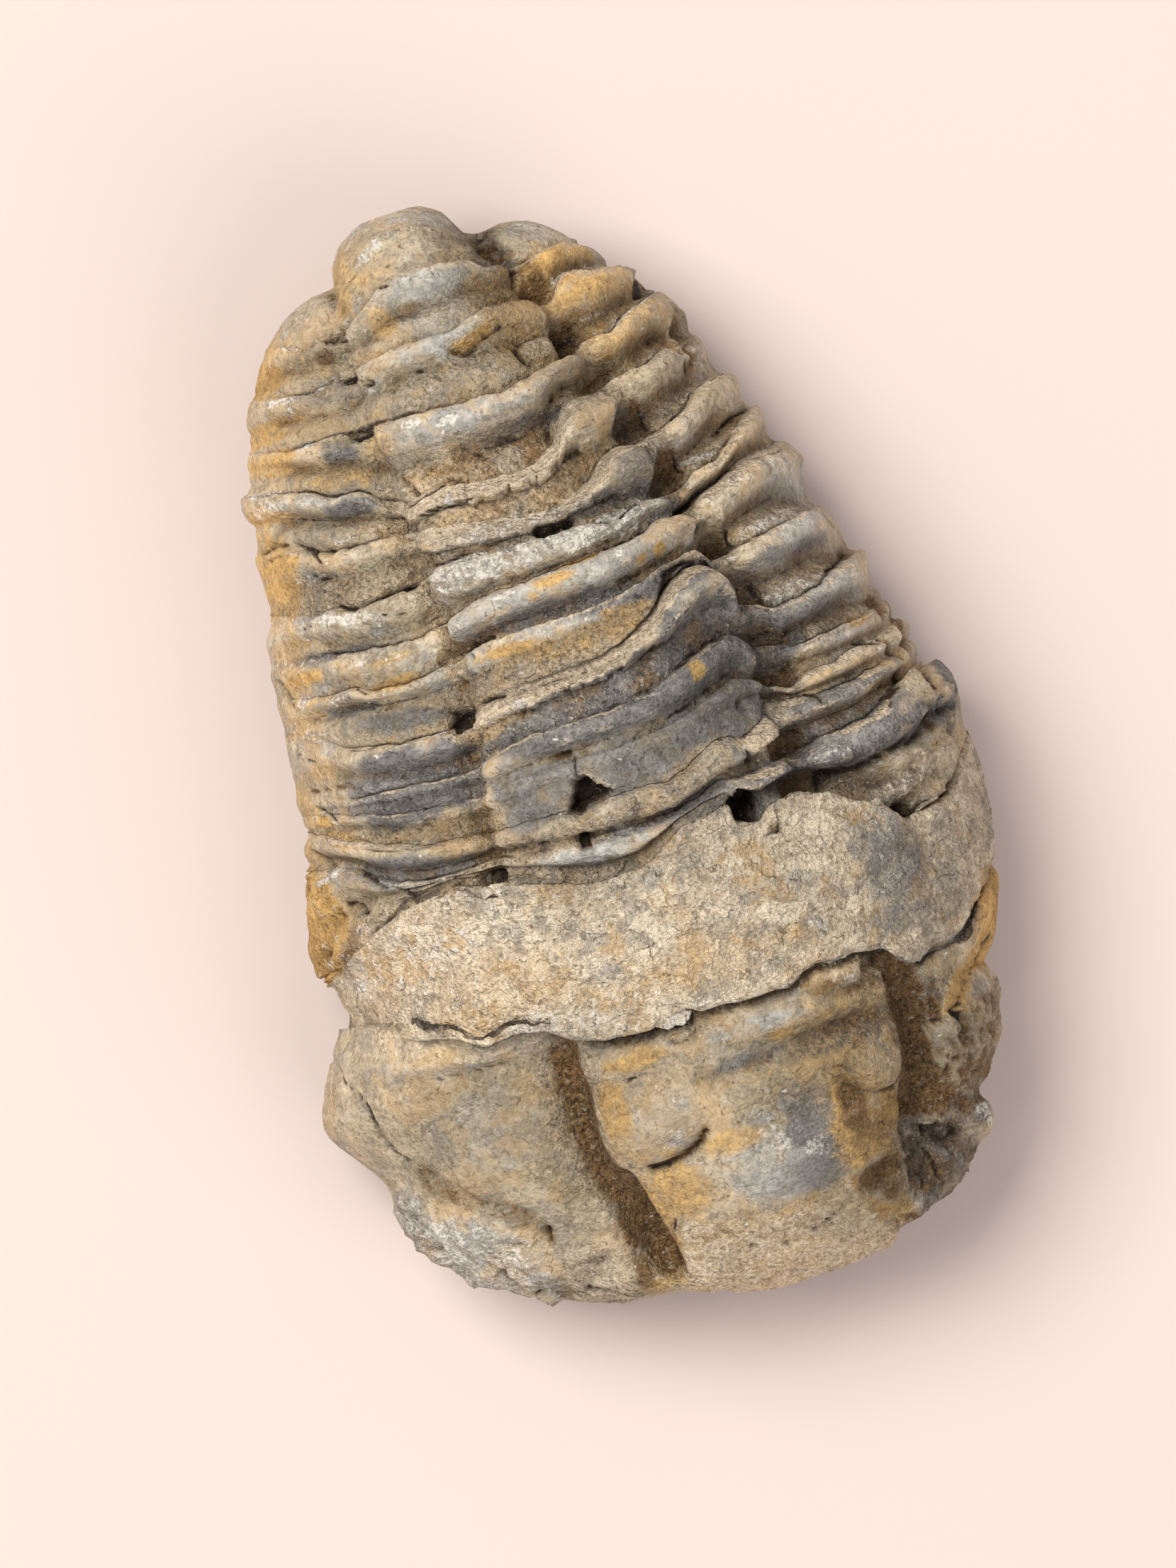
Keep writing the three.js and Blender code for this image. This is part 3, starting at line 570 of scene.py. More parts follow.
@dataclass
class Grid:
    """Loops round the stone, from the tail to the head, and what is known at each of their points.

    Attributes:
        survey: The outline and heights.
        columns: How many columns each zone has.
        stations: The x at which every row is drawn, in millimetres.
        cap_y: Where the rounding of the tail's end starts.
        brow_y: Where the rows of the head run straight.
        front_y: Where the rounding of the head's front starts.
        lip: Shares of a segment at which the first rows follow its back edge.
        row_gap: Distance between the other rows of a segment.
    """

    survey: Survey = field(default_factory=Survey)
    columns: Columns = field(default_factory=Columns)
    stations: Array = field(default_factory=lambda: np.linspace(-31.0, 23.0, 433))
    cap_y: float = 39.6
    brow_y: float = -27.0
    front_y: float = -34.0
    lip: tuple[float, ...] = (0.0, 0.035, 0.07, 0.11, 0.16)
    row_gap: float = 0.3

    def __post_init__(self) -> None:
        """Lays out the rows and then the points."""
        self._curves: list[Array] = []
        self._segment: list[int] = []
        self._phase: list[float] = []
        self._band: list[float] = []
        self._lay_rows()
        self._lay_points()

    def row(self, path: Points) -> Array:
        """A path's y at every station, slightly rounded.

        Args:
            path: Points in plan.

        Returns:
            Its y at each station.
        """
        xs, ys = zip(*path)
        raw = np.interp(self.stations, xs, ys)
        kernel = np.hanning(7)
        return np.convolve(np.pad(raw, 3, mode="edge"), kernel / kernel.sum(), mode="valid")

    def _span(self, start: Points, end: Points, shares: Sequence[float], segment: int = -1,
              band: bool = False) -> None:
        """Adds rows between two paths, at shares of the way from the first to the second.

        Args:
            start: Path of the first row.
            end: Path of the last row.
            shares: Share of the way from start to end, for each row.
            segment: The segment that the rows belong to, -1 for none.
            band: Whether they lie on the plate.
        """
        first, last = self.row(start), self.row(end)
        for share in shares:
            self._curves.append(mix(first, last, share))
            self._segment.append(segment)
            self._phase.append(share)
            self._band.append(share if band else -1.0)

    def _lay_rows(self) -> None:
        """Every row from the tail to the head, closer together where the surface turns sharply."""
        s, cap, brow, front = self.survey, flat(self.cap_y), flat(self.brow_y), flat(self.front_y)
        self._span(flat(s.tail_y), cap, 1 - np.cos(np.linspace(0.0, 1.0, 18) * math.pi / 2))
        self._span(cap, SEGMENTS[0].path, np.linspace(0.12, 0.9, 8))
        paths = [segment.path for segment in SEGMENTS] + [BAND_BACK]
        for index, (start, end) in enumerate(zip(paths[:-1], paths[1:])):
            gap = float(np.mean(self.row(start) - self.row(end)))
            count = max(6, round(gap / self.row_gap))
            self._span(start, end, [*self.lip, *np.linspace(0.2, 0.97, count), 0.995], segment=index)
        self._span(BAND_BACK, BAND_FRONT, [0.0, 0.015, 0.03, 0.05, *np.linspace(0.08, 0.95, 34), 0.97, 0.985, 1.0],
                   band=True)
        self._span(BAND_FRONT, NECK, [0.03, 0.09, *np.linspace(0.18, 1.0, 9)])
        self._span(NECK, brow, np.linspace(0.05, 1.0, 20))
        self._span(brow, front, np.linspace(0.045, 1.0, 22))
        self._span(front, flat(s.head_y), np.sin(np.linspace(0.08, 1.0, 18) * math.pi / 2))

    def _lay_points(self) -> None:
        """Places every column of every row, evenly along the surface within each zone."""
        s, n = self.survey, self.columns
        shape = (len(self._curves), n.total)
        self.x, self.y, self.across = np.zeros(shape), np.zeros(shape), np.zeros(shape)
        self.zone = np.full(shape, Zone.BELLY.value)
        for r, curve in enumerate(self._curves):
            left, right = self._edge(curve, -1), self._edge(curve, 1)
            middle = float(np.interp((left + right) / 2, self.stations, curve))
            lobe_left, lobe_right = (float(v) for v in s.lobe(np.array(middle)))
            lobe_left = min(max(lobe_left, mix(left, right, 0.2)), mix(left, right, 0.45))
            lobe_right = max(min(lobe_right, mix(left, right, 0.8)), mix(left, right, 0.55))
            at = 0
            for zone, low, high, count in ((Zone.LEFT, left, lobe_left, n.side),
                                           (Zone.RING, lobe_left, lobe_right, n.ring),
                                           (Zone.RIGHT, lobe_right, right, n.side)):
                xs = self._even(curve, low, high, count, close=zone == Zone.RIGHT)
                span = slice(at, at + len(xs))
                self.x[r, span] = xs
                self.y[r, span] = np.interp(xs, self.stations, curve)
                self.zone[r, span] = zone.value
                self.across[r, span] = (xs - low) / max(high - low, 1e-6)
                at += len(xs)
            turn = np.arange(1, n.belly) / n.belly
            share = mix(1 - 2 * turn, np.cos(turn * math.pi), 0.55)
            ends = np.interp([left, right], self.stations, curve)
            self.x[r, at:] = mix(left, right, (share + 1) / 2)
            self.y[r, at:] = mix(ends[0], ends[1], (share + 1) / 2)
            self.across[r, at:] = share
        self.segment, self.phase, band = (np.repeat(np.array(values)[:, None], n.total, axis=1)
                                          for values in (self._segment, self._phase, self._band))
        self.band = (band >= 0).astype(float)
        top = s.back(self.x, self.y, self.band)
        self.z = np.where(self.zone == Zone.BELLY.value, s.belly(self.across, self.y), top)

    def _edge(self, curve: Array, side: int) -> float:
        """Where a row meets the outline, at the left (-1) or the right (1).

        Args:
            curve: The row's y at each station.
            side: -1 for the left, 1 for the right.

        Returns:
            The x of the outline there.
        """
        line = self.survey.left_edge if side < 0 else self.survey.right_edge
        inside = side * (line(curve) - self.stations) >= 0
        order = range(len(self.stations)) if side < 0 else range(len(self.stations) - 1, -1, -1)
        for i in order:
            if inside[i]:
                j = i + side
                if not 0 <= j < len(self.stations):
                    return float(self.stations[i])
                a = side * (line(curve[i]) - self.stations[i])
                b = side * (line(curve[j]) - self.stations[j])
                share = a / max(a - b, 1e-9)
                return float(mix(self.stations[i], self.stations[j], min(share, 1.0)))
        return float(line(curve[0]))

    def _even(self, curve: Array, low: float, high: float, count: int, close: bool) -> Array:
        """Places between low and high, mostly even along the surface. The last is left out unless close.

        Args:
            curve: The row's y at each station.
            low: Where the places start.
            high: Where they end.
            count: How many steps there are.
            close: Whether the last place is kept.

        Returns:
            The x of each place.
        """
        xs = np.linspace(low, high, 160)
        ys = np.interp(xs, self.stations, curve)
        zs = self.survey.back(xs, ys, np.zeros_like(xs))
        step = np.sqrt(np.diff(xs) ** 2 * 1.9 + np.diff(zs) ** 2)
        along = np.concatenate(([0.0], np.cumsum(step)))
        wanted = np.linspace(0.0, 1.0, count + 1) * along[-1]
        places = np.interp(wanted, along, xs)
        return places if close else places[:-1]

    def places(self) -> Array:
        """All grid points as rows of x, y and z."""
        return np.stack((self.x, self.y, self.z), axis=-1).reshape(-1, 3)

    def ragged(self, seed: int, size: float) -> Array:
        """Noise along the stations, for the jagged edge of a ledge.

        Args:
            seed: Which noise it is.
            size: Size of its largest waves, in millimetres.

        Returns:
            One value for each station.
        """
        line = np.zeros((len(self.stations), 3))
        line[:, 0], line[:, 1] = self.stations, 9.7 * seed
        return Grain(seed).at(line, size, 4, 0.75)

    def outward(self) -> Array:
        """The direction out of the surface at each grid point.

        Returns:
            A unit vector for each grid point.
        """
        p = np.stack((self.x, self.y, self.z), axis=-1)
        along = np.empty_like(p)
        along[1:-1] = p[2:] - p[:-2]
        along[0], along[-1] = p[1] - p[0], p[-1] - p[-2]
        around = np.roll(p, -1, axis=1) - np.roll(p, 1, axis=1)
        normal = smoothed(-np.cross(around, along), 3)
        return normal / np.maximum(np.linalg.norm(normal, axis=-1, keepdims=True), 1e-9)


# === Marks: the lumps, grooves, chips, stains and patches of painted shade and light that only this stone has ===


class Coat(Enum):
    """The kinds of weathering, painted shade and painted light that the finish tells apart. Each is a value from 0 to
    1 over the surface.
    """

    SLATE = "slate"  # smooth grey shell
    OLIVE = "olive"  # grey-olive shell of the right side
    SAND = "sand"  # grey-olive shell of the right side, and olive painted shade on falls and in low places
    FACE = "face"  # fresh cream broken edges
    CAVITY_SHADE = "cavity"  # painted shade in hollows, cracks, holes and undercuts
    OCHRE = "ochre"  # yellow and orange iron stain
    CHAR = "char"  # charcoal-grey shell, and painted shade in some strips under overhangs and on falls
    CHALK = "chalk"  # white scuffs
    SPECKLE = "speckle"  # the coarse mottled plate across the neck
    UMBER = "umber"  # dark brown matrix, and brown painted shade on falls, in furrows and in low places
    PAINTED_SHADE = "soaked"  # painted shade, which darkens whatever lies there
    PAINTED_LIGHT = "bleached"  # painted light, which pales whatever lies there

    @classmethod
    def laid(cls) -> list["Coat"]:
        """The coats that lie on the rock. The others are painted shade and painted light, which only darken or pale
        what is there.
        """
        return [coat for coat in cls if coat not in (cls.PAINTED_SHADE, cls.PAINTED_LIGHT)]


SLATE, OLIVE, SAND, FACE, CAVITY_SHADE, OCHRE, CHAR, CHALK, SPECKLE, UMBER, PAINTED_SHADE, PAINTED_LIGHT = Coat


def turned(x: Array, y: Array, cx: float, cy: float, degrees: float) -> tuple[Array, Array]:
    """Places measured from a centre along axes that are turned anticlockwise.

    Args:
        x: Places across.
        y: Places along.
        cx: The centre's x.
        cy: The centre's y.
        degrees: How far the axes are turned.

    Returns:
        Places along the first and the second axis.
    """
    c, s = math.cos(math.radians(degrees)), math.sin(math.radians(degrees))
    dx, dy = x - cx, y - cy
    return dx * c + dy * s, -dx * s + dy * c


def path_distance(x: Array, y: Array, path: Points) -> Array:
    """Distance from each place to a path in plan.

    Args:
        x: Places across.
        y: Places along.
        path: The path's points.

    Returns:
        Distances, in millimetres.
    """
    best = np.full(x.shape, 1e9)
    for (ax, ay), (bx, by) in zip(path[:-1], path[1:]):
        dx, dy = bx - ax, by - ay
        t = np.clip(((x - ax) * dx + (y - ay) * dy) / max(dx * dx + dy * dy, 1e-9), 0, 1)
        best = np.minimum(best, np.hypot(x - ax - t * dx, y - ay - t * dy))
    return best


def inside_distance(x: Array, y: Array, outline: Points) -> Array:
    """Distance in from a closed outline, positive inside it and negative outside.

    Args:
        x: Places across.
        y: Places along.
        outline: The outline's corners.

    Returns:
        Distances, in millimetres.
    """
    inside = np.zeros(x.shape, bool)
    closed = [*outline, outline[0]]
    for (ax, ay), (bx, by) in zip(closed[:-1], closed[1:]):
        if ay != by:
            inside ^= ((ay > y) != (by > y)) & (x < (bx - ax) * (y - ay) / (by - ay) + ax)
    return np.where(inside, 1.0, -1.0) * path_distance(x, y, closed)


@dataclass
class Surface:
    """The stone while it is being shaped: how far each grid point stands out, and how it is weathered."""

    grid: Grid

    def __post_init__(self) -> None:
        """Starts with the bare form."""
        self.shape = self.grid.x.shape
        self.out = np.zeros(self.shape)
        self._noises: dict[Any, Array] = {}
        self.coats = {coat: np.zeros(self.shape) for coat in Coat}
        self.x, self.y = self.grid.x, self.grid.y
        self.top = (self.grid.zone != Zone.BELLY.value).astype(float)

    def noise(self, seed: int, size: float | Sequence[float], octaves: int = 1, roughness: float = 0.5) -> Array:
        """Noise over the whole surface, in the shape of the grid.

        Args:
            seed: Which noise it is.
            size: Size of its largest lumps, in millimetres.
            octaves: How many layers it has.
            roughness: Strength of each layer as a share of the one before.

        Returns:
            One value for each grid point.
        """
        key = (seed, size, octaves, roughness)
        if key not in self._noises:
            self._noises[key] = Grain(seed).at(self.grid.places(), size, octaves, roughness).reshape(self.shape)
        return self._noises[key]

    def cover(self, coat: Coat, amount: Array) -> None:
        """Lays more of a coat on, never over 1."""
        self.coats[coat] = np.clip(np.maximum(self.coats[coat], np.clip(amount, 0, 1)), 0, 1)

    def clear(self, coat: Coat, amount: Array) -> None:
        """Takes a coat off where amount is 1."""
        self.coats[coat] = self.coats[coat] * (1 - np.clip(amount, 0, 1))


@dataclass(frozen=True)
class Lump:
    """A smooth swelling, or a hollow where its height is below 0.

    Attributes:
        x: Its middle across.
        y: Its middle along.
        rx: How far it reaches along its first axis.
        ry: How far it reaches along its second axis.
        height: How high it stands.
        turn: How far its axes are turned, in degrees.
        power: 2 for a bell, more for a flatter top.
    """

    x: float
    y: float
    rx: float
    ry: float
    height: float
    turn: float = 0.0
    power: float = 2.0

    def apply(self, s: Surface) -> None:
        """Raises or sinks the surface."""
        u, v = turned(s.x, s.y, self.x, self.y, self.turn)
        s.out += self.height * np.exp(-((u / self.rx) ** 2 + (v / self.ry) ** 2) ** (self.power / 2)) * s.top


@dataclass(frozen=True)
class Groove:
    """A crack or furrow along a path, or a ridge where its depth is below 0.

    Attributes:
        path: Its middle line in plan.
        width: Half its width.
        depth: How deep it is.
        dark: How much of the coat its bottom shows.
        coat: The coat at its bottom, painted shade unless another is given.
        wander: How far noise moves it sideways.
    """

    path: Points
    width: float = 0.3
    depth: float = 0.5
    dark: float = 1.0
    coat: Coat = CAVITY_SHADE
    wander: float = 0.12

    def apply(self, s: Surface) -> None:
        """Cuts the groove and coats its bottom.

        Args:
            s: The surface.
        """
        sway = s.noise(71, 1.1, 2) * self.wander
        distance = path_distance(s.x + sway, s.y - sway, self.path)
        cut = np.exp(-((distance / self.width) ** 2)) * s.top
        s.out -= self.depth * cut
        s.cover(self.coat, cut**1.5 * self.dark)


@dataclass(frozen=True)
class Chip:
    """A patch with sharp sides, sunk into the stone or standing on it.

    Attributes:
        outline: Its plan.
        height: How far its floor stands over (or under) what was there.
        side: Width of its sloping side.
        coat: What its floor shows.
        amount: How much of that.
        wander: How far noise moves its outline.
    """

    outline: Points
    height: float
    side: float = 0.25
    coat: Coat | None = None
    amount: float = 1.0
    wander: float = 0.2

    def apply(self, s: Surface) -> None:
        """Raises or sinks the patch and coats it.

        Args:
            s: The surface.
        """
        depth = inside_distance(s.x, s.y, self.outline) + s.noise(72, 0.9, 2) * self.wander
        share = ease(depth, -self.side / 2, self.side / 2) * s.top
        s.out += self.height * share
        if self.coat is not None:
            s.cover(self.coat, share * self.amount)


@dataclass(frozen=True)
class Field:
    """A stretch of rougher rock: it hides the coats that were there under its own.

    Attributes:
        outline: Its plan.
        coats: Its coats, each with an amount.
        rough: Height of its lumps and pits, in millimetres.
        size: Size of those lumps.
        soft: Width of its border.
    """

    outline: Points
    coats: tuple[tuple[Coat, float], ...]
    rough: float = 0.6
    size: float = 1.6
    soft: float = 0.9

    def apply(self, s: Surface) -> None:
        """Roughens the stretch and coats it.

        Args:
            s: The surface.
        """
        depth = inside_distance(s.x, s.y, self.outline) + s.noise(74, 2.0, 3, 0.6) * 0.7
        share = ease(depth, -self.soft / 2, self.soft / 2) * s.top
        for coat in Coat.laid():
            s.clear(coat, share)
        for coat, amount in self.coats:
            s.cover(coat, share * amount * (1 + 0.4 * s.noise(76, 2.2, 2)))
        lumps = np.abs(s.noise(75, self.size, 4, 0.65))
        s.out += share * self.rough * (0.35 - lumps) * 1.8


@dataclass(frozen=True)
class Patch:
    """A patch of colour, painted shade or painted light, with a ragged, soft edge.

    Attributes:
        coat: The coat that it is made of.
        x: Its middle across.
        y: Its middle along.
        rx: How far it reaches along its first axis.
        ry: How far it reaches along its second axis.
        amount: How much of the coat it lays.
        turn: How far its axes are turned, in degrees.
        ragged: How far noise moves its edge, as a share of its reach.
    """

    coat: Coat
    x: float
    y: float
    rx: float
    ry: float
    amount: float = 1.0
    turn: float = 0.0
    ragged: float = 0.5

    def apply(self, s: Surface) -> None:
        """Lays the patch on the surface.

        Args:
            s: The surface.
        """
        u, v = turned(s.x, s.y, self.x, self.y, self.turn)
        ring = np.hypot(u / self.rx, v / self.ry) + s.noise(73, 1.6, 3) * self.ragged
        s.cover(self.coat, (1 - ease(ring, 0.55, 1.4)) * self.amount * s.top)


# === The parts of the body ===


@dataclass(frozen=True)
class Furrow:
    """A furrow beside the rings.

    Attributes:
        side: Which way is out of the body, -1 on the left and 1 on the right.
        width: Half its width, in millimetres.
        depth: How deep it is.
        sunk_shade: How much brown painted shade, rather than sand, lies in it.
        fading: The y between which it gets shallower towards the tail.
        faded: Share of its depth that is left there.
    """

    side: int
    width: float
    depth: float
    sunk_shade: float
    fading: tuple[float, float] = (21.0, 27.0)
    faded: float = 1.0

    def cut(self, s: Surface, place: Array) -> None:
        """Cuts the furrow along the x that place gives, deepest in the groove between each two segments.

        Args:
            s: The surface.
            place: The furrow's x at each of its points.
        """
        groove = s.coats[SAND]
        outward = self.side * (s.x - place)
        wide = np.where(outward > 0, self.width * (1 + 0.6 * groove), self.width * 0.8)
        cut = np.exp(-np.abs(outward / wide) ** 2.6) * (s.grid.segment >= 0) * s.top
        cut = cut * mix(1.0, self.faded, ease(s.y, *self.fading))
        s.out -= self.depth * cut * (0.55 + 0.6 * groove)
        # Brown painted shade in the furrow, most where it meets the groove between two segments.
        s.cover(UMBER, cut * (0.35 + 0.5 * groove) * self.sunk_shade)
        s.cover(SAND, cut * (1.2 - self.sunk_shade))


@dataclass(frozen=True)
class Thorax:
    """The segments between the tail and the smooth plate: rings down the middle and ribs on both sides.

    Attributes:
        segments: The segments, from the tail.
        jag: How far noise moves a back edge, in millimetres.
        furrows: The furrows left and right of the rings.
        sink: How far a segment is lowered, as a share of its rise.
        rim_share: Share of the relief that is left at the outline.
        shell: How slaty the raised part is.
        relief: Height of the relief over the surveyed one, for the left, the rings and the right.
        olive: How olive the fall into the groove is; this is painted shade on the side that faces the head, away from
            the light.
        umber: How brown the fall is, as painted shade, for the left, the rings and the right.
        soaked: How much darker the painted shade makes the fall, for the same three.
        bleached: How much paler the painted light makes the crest, for the same three.
        roll: Columns over which the relief dies out on the underside.
    """

    segments: tuple[Segment, ...] = SEGMENTS
    jag: float = 0.42
    furrows: tuple[Furrow, Furrow] = (Furrow(-1, 0.9, 0.7, 0.4, faded=0.45), Furrow(1, 1.3, 1.25, 1.0))
    sink: float = 0.42
    rim_share: float = 0.45
    shell: float = 0.3
    relief: tuple[float, float, float] = (1.495, 1.15, 1.15)
    olive: float = 0.8
    umber: tuple[float, float, float] = (0.15, 0.15, 0.45)
    soaked: tuple[float, float, float] = (0.3, 0.15, 0.6)
    bleached: tuple[float, float, float] = (0.25, 0.25, 0.45)
    roll: int = 9

    def shape(self, s: Surface) -> None:
        """Steps the surface at each segment's back edge and coats what each step shows.

        Args:
            s: The surface.
        """
        g = s.grid
        paths = [g.row(segment.path) for segment in self.segments] + [g.row(BAND_BACK)]
        jags = [g.ragged(100 + k, 1.8) * self.jag for k in range(len(paths))]
        for k, segment in enumerate(self.segments):
            here = (g.segment == k) & (g.zone != Zone.BELLY.value)
            x, p = s.x[here], g.phase[here]
            gap = np.interp(x, g.stations, paths[k]) - np.interp(x, g.stations, paths[k + 1])
            s.y[here] += np.interp(x, g.stations, jags[k]) * (1 - p) ** 3
            s.y[here] += np.interp(x, g.stations, jags[k + 1]) * p**3
            behind = self.segments[max(k - 1, 0)].at("tilt", x)
            self._step(s, here, segment, behind, gap)
        self._belly_ends(s)
        for furrow, place in zip(self.furrows, g.survey.lobe(s.y)):
            furrow.cut(s, place)

    def _step(self, s: Surface, here: Array, segment: Segment, behind: Array, gap: Array) -> None:
        """Shapes one segment and has it coated.

        Args:
            s: The surface.
            here: Which of its points are the segment's.
            segment: The segment.
            behind: Height at which the groove behind it ends.
            gap: Length of the segment at each point.
        """
        x, p, zone, across = s.x[here], s.grid.phase[here], s.grid.zone[here], s.grid.across[here]
        outward = np.select([zone == Zone.LEFT.value, zone == Zone.RIGHT.value], [1 - across, across], 0.0)
        uneven = s.noise(51, (3.2, 1.6, 3.2), 3, 0.6)[here]
        ragged = s.noise(52, (0.9, 2.0, 0.9), 3, 0.65)[here]
        rise = np.take(self.relief, zone) * segment.at("rise", x) * np.clip(gap / 2.2, 0.35, 1.0)
        rise = rise * (1 + 0.22 * uneven)
        edge, fall = segment.at("edge", x), segment.at("fall", x)
        face = segment.at("face", x) * (1 + 0.4 * ragged) / np.maximum(gap, 0.4)
        face = np.clip(face, 0.02, 0.6)
        ring = mix(segment.at("ring", x) * (1 - 0.1 * uneven + 0.06 * ragged), 0.93, ease(outward, 0.7, 1.0))
        ring = np.maximum(np.clip(ring, 0.05, 0.97), face + 0.06)
        up = np.clip(p / face, 0, 1)
        q = np.clip((p - face) / (ring - face), 0, 1)
        crown = edge + (1 - edge) * np.sin(np.clip(q / 0.35, 0, 1) * math.pi / 2)
        down = np.clip((q - fall) / (1 - fall), 0, 1)
        dome = crown * mix(0.5 + 0.5 * np.cos(down * math.pi), 1 - down**1.6, segment.at("foot", x))
        r = np.clip((p - ring) / (1 - ring), 0, 1)
        groove = segment.at("swell", x) * np.sin(r * math.pi) + segment.at("tilt", x) * r**1.2
        ends = np.where(zone == Zone.RING.value, 1 - 0.5 * ease(np.abs(across * 2 - 1), 0.9, 1.0), 1.0)
        flatness = mix(0.6, 1.0, ease(segment.at("face", x), 0.4, 0.9))
        height = rise * ends * np.where(p < face, edge * up**flatness, dome) + groove + behind * (1 - up)
        rim = mix(1.0, self.rim_share, ease(outward, 0.72, 1.0))
        s.out[here] += rim * (height - self.sink * rise)
        broken = (1 - ease(p, face * 0.9, face * 1.2)) * (p > 0.001)
        self._coat(s, here, segment, broken, q, ring, outward)

    def _coat(self, s: Surface, here: Array, segment: Segment, broken: Array, q: Array, ring: Array,
              outward: Array) -> None:
        """Coats one segment.

        Args:
            s: The surface.
            here: Which of its points are the segment's.
            segment: The segment.
            broken: 1 on the broken face at its back edge, 0 off it.
            q: How far along the raised part each point lies, from 0 to 1.
            ring: Share of the segment that the raised part takes up.
            outward: How far each point lies towards the outline, from 0 to 1.
        """
        x, p, zone = s.x[here], s.grid.phase[here], s.grid.zone[here]
        uncovered = mix(ease(s.noise(53, 2.4, 3, 0.6)[here], -0.3, 0.35), 1.0, ease(segment.at("face", x), 0.25, 0.7))
        s.coats[FACE][here] = broken * uncovered * mix(1.0, 0.6, ease(outward, 0.5, 0.9))
        s.coats[SAND][here] = ease(p, ring - 0.04, ring + 0.03) * segment.at("sand", x)
        s.coats[SLATE][here] = (1 - s.coats[SAND][here]) * (1 - broken) * self.shell
        # Painted shade on the fall that faces the head, away from the light: olive, brown and darker.
        slope = ease(q, 0.4, 0.9) * (1 - 0.6 * ease(p, ring, mix(ring, 1.0, 0.6)))
        slope = slope * (1 - 0.6 * ease(outward, 0.6, 1.0))
        s.coats[UMBER][here] = slope * np.take(self.umber, zone)
        s.coats[OLIVE][here] = slope * self.olive
        s.coats[PAINTED_SHADE][here] = slope * np.take(self.soaked, zone)
        # Painted light on the crest behind the back edge, which faces the light.
        crest = (1 - ease(q, 0.2, 0.55)) * (p > 0.001) * (1 - 0.7 * ease(outward, 0.7, 1.0))
        s.coats[PAINTED_LIGHT][here] = crest * np.take(self.bleached, zone)
        # Painted shade in the line at the foot of the next back edge.
        s.coats[CAVITY_SHADE][here] = ease(p, 0.93, 0.985) * segment.at("seam", x) * (1 - ease(outward, 0.6, 0.9))

    def _belly_ends(self, s: Surface) -> None:
        """Carries the ribs' relief round the edge of the stone and lets it die out below.

        Args:
            s: The surface.
        """
        g = s.grid
        right = 2 * g.columns.side + g.columns.ring
        for step in range(1, self.roll):
            fade = (1 - step / self.roll) ** 2
            s.out[:, right + step] += s.out[:, right] * fade
            s.out[:, -step] += s.out[:, 0] * fade


@dataclass(frozen=True)
class Plate:
    """The smooth mottled plate that lies across the neck and hides the last segments.

    Attributes:
        jag: How far noise moves its rims, in millimetres.
        rear_round: How far its rear rim is rounded down.
        front_round: How far its front rim is rounded down.
        flush: The x between which it turns from flush with the left cheek to standing free.
        flush_drop: How far its front sinks where it is flush.
        undercut: Depth of the step before the rim that stands free, which is painted with shade.
    """

    jag: float = 0.35
    rear_round: float = 0.55
    front_round: float = 0.7
    flush: tuple[float, float] = (-15.5, -11.0)
    flush_drop: float = 1.1
    undercut: float = 0.5

    def shape(self, s: Surface) -> None:
        """Rounds the plate's rims, gives it its swellings and undercuts the side towards the head, with painted shade
        in the undercut.

        Args:
            s: The surface.
        """
        g = s.grid
        on = g.band * s.top
        p = g.phase
        ragged = np.interp(s.x, g.stations, g.ragged(120, 3.0)) * self.jag
        s.y += ragged * on * ((1 - p) ** 4 + p**12)
        s.out -= on * (self.rear_round * (1 - ease(p, 0.0, 0.06)) + self.front_round * ease(p, 0.93, 1.0))
        flush = 1 - ease(s.x, *self.flush)
        s.out -= on * flush * self.flush_drop * ease(p, 0.55, 1.0)
        s.cover(CHALK, on * ease(p, 0.9, 0.97) * (1 - flush) * 0.7)
        lumps = np.abs(s.noise(23, (2.4, 1.8, 2.4), 3, 0.6))
        swell = s.noise(21, (7, 5, 7), 2) * 0.4 + s.noise(22, 2.4, 3, 0.6) * 0.25 - lumps * 0.3
        s.out += swell * on
        s.cover(SPECKLE, on)
        front = np.interp(s.x, g.stations, g.row(BAND_FRONT))
        tucked = (1 - g.band) * s.top * (s.y < -8) * (1 - ease(front - s.y, 0.1, 0.5))
        s.y += tucked * 0.3
        s.out -= tucked * self.undercut * (1 - flush)
        # Painted shade under the front rim, fainter where the plate lies flush.
        s.cover(CAVITY_SHADE, tucked * 0.9 * (1 - flush * 0.7))


@dataclass(frozen=True)
class Head:
    """The cephalon: glabella between its furrows, with a cheek on each side.

    Attributes:
        furrow_depth: Depth of the furrows, in millimetres.
        furrow_inner: How far each reaches towards the glabella.
        furrow_outer: How far the left and the right one reach towards the cheeks.
        slate: How slaty the head is.
    """

    furrow_depth: float = 0.8
    furrow_inner: float = 0.8
    furrow_outer: tuple[float, float] = (1.2, 1.6)
    slate: float = 0.2

    def shape(self, s: Surface) -> None:
        """Cuts the furrows and raises the lobes.

        Args:
            s: The surface.
        """
        g = s.grid
        on = ((g.segment < 0) & (g.band < 0.5)) * s.top * ease(s.y, -15, -17.5)
        lobe_left, lobe_right = g.survey.lobe(s.y)
        front = ease(s.y, -35.5, -32.5)
        for place, side, outer in zip((lobe_left, lobe_right), (1, -1), self.furrow_outer):
            inward = side * (s.x - place)
            cut = np.exp(-np.abs(inward / np.where(inward > 0, self.furrow_inner, outer)) ** 2.4) * on * front
            s.out -= self.furrow_depth * cut * mix(1.3, 0.9, ease(s.y, -30.0, -24.0))
            s.cover(UMBER, cut * 0.95)
            s.cover(SAND, np.exp(-((s.x - place) / 2.6) ** 2) * on * 0.8)
        s.cover(SLATE, on * self.slate)


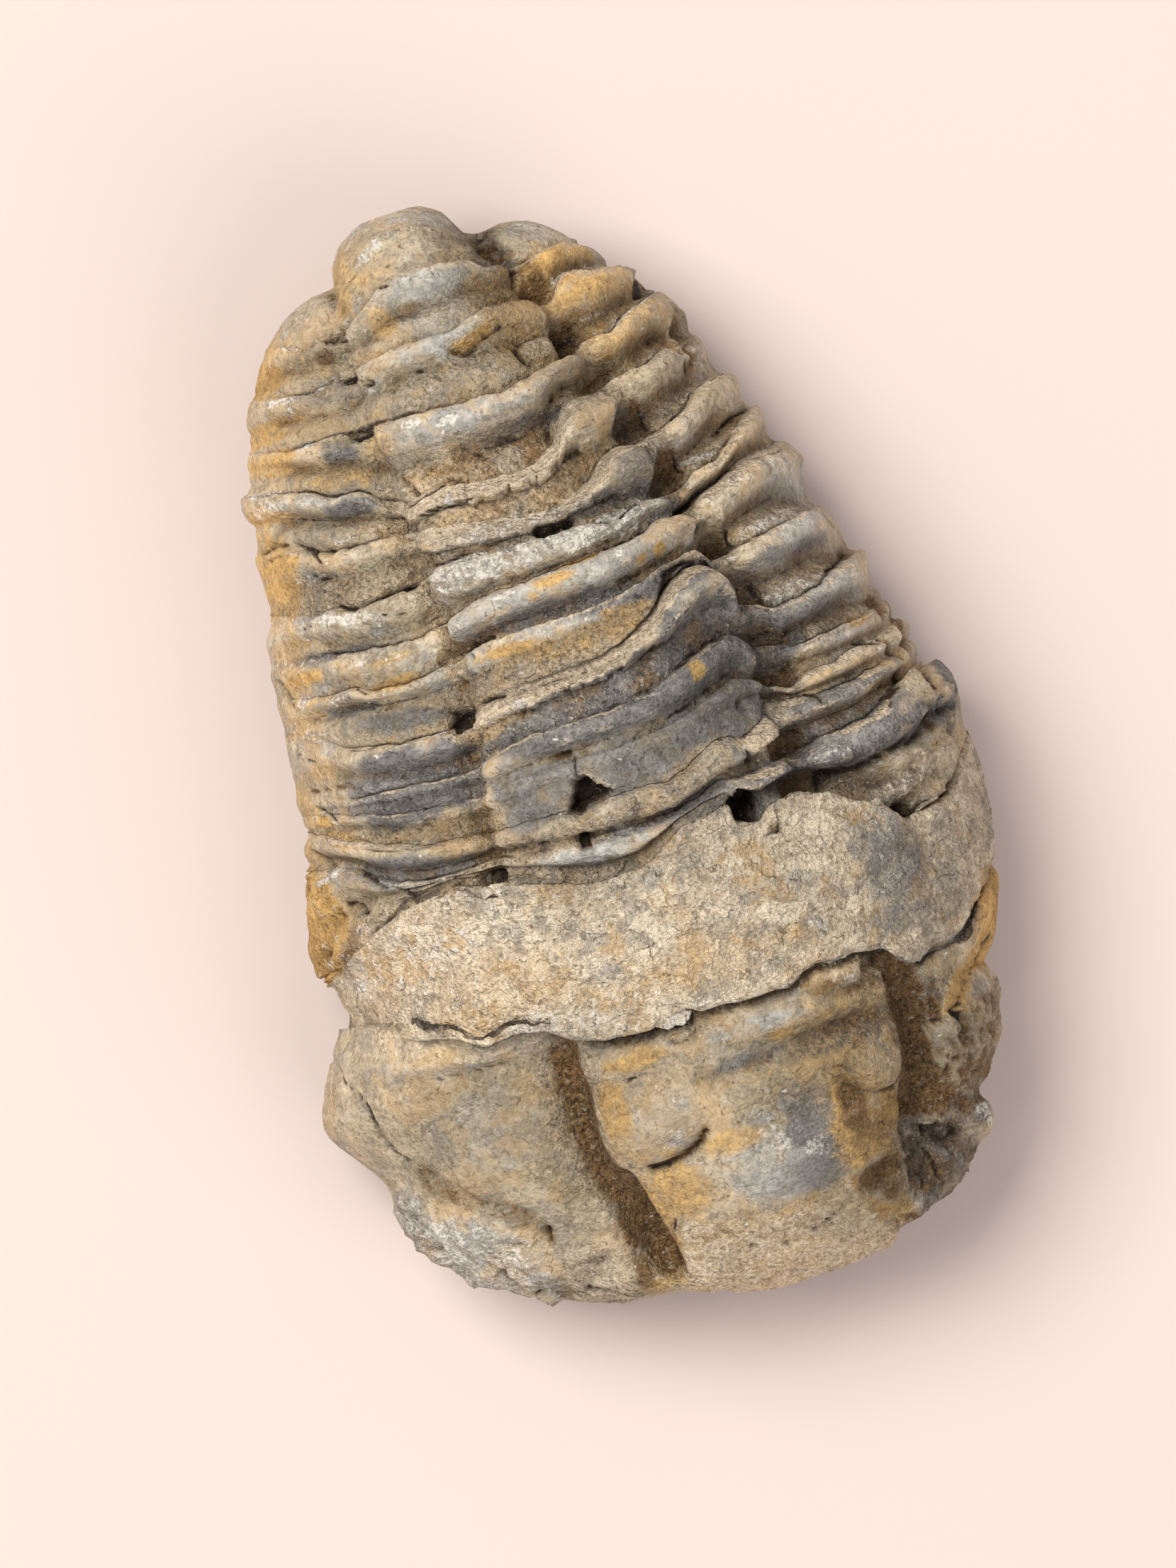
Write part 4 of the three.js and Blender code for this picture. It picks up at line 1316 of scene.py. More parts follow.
@dataclass(frozen=True)
class Tail:
    """The tail shield: the last rings fused into a smooth bulb between two smooth shoulders.

    Attributes:
        rings: The bulb's faint rings and the groove between them, each a y, half a width and a height.
        slate: How slaty the shield is.
    """

    rings: tuple[tuple[float, float, float], ...] = ((40.6, 0.45, 0.22), (39.2, 0.4, 0.2), (39.9, 0.3, -0.25))
    slate: float = 0.35

    def shape(self, s: Surface) -> None:
        """Gives the bulb its faint rings.

        Args:
            s: The surface.
        """
        on = ((s.grid.segment < 0) & (s.y > 30)) * s.top
        lobe_left, lobe_right = s.grid.survey.lobe(s.y)
        middle = ease(s.x, lobe_left, lobe_left + 1) * (1 - ease(s.x, lobe_right - 1, lobe_right))
        for y, width, height in self.rings:
            s.out += height * np.exp(-((s.y - y) / width) ** 2) * on * middle
        s.cover(SLATE, on * self.slate)


@dataclass(frozen=True)
class Underside:
    """Rough matrix round a flat rest face.

    Attributes:
        lumps: Height of its lumps, in millimetres.
        grain: Height of its grain.
        flat_below: Height up to which it stays flat.
        rough_above: Height from which it is rough in full.
    """

    lumps: float = 0.5
    grain: float = 0.2
    flat_below: float = 0.2
    rough_above: float = 2.0

    def shape(self, s: Surface) -> None:
        """Roughens the sides below the edge and leaves the rest face flat.

        Args:
            s: The surface.
        """
        g = s.grid
        below = 1 - s.top
        high = ease(g.z, self.flat_below, self.rough_above)
        rough = s.noise(31, 4.5, 4, 0.6) * self.lumps + s.noise(32, 1.4, 3) * self.grain
        s.out += below * high * rough
        s.cover(UMBER, below * (0.5 + 0.3 * s.noise(33, 5, 3)))
        s.cover(SAND, below * (0.5 + 0.5 * s.noise(34, 3, 2)))


@dataclass(frozen=True)
class Weathering:
    """What time did everywhere: lumps, pits and grain. It also paints shade into the hollows and lays cream on the
    crests.

    Attributes:
        broad: Height of the waves of some 8 mm.
        middle: Height of the lumps of some 2 mm.
        fine: Height of the grain of some 0.8 mm.
        broken: Height of the flakes and steps where the shell has come off.
        window: Grid steps each way that a ring's hollows and crests are told from.
    """

    broad: float = 0.25
    middle: float = 0.16
    fine: float = 0.13
    broken: float = 0.34
    window: int = 9

    def shape(self, s: Surface) -> None:
        """Adds the grain of the stone to the relief.

        Args:
            s: The surface.
        """
        rough = np.clip(0.16 + 0.8 * s.coats[SAND] + 0.4 * s.coats[FACE] + 0.5 * s.coats[SPECKLE], 0, 1)
        flakes = np.abs(s.noise(44, (1.7, 1.1, 1.7), 3, 0.62)) - 0.25
        steps = s.noise(45, (2.6, 1.3, 2.6), 3, 0.6)
        steps = (np.floor(steps * 3) + ease(steps * 3 % 1.0, 0.35, 0.65)) / 3
        s.out += s.top * (s.noise(41, 8.0, 2) * self.broad + s.noise(42, 2.3, 3, 0.62) * self.middle * (0.5 + rough))
        s.out += s.top * rough * (flakes + 0.5 * steps) * self.broken
        s.out += s.top * s.noise(43, 0.8, 2, 0.7) * self.fine * (0.35 + rough)

    def patch(self, s: Surface) -> None:
        """Lays slate, olive, ochre, brown and white in irregular patches of a few millimetres.

        Args:
            s: The surface.
        """
        plate = s.coats[SPECKLE]
        shell = s.top * (1 - s.coats[SAND]) * (1 - plate)
        for where, coat, seed, size, start, end, amount in (
                (shell, SLATE, 61, (4.5, 2.0, 4.5), -0.1, 0.7, 0.9),
                (s.top, OLIVE, 62, (5.0, 3.0, 5.0), 0.0, 0.8, 0.8),
                (shell, OCHRE, 63, (3.0, 1.4, 3.0), 0.3, 1.1, 0.45),
                (plate, SLATE, 64, 2.4, 0.1, 0.9, 0.6),
                (plate, UMBER, 65, (4.5, 3.0, 4.5), 0.1, 0.7, 0.35),
                (plate, CHALK, 66, (3.5, 2.4, 3.5), -0.2, 0.5, 0.5),
                (plate, OCHRE, 67, (3.0, 2.4, 3.0), 0.0, 0.7, 0.55)):
            s.cover(coat, where * ease(s.noise(seed, size, 3, 0.6), start, end) * amount)

    def settle(self, s: Surface) -> None:
        """Finds the hollows and crests of the finished relief: paints shade into the hollows and low places, and lays
        cream on the sharp crests.

        Args:
            s: The surface.
        """
        # Painted shade, near black, in the hollows of the relief.
        fine = s.out - smoothed(s.out, 3)
        wide = s.out - smoothed(s.out, 10)
        hollow = ease(-fine, 0.06, 0.3) * 0.65 + ease(-wide, 0.3, 1.2) * 0.6
        s.cover(CAVITY_SHADE, np.clip(hollow, 0, 1) * 0.8 * s.top)
        deep = s.out - averaged(averaged(s.out, 0, self.window), 1, self.window)
        off_plate = s.top * (1 - 0.8 * s.coats[SPECKLE])
        # Olive and brown painted shade where the relief lies below its surroundings.
        sunk_shade = ease(-deep, 0.03, 0.5) * off_plate
        s.cover(OLIVE, sunk_shade * 0.95)
        s.cover(UMBER, sunk_shade * 0.45 * ease(s.noise(47, 3.0, 2), -0.6, 0.3))
        # Takes the painted shade off again where the relief stands above its surroundings.
        uncovered = ease(deep, 0.12, 0.5) * off_plate
        s.clear(OLIVE, uncovered * 0.7)
        s.clear(UMBER, uncovered * 0.5)
        crest = ease(fine, 0.09, 0.3) * s.top * (0.5 + 0.5 * ease(s.noise(46, 1.8, 2), -0.3, 0.4))
        s.cover(FACE, crest * 0.6)


# === What only this stone has, by region ===

FIELDS: tuple[Field, ...] = (
    Field(((-12, 3.4), (-2, 3.1), (4, 3.8), (9, 5.4), (9.6, 1), (8, -2), (4.6, 0.8), (0.6, -0.6), (-5, -1.4),
           (-11, -3)), ((CHAR, 0.5), (OLIVE, 0.5)), 0.6, 1.8, 1.6),
    Field(((-11.8, -1.4), (-5.4, -1.4), (-1, -1.2), (4.2, 1), (5.2, 0.2), (4.4, -1.6), (1, -2.4), (-4, -3),
           (-11, -3.2)), ((UMBER, 0.3), (SAND, 0.6), (CHAR, 0.25)), 0.5, 1.8, 0.8),
    Field(((-20.4, 1), (-16, 1.8), (-12, 1.8), (-12, -1.6), (-15, -1.2), (-18, 0)),
          ((UMBER, 0.3), (OCHRE, 0.3), (SAND, 0.5)), 0.55, 1.2, 1.6),
    Field(((-12, 18.4), (-6, 18.3), (0, 18), (4.8, 18.8), (5.8, 17.4), (2, 16), (-4, 16), (-10.5, 16.2)),
          ((SLATE, 0.8), (CHALK, 0.65), (FACE, 0.35)), 0.55, 1.8),
    Field(((-28, -5), (-27.2, -7.2), (-25.9, -7), (-24.8, -5), (-24, -3.4), (-24, -1), (-24.8, 0.8), (-26, 1.6)),
          ((UMBER, 0.3), (OCHRE, 1.0)), 1.1, 1.2),
    Field(((10.4, -17.6), (12.4, -18), (12.8, -20.4), (12.6, -22.6), (12.6, -25), (13.4, -27.6), (12, -29),
           (9, -29.4), (8.8, -27.4), (9.8, -25.4), (10.2, -22)),
          ((UMBER, 0.95), (OCHRE, 0.3)), 0.3, 1.8, 1.4),
    Field(((12.4, -23.2), (14.4, -22.4), (17.8, -21.6), (17, -24.6), (15.2, -27.4), (13.4, -28.6), (12.2, -27)),
          ((UMBER, 0.5), (OLIVE, 0.7)), 0.9, 1.8),
    Field(((8.4, -29.4), (12.4, -29.4), (13, -32.2), (11.4, -34), (7.6, -35.4), (7.4, -32)),
          ((CHAR, 0.55), (UMBER, 0.45)), 1.1, 1.8),
    Field(((4, -30.8), (7.6, -30), (8, -32), (6.6, -33.8), (4.6, -33)),
          ((UMBER, 0.6), (OLIVE, 0.6)), 0.4, 1.8),
    Field(((-26.9, -22.6), (-25.4, -22.6), (-24.6, -24.8), (-22, -25.6), (-19, -28), (-18.2, -30), (-17.4, -31.6),
           (-19, -34.4), (-24.8, -31.4), (-28, -26.4)),
          ((SLATE, 0.75), (CHALK, 0.5), (OLIVE, 0.4)), 1.0, 2.4),
    Field(((-17.2, -29.4), (-13.6, -30.4), (-12.8, -33.4), (-13, -36), (-17, -34.4)),
          ((FACE, 0.6), (OLIVE, 0.5)), 0.8, 1.8),
    Field(((-25.2, -20.8), (-23.8, -20.8), (-20, -24.4), (-17.2, -27.6), (-17.4, -29.8), (-19, -28), (-21.4, -25.8),
           (-24.4, -23.6)), ((UMBER, 0.35), (OLIVE, 0.6)), 0.4, 1.8),
    Field(((-9.6, -34.6), (-8.6, -30.6), (-6.4, -30.8), (-3.6, -32.4), (1.6, -32), (3.6, -31.2), (4.4, -33.4),
           (6, -37), (0, -39), (-8, -37)), ((OCHRE, 0.6), (FACE, 0.55)), 0.5, 1.8),
    Field(((16.4, -20.8), (15, -22.6), (13.4, -22.6), (14.6, -20.6), (16.2, -19.6), (17.8, -18), (19.2, -15.6),
           (20.6, -13.4), (20.6, -16), (18.6, -19.4), (17.6, -20.4)),
          ((OCHRE, 1.0), (UMBER, 0.35)), 0.5, 1.2),
)
# In the marks below, each chip and groove with the near-black hollow coat is painted shade in a crack, hole or pit.
TAIL_MARKS: tuple[Any, ...] = (
    Lump(-6, 40.6, 3.4, 2.6, 1.1, power=3),
    Lump(-7.5, 40.4, 2.4, 0.35, 0.22, 6),
    Lump(-4, 39.3, 3.5, 0.4, -0.25, -4),
    Lump(-11.6, 38.6, 0.7, 1.6, -0.5, 12),
    Lump(-0.2, 39.2, 0.8, 1.9, -0.8, 35),
    Lump(3, 38.9, 2.6, 1.2, 0.5, -25),
    Lump(-14.5, 37.6, 3.2, 1.3, 0.35, 20),
    Chip(((-0.1, 40), (0.4, 39.2), (1, 38.9), (0.7, 38.3), (1.3, 37.5), (0.3, 37.4), (-0.6, 38.4), (-0.8, 39.8)),
         -0.6, 0.4, UMBER, 0.8),
    Groove(((-11.7, 36), (-10.9, 36.4), (-10.2, 37)), 0.16, 0.3, 0.9),
    Groove(((-8.2, 37.9), (-7.6, 37.8)), 0.14, 0.3, 0.9),
    Groove(((-1.9, 38.1), (-1.3, 37.7), (-0.9, 37.2)), 0.14, 0.3, 1.0),
    Groove(((-15.8, 36.1), (-14.2, 36.2), (-12.2, 36.15)), 0.14, -0.2, 0.9, CHALK),
    # Painted shade under the overhanging back edge at y 36.
    Chip(((-15.6, 36), (-11.7, 36.1), (-11.8, 35.6), (-12.6, 35.1), (-14, 35.3)), -0.5, 0.7, CHAR, 0.35),
    Chip(((-13.1, 36.1), (-12, 36.1), (-11.5, 35.8), (-12.1, 35.5)), -0.9, 0.3, CAVITY_SHADE),
    Chip(((0.8, 37.1), (1.6, 36.9), (1.3, 36.3)), -0.9, 0.3, CAVITY_SHADE),
    Groove(((1.2, 36.4), (1.3, 35.6), (1.9, 34.9), (2.1, 34.2)), 0.2, 0.5, 0.8),
    Groove(((-18.3, 33), (-16.5, 32.6), (-15, 32.8), (-13.6, 33.2), (-12.6, 33.1)), 0.14, -0.2, 0.9, CHALK),
    # Painted shade under the back edge at y 33.
    Chip(((-15.8, 32.8), (-13.4, 33.1), (-11.9, 32.8), (-12.8, 32.2), (-14.6, 32.1)), -0.5, 0.6, CHAR, 0.45),
    Chip(((-13.5, 33.1), (-12.4, 33.1), (-11.8, 32.8), (-12.3, 32.5)), -0.8, 0.3, CAVITY_SHADE),
    Chip(((-11.7, 32), (-11.1, 32.3), (-10.7, 32.1), (-11.3, 31.8)), -0.9, 0.2, CAVITY_SHADE),
    Chip(((-7.8, 31.9), (-7.3, 32.1), (-7.1, 31.9), (-7.5, 31.7)), -0.6, 0.2, CAVITY_SHADE),
    Chip(((-10, 31), (-9.5, 31.2), (-9.3, 31), (-9.6, 30.9)), -0.6, 0.2, CAVITY_SHADE),
    Groove(((-5.2, 33.7), (-4.6, 33.6)), 0.12, 0.2, 0.8),
    Chip(((-5.2, 32.2), (-4.6, 32.8), (-3.2, 33.1), (-1.2, 33.4), (-0.9, 33.1), (-2.4, 32.7), (-4, 32.1)), -0.9, 0.3,
         OCHRE, 0.9),
    Groove(((-5.1, 32.3), (-3.8, 32.15), (-2.3, 32.7), (-1, 33)), 0.15, 0.5, 1.0),
    Groove(((-3.4, 31.95), (-2.2, 32.3), (-1.3, 32.8)), 0.12, -0.15, 0.8, FACE),
    Groove(((0, 31.6), (0.8, 31.6), (1.8, 31.6), (2.2, 31.9), (2.4, 32.4)), 0.14, 0.3, 0.8),
    Groove(((0, 31.6), (-0.5, 31.1), (-0.2, 30.3), (0.2, 29.8)), 0.2, 0.6, 0.9),
    Chip(((-0.3, 31), (0.2, 31.5), (2.2, 31.4), (3, 30.8), (3.1, 29.6), (1.4, 29.9), (0.3, 29.8)), 0.45, 0.3,
         FACE, 0.5),
    Chip(((3.1, 30), (3.9, 30), (3.8, 29.2), (3.3, 29.3)), -1.1, 0.3, CAVITY_SHADE),
    Chip(((2.9, 32), (3.9, 31.8), (4, 30.3), (3.2, 30.2)), -0.8, 0.5, UMBER, 0.9),
    Chip(((8.8, 33.4), (9.3, 33.9), (10, 32.9), (9.6, 32.2), (8.9, 32.2)), -1.0, 0.4, CAVITY_SHADE, 0.9),
    Chip(((7.6, 35.2), (8, 35.5), (8.5, 35), (7.8, 34.9)), -0.5, 0.3, CAVITY_SHADE, 0.8),
    # Painted shade under the back edge at y 29.
    Chip(((-16, 29), (-14, 29.1), (-11.9, 29), (-12.5, 28.5), (-13.4, 28.2), (-15, 28.4)), -0.5, 0.5, CHAR, 0.4),
    Chip(((-13.4, 29), (-12, 29), (-12.2, 28.6), (-12.9, 28.3)), -0.9, 0.3, CAVITY_SHADE),
    Groove(((-19, 29.9), (-17.2, 29.4), (-15.3, 29.2), (-13, 29.3), (-11, 29.2)), 0.13, -0.18, 0.8, FACE),
)
LEFT_MARKS: tuple[Any, ...] = (
    Lump(-18, 34.2, 2.8, 0.35, -0.25, 6),
    Lump(-18, 31.45, 3, 0.3, -0.3, 0),
    Lump(-18.5, 30.45, 2.5, 0.2, -0.15, -4),
    Lump(-18.5, 28.3, 2.6, 0.3, -0.3, -14),
    Lump(-14.5, 27.5, 1.8, 0.5, -0.4, -5),
    Lump(-19, 24.5, 3, 0.35, -0.4, -14),
    Lump(-15.5, 23.8, 2.2, 0.45, -0.5, -6),
    Groove(((-22, 27.3), (-20.3, 26.9), (-18.4, 26.6)), 0.12, -0.2, 0.8, FACE),
    Groove(((-17.6, 26.2), (-16.5, 25.6), (-15.5, 25.1)), 0.14, 0.4, 1.0),
    Groove(((-15.3, 25), (-13.9, 24.7), (-13.3, 24.3)), 0.12, -0.2, 0.8, CHALK),
    Groove(((-22, 23.1), (-21.6, 23.3), (-21, 23.4), (-20.3, 23.1)), 0.2, 0.4, 0.7, UMBER),
    Groove(((-21.8, 22.4), (-21, 22.6), (-20, 22.4)), 0.14, 0.3, 0.5, UMBER),
    Groove(((-19.3, 22.7), (-18.6, 22.1), (-18.3, 21.6), (-18, 21)), 0.18, 0.45, 0.9),
    Groove(((-17.6, 21.8), (-17.2, 21.5)), 0.18, 0.5, 1.0),
    Groove(((-16.1, 21.5), (-15.5, 21.5)), 0.16, 0.5, 1.0),
    Lump(-14.3, 21.7, 0.7, 0.45, 0.3),
    Groove(((-19.2, 20.6), (-18.9, 20.1), (-17.7, 19.9)), 0.16, 0.4, 0.9),
    Groove(((-18.8, 19.2), (-18, 18.7), (-17.6, 18.3)), 0.14, 0.3, 0.7),
    Groove(((-18.3, 18), (-17.7, 17.5), (-16.9, 17.15)), 0.17, 0.6, 1.0),
    Groove(((-16.3, 17.3), (-15, 17.3), (-14, 17.5), (-12.2, 17.5)), 0.16, 0.5, 0.9),
    Chip(((-13.3, 17.7), (-12.3, 17.6), (-12.2, 17.3), (-13, 17.2)), -0.8, 0.2, CAVITY_SHADE),
    Groove(((-15, 16.25), (-14.4, 16), (-13.6, 15.9)), 0.13, 0.4, 0.9),
    Groove(((-20.6, 16.95), (-19.9, 17.1)), 0.11, 0.3, 0.9),
    Lump(-19, 14.65, 3.6, 0.42, -0.45, -7),
    Lump(-15, 14.1, 1.6, 0.35, -0.3, -6),
    Groove(((-23.7, 14.1), (-23.5, 13), (-23.3, 11.8)), 0.2, 0.6, 0.7, UMBER),
    Groove(((-18.5, 12), (-18, 11.5), (-17.7, 11.2)), 0.14, 0.4, 0.9),
    Chip(((-17.4, 11.1), (-16.2, 11.2), (-16.3, 10.7), (-16.9, 10.1)), -0.3, 0.3, CHALK, 0.6),
    Chip(((-17.3, 11.8), (-14.2, 11.9), (-14, 11.2), (-17, 11.2)), 0.3, 0.3, OCHRE, 0.6),
    Lump(-19, 10.55, 3.2, 0.35, -0.4, -4),
    Lump(-22.4, 8.9, 1.4, 0.6, -0.45, -28),
    Groove(((-23.3, 9.9), (-22.4, 9.3), (-21.3, 9)), 0.12, -0.2, 0.8, FACE),
    Groove(((-24, 8.8), (-23.4, 8.3), (-22.9, 8)), 0.13, 0.3, 0.8),
    Groove(((-20.1, 7.9), (-19, 7.6), (-18.4, 7.5)), 0.12, 0.3, 0.8),
    Groove(((-18.3, 6.85), (-17, 7.05), (-15, 7.15), (-13.3, 7.1)), 0.13, -0.25, 0.8, CHALK),
    Chip(((-18.1, 6.5), (-16.1, 6.9), (-15.8, 6.7), (-17.8, 6.2)), -0.4, 0.3, CHAR, 0.8),
    Chip(((-13, 7.2), (-12.4, 8), (-11.8, 7.8), (-12, 7.1), (-12.4, 6.4), (-12.9, 6.6)), -1.3, 0.3, CAVITY_SHADE),
    Groove(((-13.1, 8.4), (-12.4, 8.1), (-11.8, 8.2)), 0.14, 0.4, 0.8),
    Lump(-16, 4.8, 2.8, 0.4, -0.35, -3),
    Groove(((-24, 6.1), (-22, 5.8), (-20.4, 5.2)), 0.15, 0.35, 0.7, UMBER),
    Groove(((-23.9, 4.9), (-23.2, 4.2), (-22.5, 3.4)), 0.14, 0.5, 1.0),
    Chip(((-24, 4.3), (-23.6, 4.2), (-22.7, 3.3), (-23.2, 3.1)), -0.3, 0.3, OCHRE, 0.9),
    Groove(((-24.6, 3.8), (-23.3, 2.3), (-21.2, 1.4), (-19.7, 0.9)), 0.2, -0.25, 0.6, FACE),
    Groove(((-20.8, 0.9), (-19.4, 0.3), (-17.4, -0.1)), 0.12, 0.3, 0.8),
    Groove(((-18.4, 1.1), (-17.2, 1.3), (-16, 1.6)), 0.12, 0.3, 0.8),
    Groove(((-22.4, -0.2), (-21.8, -0.9), (-21, -1.7), (-20.5, -2.1)), 0.12, 0.4, 0.9),
    Groove(((-20, -2.3), (-19.5, -2.8), (-19, -3)), 0.15, 0.5, 1.0),
    Groove(((-24.5, -0.7), (-23.9, -0.3), (-23.3, 0.2)), 0.25, -0.4, 0.9, CHALK),
    Groove(((-25.3, 1.9), (-24.7, 0.8), (-24.3, -0.1)), 0.18, -0.3, 0.4, FACE),
    Groove(((-24.8, 2), (-24.2, 1), (-24, 0.1)), 0.14, 0.5, 0.8, UMBER),
    Groove(((-24.5, -2), (-23.6, -3), (-22.6, -4)), 0.2, -0.3, 0.4, FACE),
    Groove(((-24, -2), (-23.4, -2.7), (-22.9, -3.2)), 0.22, 0.7, 1.0),
    Groove(((-25.2, -1.5), (-25, -3.3), (-24.3, -5.2)), 0.25, -0.4, 0.4, OCHRE),
    Chip(((-15.6, -3), (-14.6, -3.3), (-12.9, -3.4), (-12.6, -3.7), (-14.4, -3.7), (-15.8, -3.7)), -1.0, 0.3,
         CAVITY_SHADE, 0.9),
    Lump(-26.3, -5.3, 0.35, 0.3, -0.8),
    Lump(-26.1, -6.7, 0.3, 0.35, -0.8),
    Lump(-24.5, -4.6, 0.3, 0.3, -0.7),
    Lump(-24.7, -1.6, 0.25, 0.3, -0.6),
    Lump(-25.4, -3.6, 0.5, 1.4, -0.4, -20),
)
AXIS_MARKS: tuple[Any, ...] = (
    Lump(8, 5.5, 2.6, 4, -1.3),
    Groove(((-5.6, 25), (-4.4, 25.2), (-3.4, 25.4)), 0.13, 0.35, 1.0),
    Groove(((-11.4, 22.8), (-10.6, 23.1), (-9.2, 23.4), (-8.4, 23.6)), 0.13, 0.4, 1.0),
    Groove(((-8, 23.9), (-7, 24.3), (-5.8, 24.9)), 0.09, 0.15, 0.6),
    Groove(((-11.2, 25), (-10.7, 24.4), (-10.4, 23.6)), 0.2, 0.6, 0.8, UMBER),
    Groove(((-10.4, 21.9), (-9.4, 22.1), (-8, 22.05), (-6.6, 21.9)), 0.14, 0.4, 1.0),
    Groove(((-12, 21), (-11.7, 20.5)), 0.12, 0.4, 0.8, UMBER),
    Chip(((-8.5, 22), (-8.2, 22.9), (-7.8, 23), (-7.8, 22.2), (-8.1, 21.95)), 0.05, 0.2, CHALK),
    Chip(((-7.3, 18.9), (-7.2, 19.4), (-7, 19.3), (-7, 18.7)), 0.05, 0.2, CHALK),
    Chip(((-11.6, 19.6), (-11.2, 19.6), (-11.1, 19), (-11.4, 19.1)), -0.9, 0.2, CAVITY_SHADE),
    Groove(((-11.4, 18.4), (-10, 18.35), (-8.4, 18.5)), 0.17, 0.6, 1.0),
    Groove(((-8.2, 18.6), (-6.5, 18.5), (-5, 18.7), (-3.9, 18.8)), 0.1, 0.3, 0.7),
    Chip(((-3.4, 18.6), (-2.8, 18.9), (-1.6, 18.7), (-0.3, 18.5), (-0.6, 18), (-2, 17.95), (-3.2, 18)), -1.4, 0.25,
         CAVITY_SHADE),
    Groove(((-5.9, 20.9), (-5.8, 20.2), (-5.9, 19.4)), 0.09, -0.15, 0.7, FACE),
    Chip(((-0.4, 24.6), (0, 24.2), (0.3, 25.2), (0.8, 26.2), (0.2, 26), (-0.2, 25.3)), -0.6, 0.4, CAVITY_SHADE, 0.8),
    Groove(((1.8, 26), (2.2, 26.3), (3, 26.5), (3.9, 26.4)), 0.14, -0.2, 0.6, FACE),
    Groove(((2.1, 17.3), (3, 17.9), (3.8, 18.3), (4.6, 18.5)), 0.16, -0.4, 0.9, FACE),
    Groove(((2.6, 17.35), (3.6, 18), (4.4, 18.2)), 0.1, 0.4, 1.0),
    Groove(((1, 17.7), (2, 17.4)), 0.14, 0.4, 1.0),
    Groove(((1, 15.6), (3, 16), (4.1, 16.2)), 0.17, 0.6, 1.0),
    Groove(((-2, 15.5), (-0.8, 15.5), (0, 15.4)), 0.15, 0.4, 0.9, OCHRE),
    Chip(((1.2, 15.5), (1.8, 15.4), (2, 14.6), (1.5, 14.7)), 0.15, 0.2, CHALK, 0.8),
    Groove(((-11.2, 12), (-10.6, 12.5), (-10, 12.2), (-9.4, 12.4), (-8.6, 12.4)), 0.24, 0.7, 1.0),
    Groove(((-10.4, 12.2), (-10.1, 11.4)), 0.16, 0.5, 0.9),
    Groove(((-12.5, 11.9), (-11.9, 11.6)), 0.12, 0.4, 0.9),
    Groove(((-10.8, 8.2), (-9.8, 8.3), (-8.8, 8.15)), 0.16, 0.5, 1.0),
    Groove(((-8.4, 8.05), (-4, 8), (-1.5, 8.1), (0.8, 8.2)), 0.1, 0.3, 0.7),
    Groove(((-9.6, 11.3), (-8, 11.6), (-5.8, 11.4)), 0.12, -0.15, 0.7, FACE),
    Chip(((3.5, 11.4), (4.3, 11.9), (5.6, 13), (7.2, 13.2), (6, 13.5), (4.6, 13.1)), -0.9, 0.5, CAVITY_SHADE),
    Groove(((-7.3, 7.1), (-7.1, 6.5)), 0.12, 0.3, 0.8),
    Chip(((3.9, 6.4), (4.9, 6.4), (5, 5.4), (4.4, 4.8), (4, 5.2)), -0.15, 0.3, OCHRE, 1.0),
    Groove(((0, 5.3), (0.4, 5.6), (0.9, 5.4)), 0.16, 0.4, 1.0),
    Groove(((-3.7, 5.1), (-2.4, 5), (-1.2, 5.1)), 0.09, 0.25, 0.8),
    Groove(((3.2, 6.3), (4.2, 6.6), (5.2, 7)), 0.12, 0.4, 1.0),
    Chip(((-8, 3.4), (-6.8, 3.5), (-5.4, 3), (-6.4, 2.6)), -0.4, 0.3, UMBER, 0.6),
    Groove(((1.6, 3), (2.6, 3.5), (4, 3.5)), 0.12, 0.4, 0.9),
    Groove(((-5.6, 1), (-5.5, 2), (-5.6, 3)), 0.17, 0.5, 0.9),
    Chip(((-7, -1), (-6.5, -0.1), (-6, 0.9), (-5.2, 1), (-4.4, 0.2), (-3.7, -0.4), (-4.5, -1), (-5.5, -1.1),
          (-6.3, -1.5)), -2.6, 0.3, CAVITY_SHADE),
    Chip(((-7.2, -2.6), (-6.2, -2.6), (-6.1, -3.9), (-7, -3.8)), -1.4, 0.25, CAVITY_SHADE),
    # Painted shade along the band at y -3.3.
    Groove(((-6, -3.2), (-3.5, -3.5), (0, -3.4), (2, -3), (3.9, -2.3)), 0.28, 0.6, 0.8, CHAR),
    Groove(((-7.1, -5.7), (-5.2, -5.8), (-3.4, -5.7)), 0.16, 0.6, 1.0),
    Chip(((3.9, -4.5), (4.1, -3.6), (4.7, -3), (5.7, -3.4), (6.4, -4), (5.6, -4.9), (4.6, -5.4), (4, -5.2)), -2.4,
         0.3, CAVITY_SHADE),
)
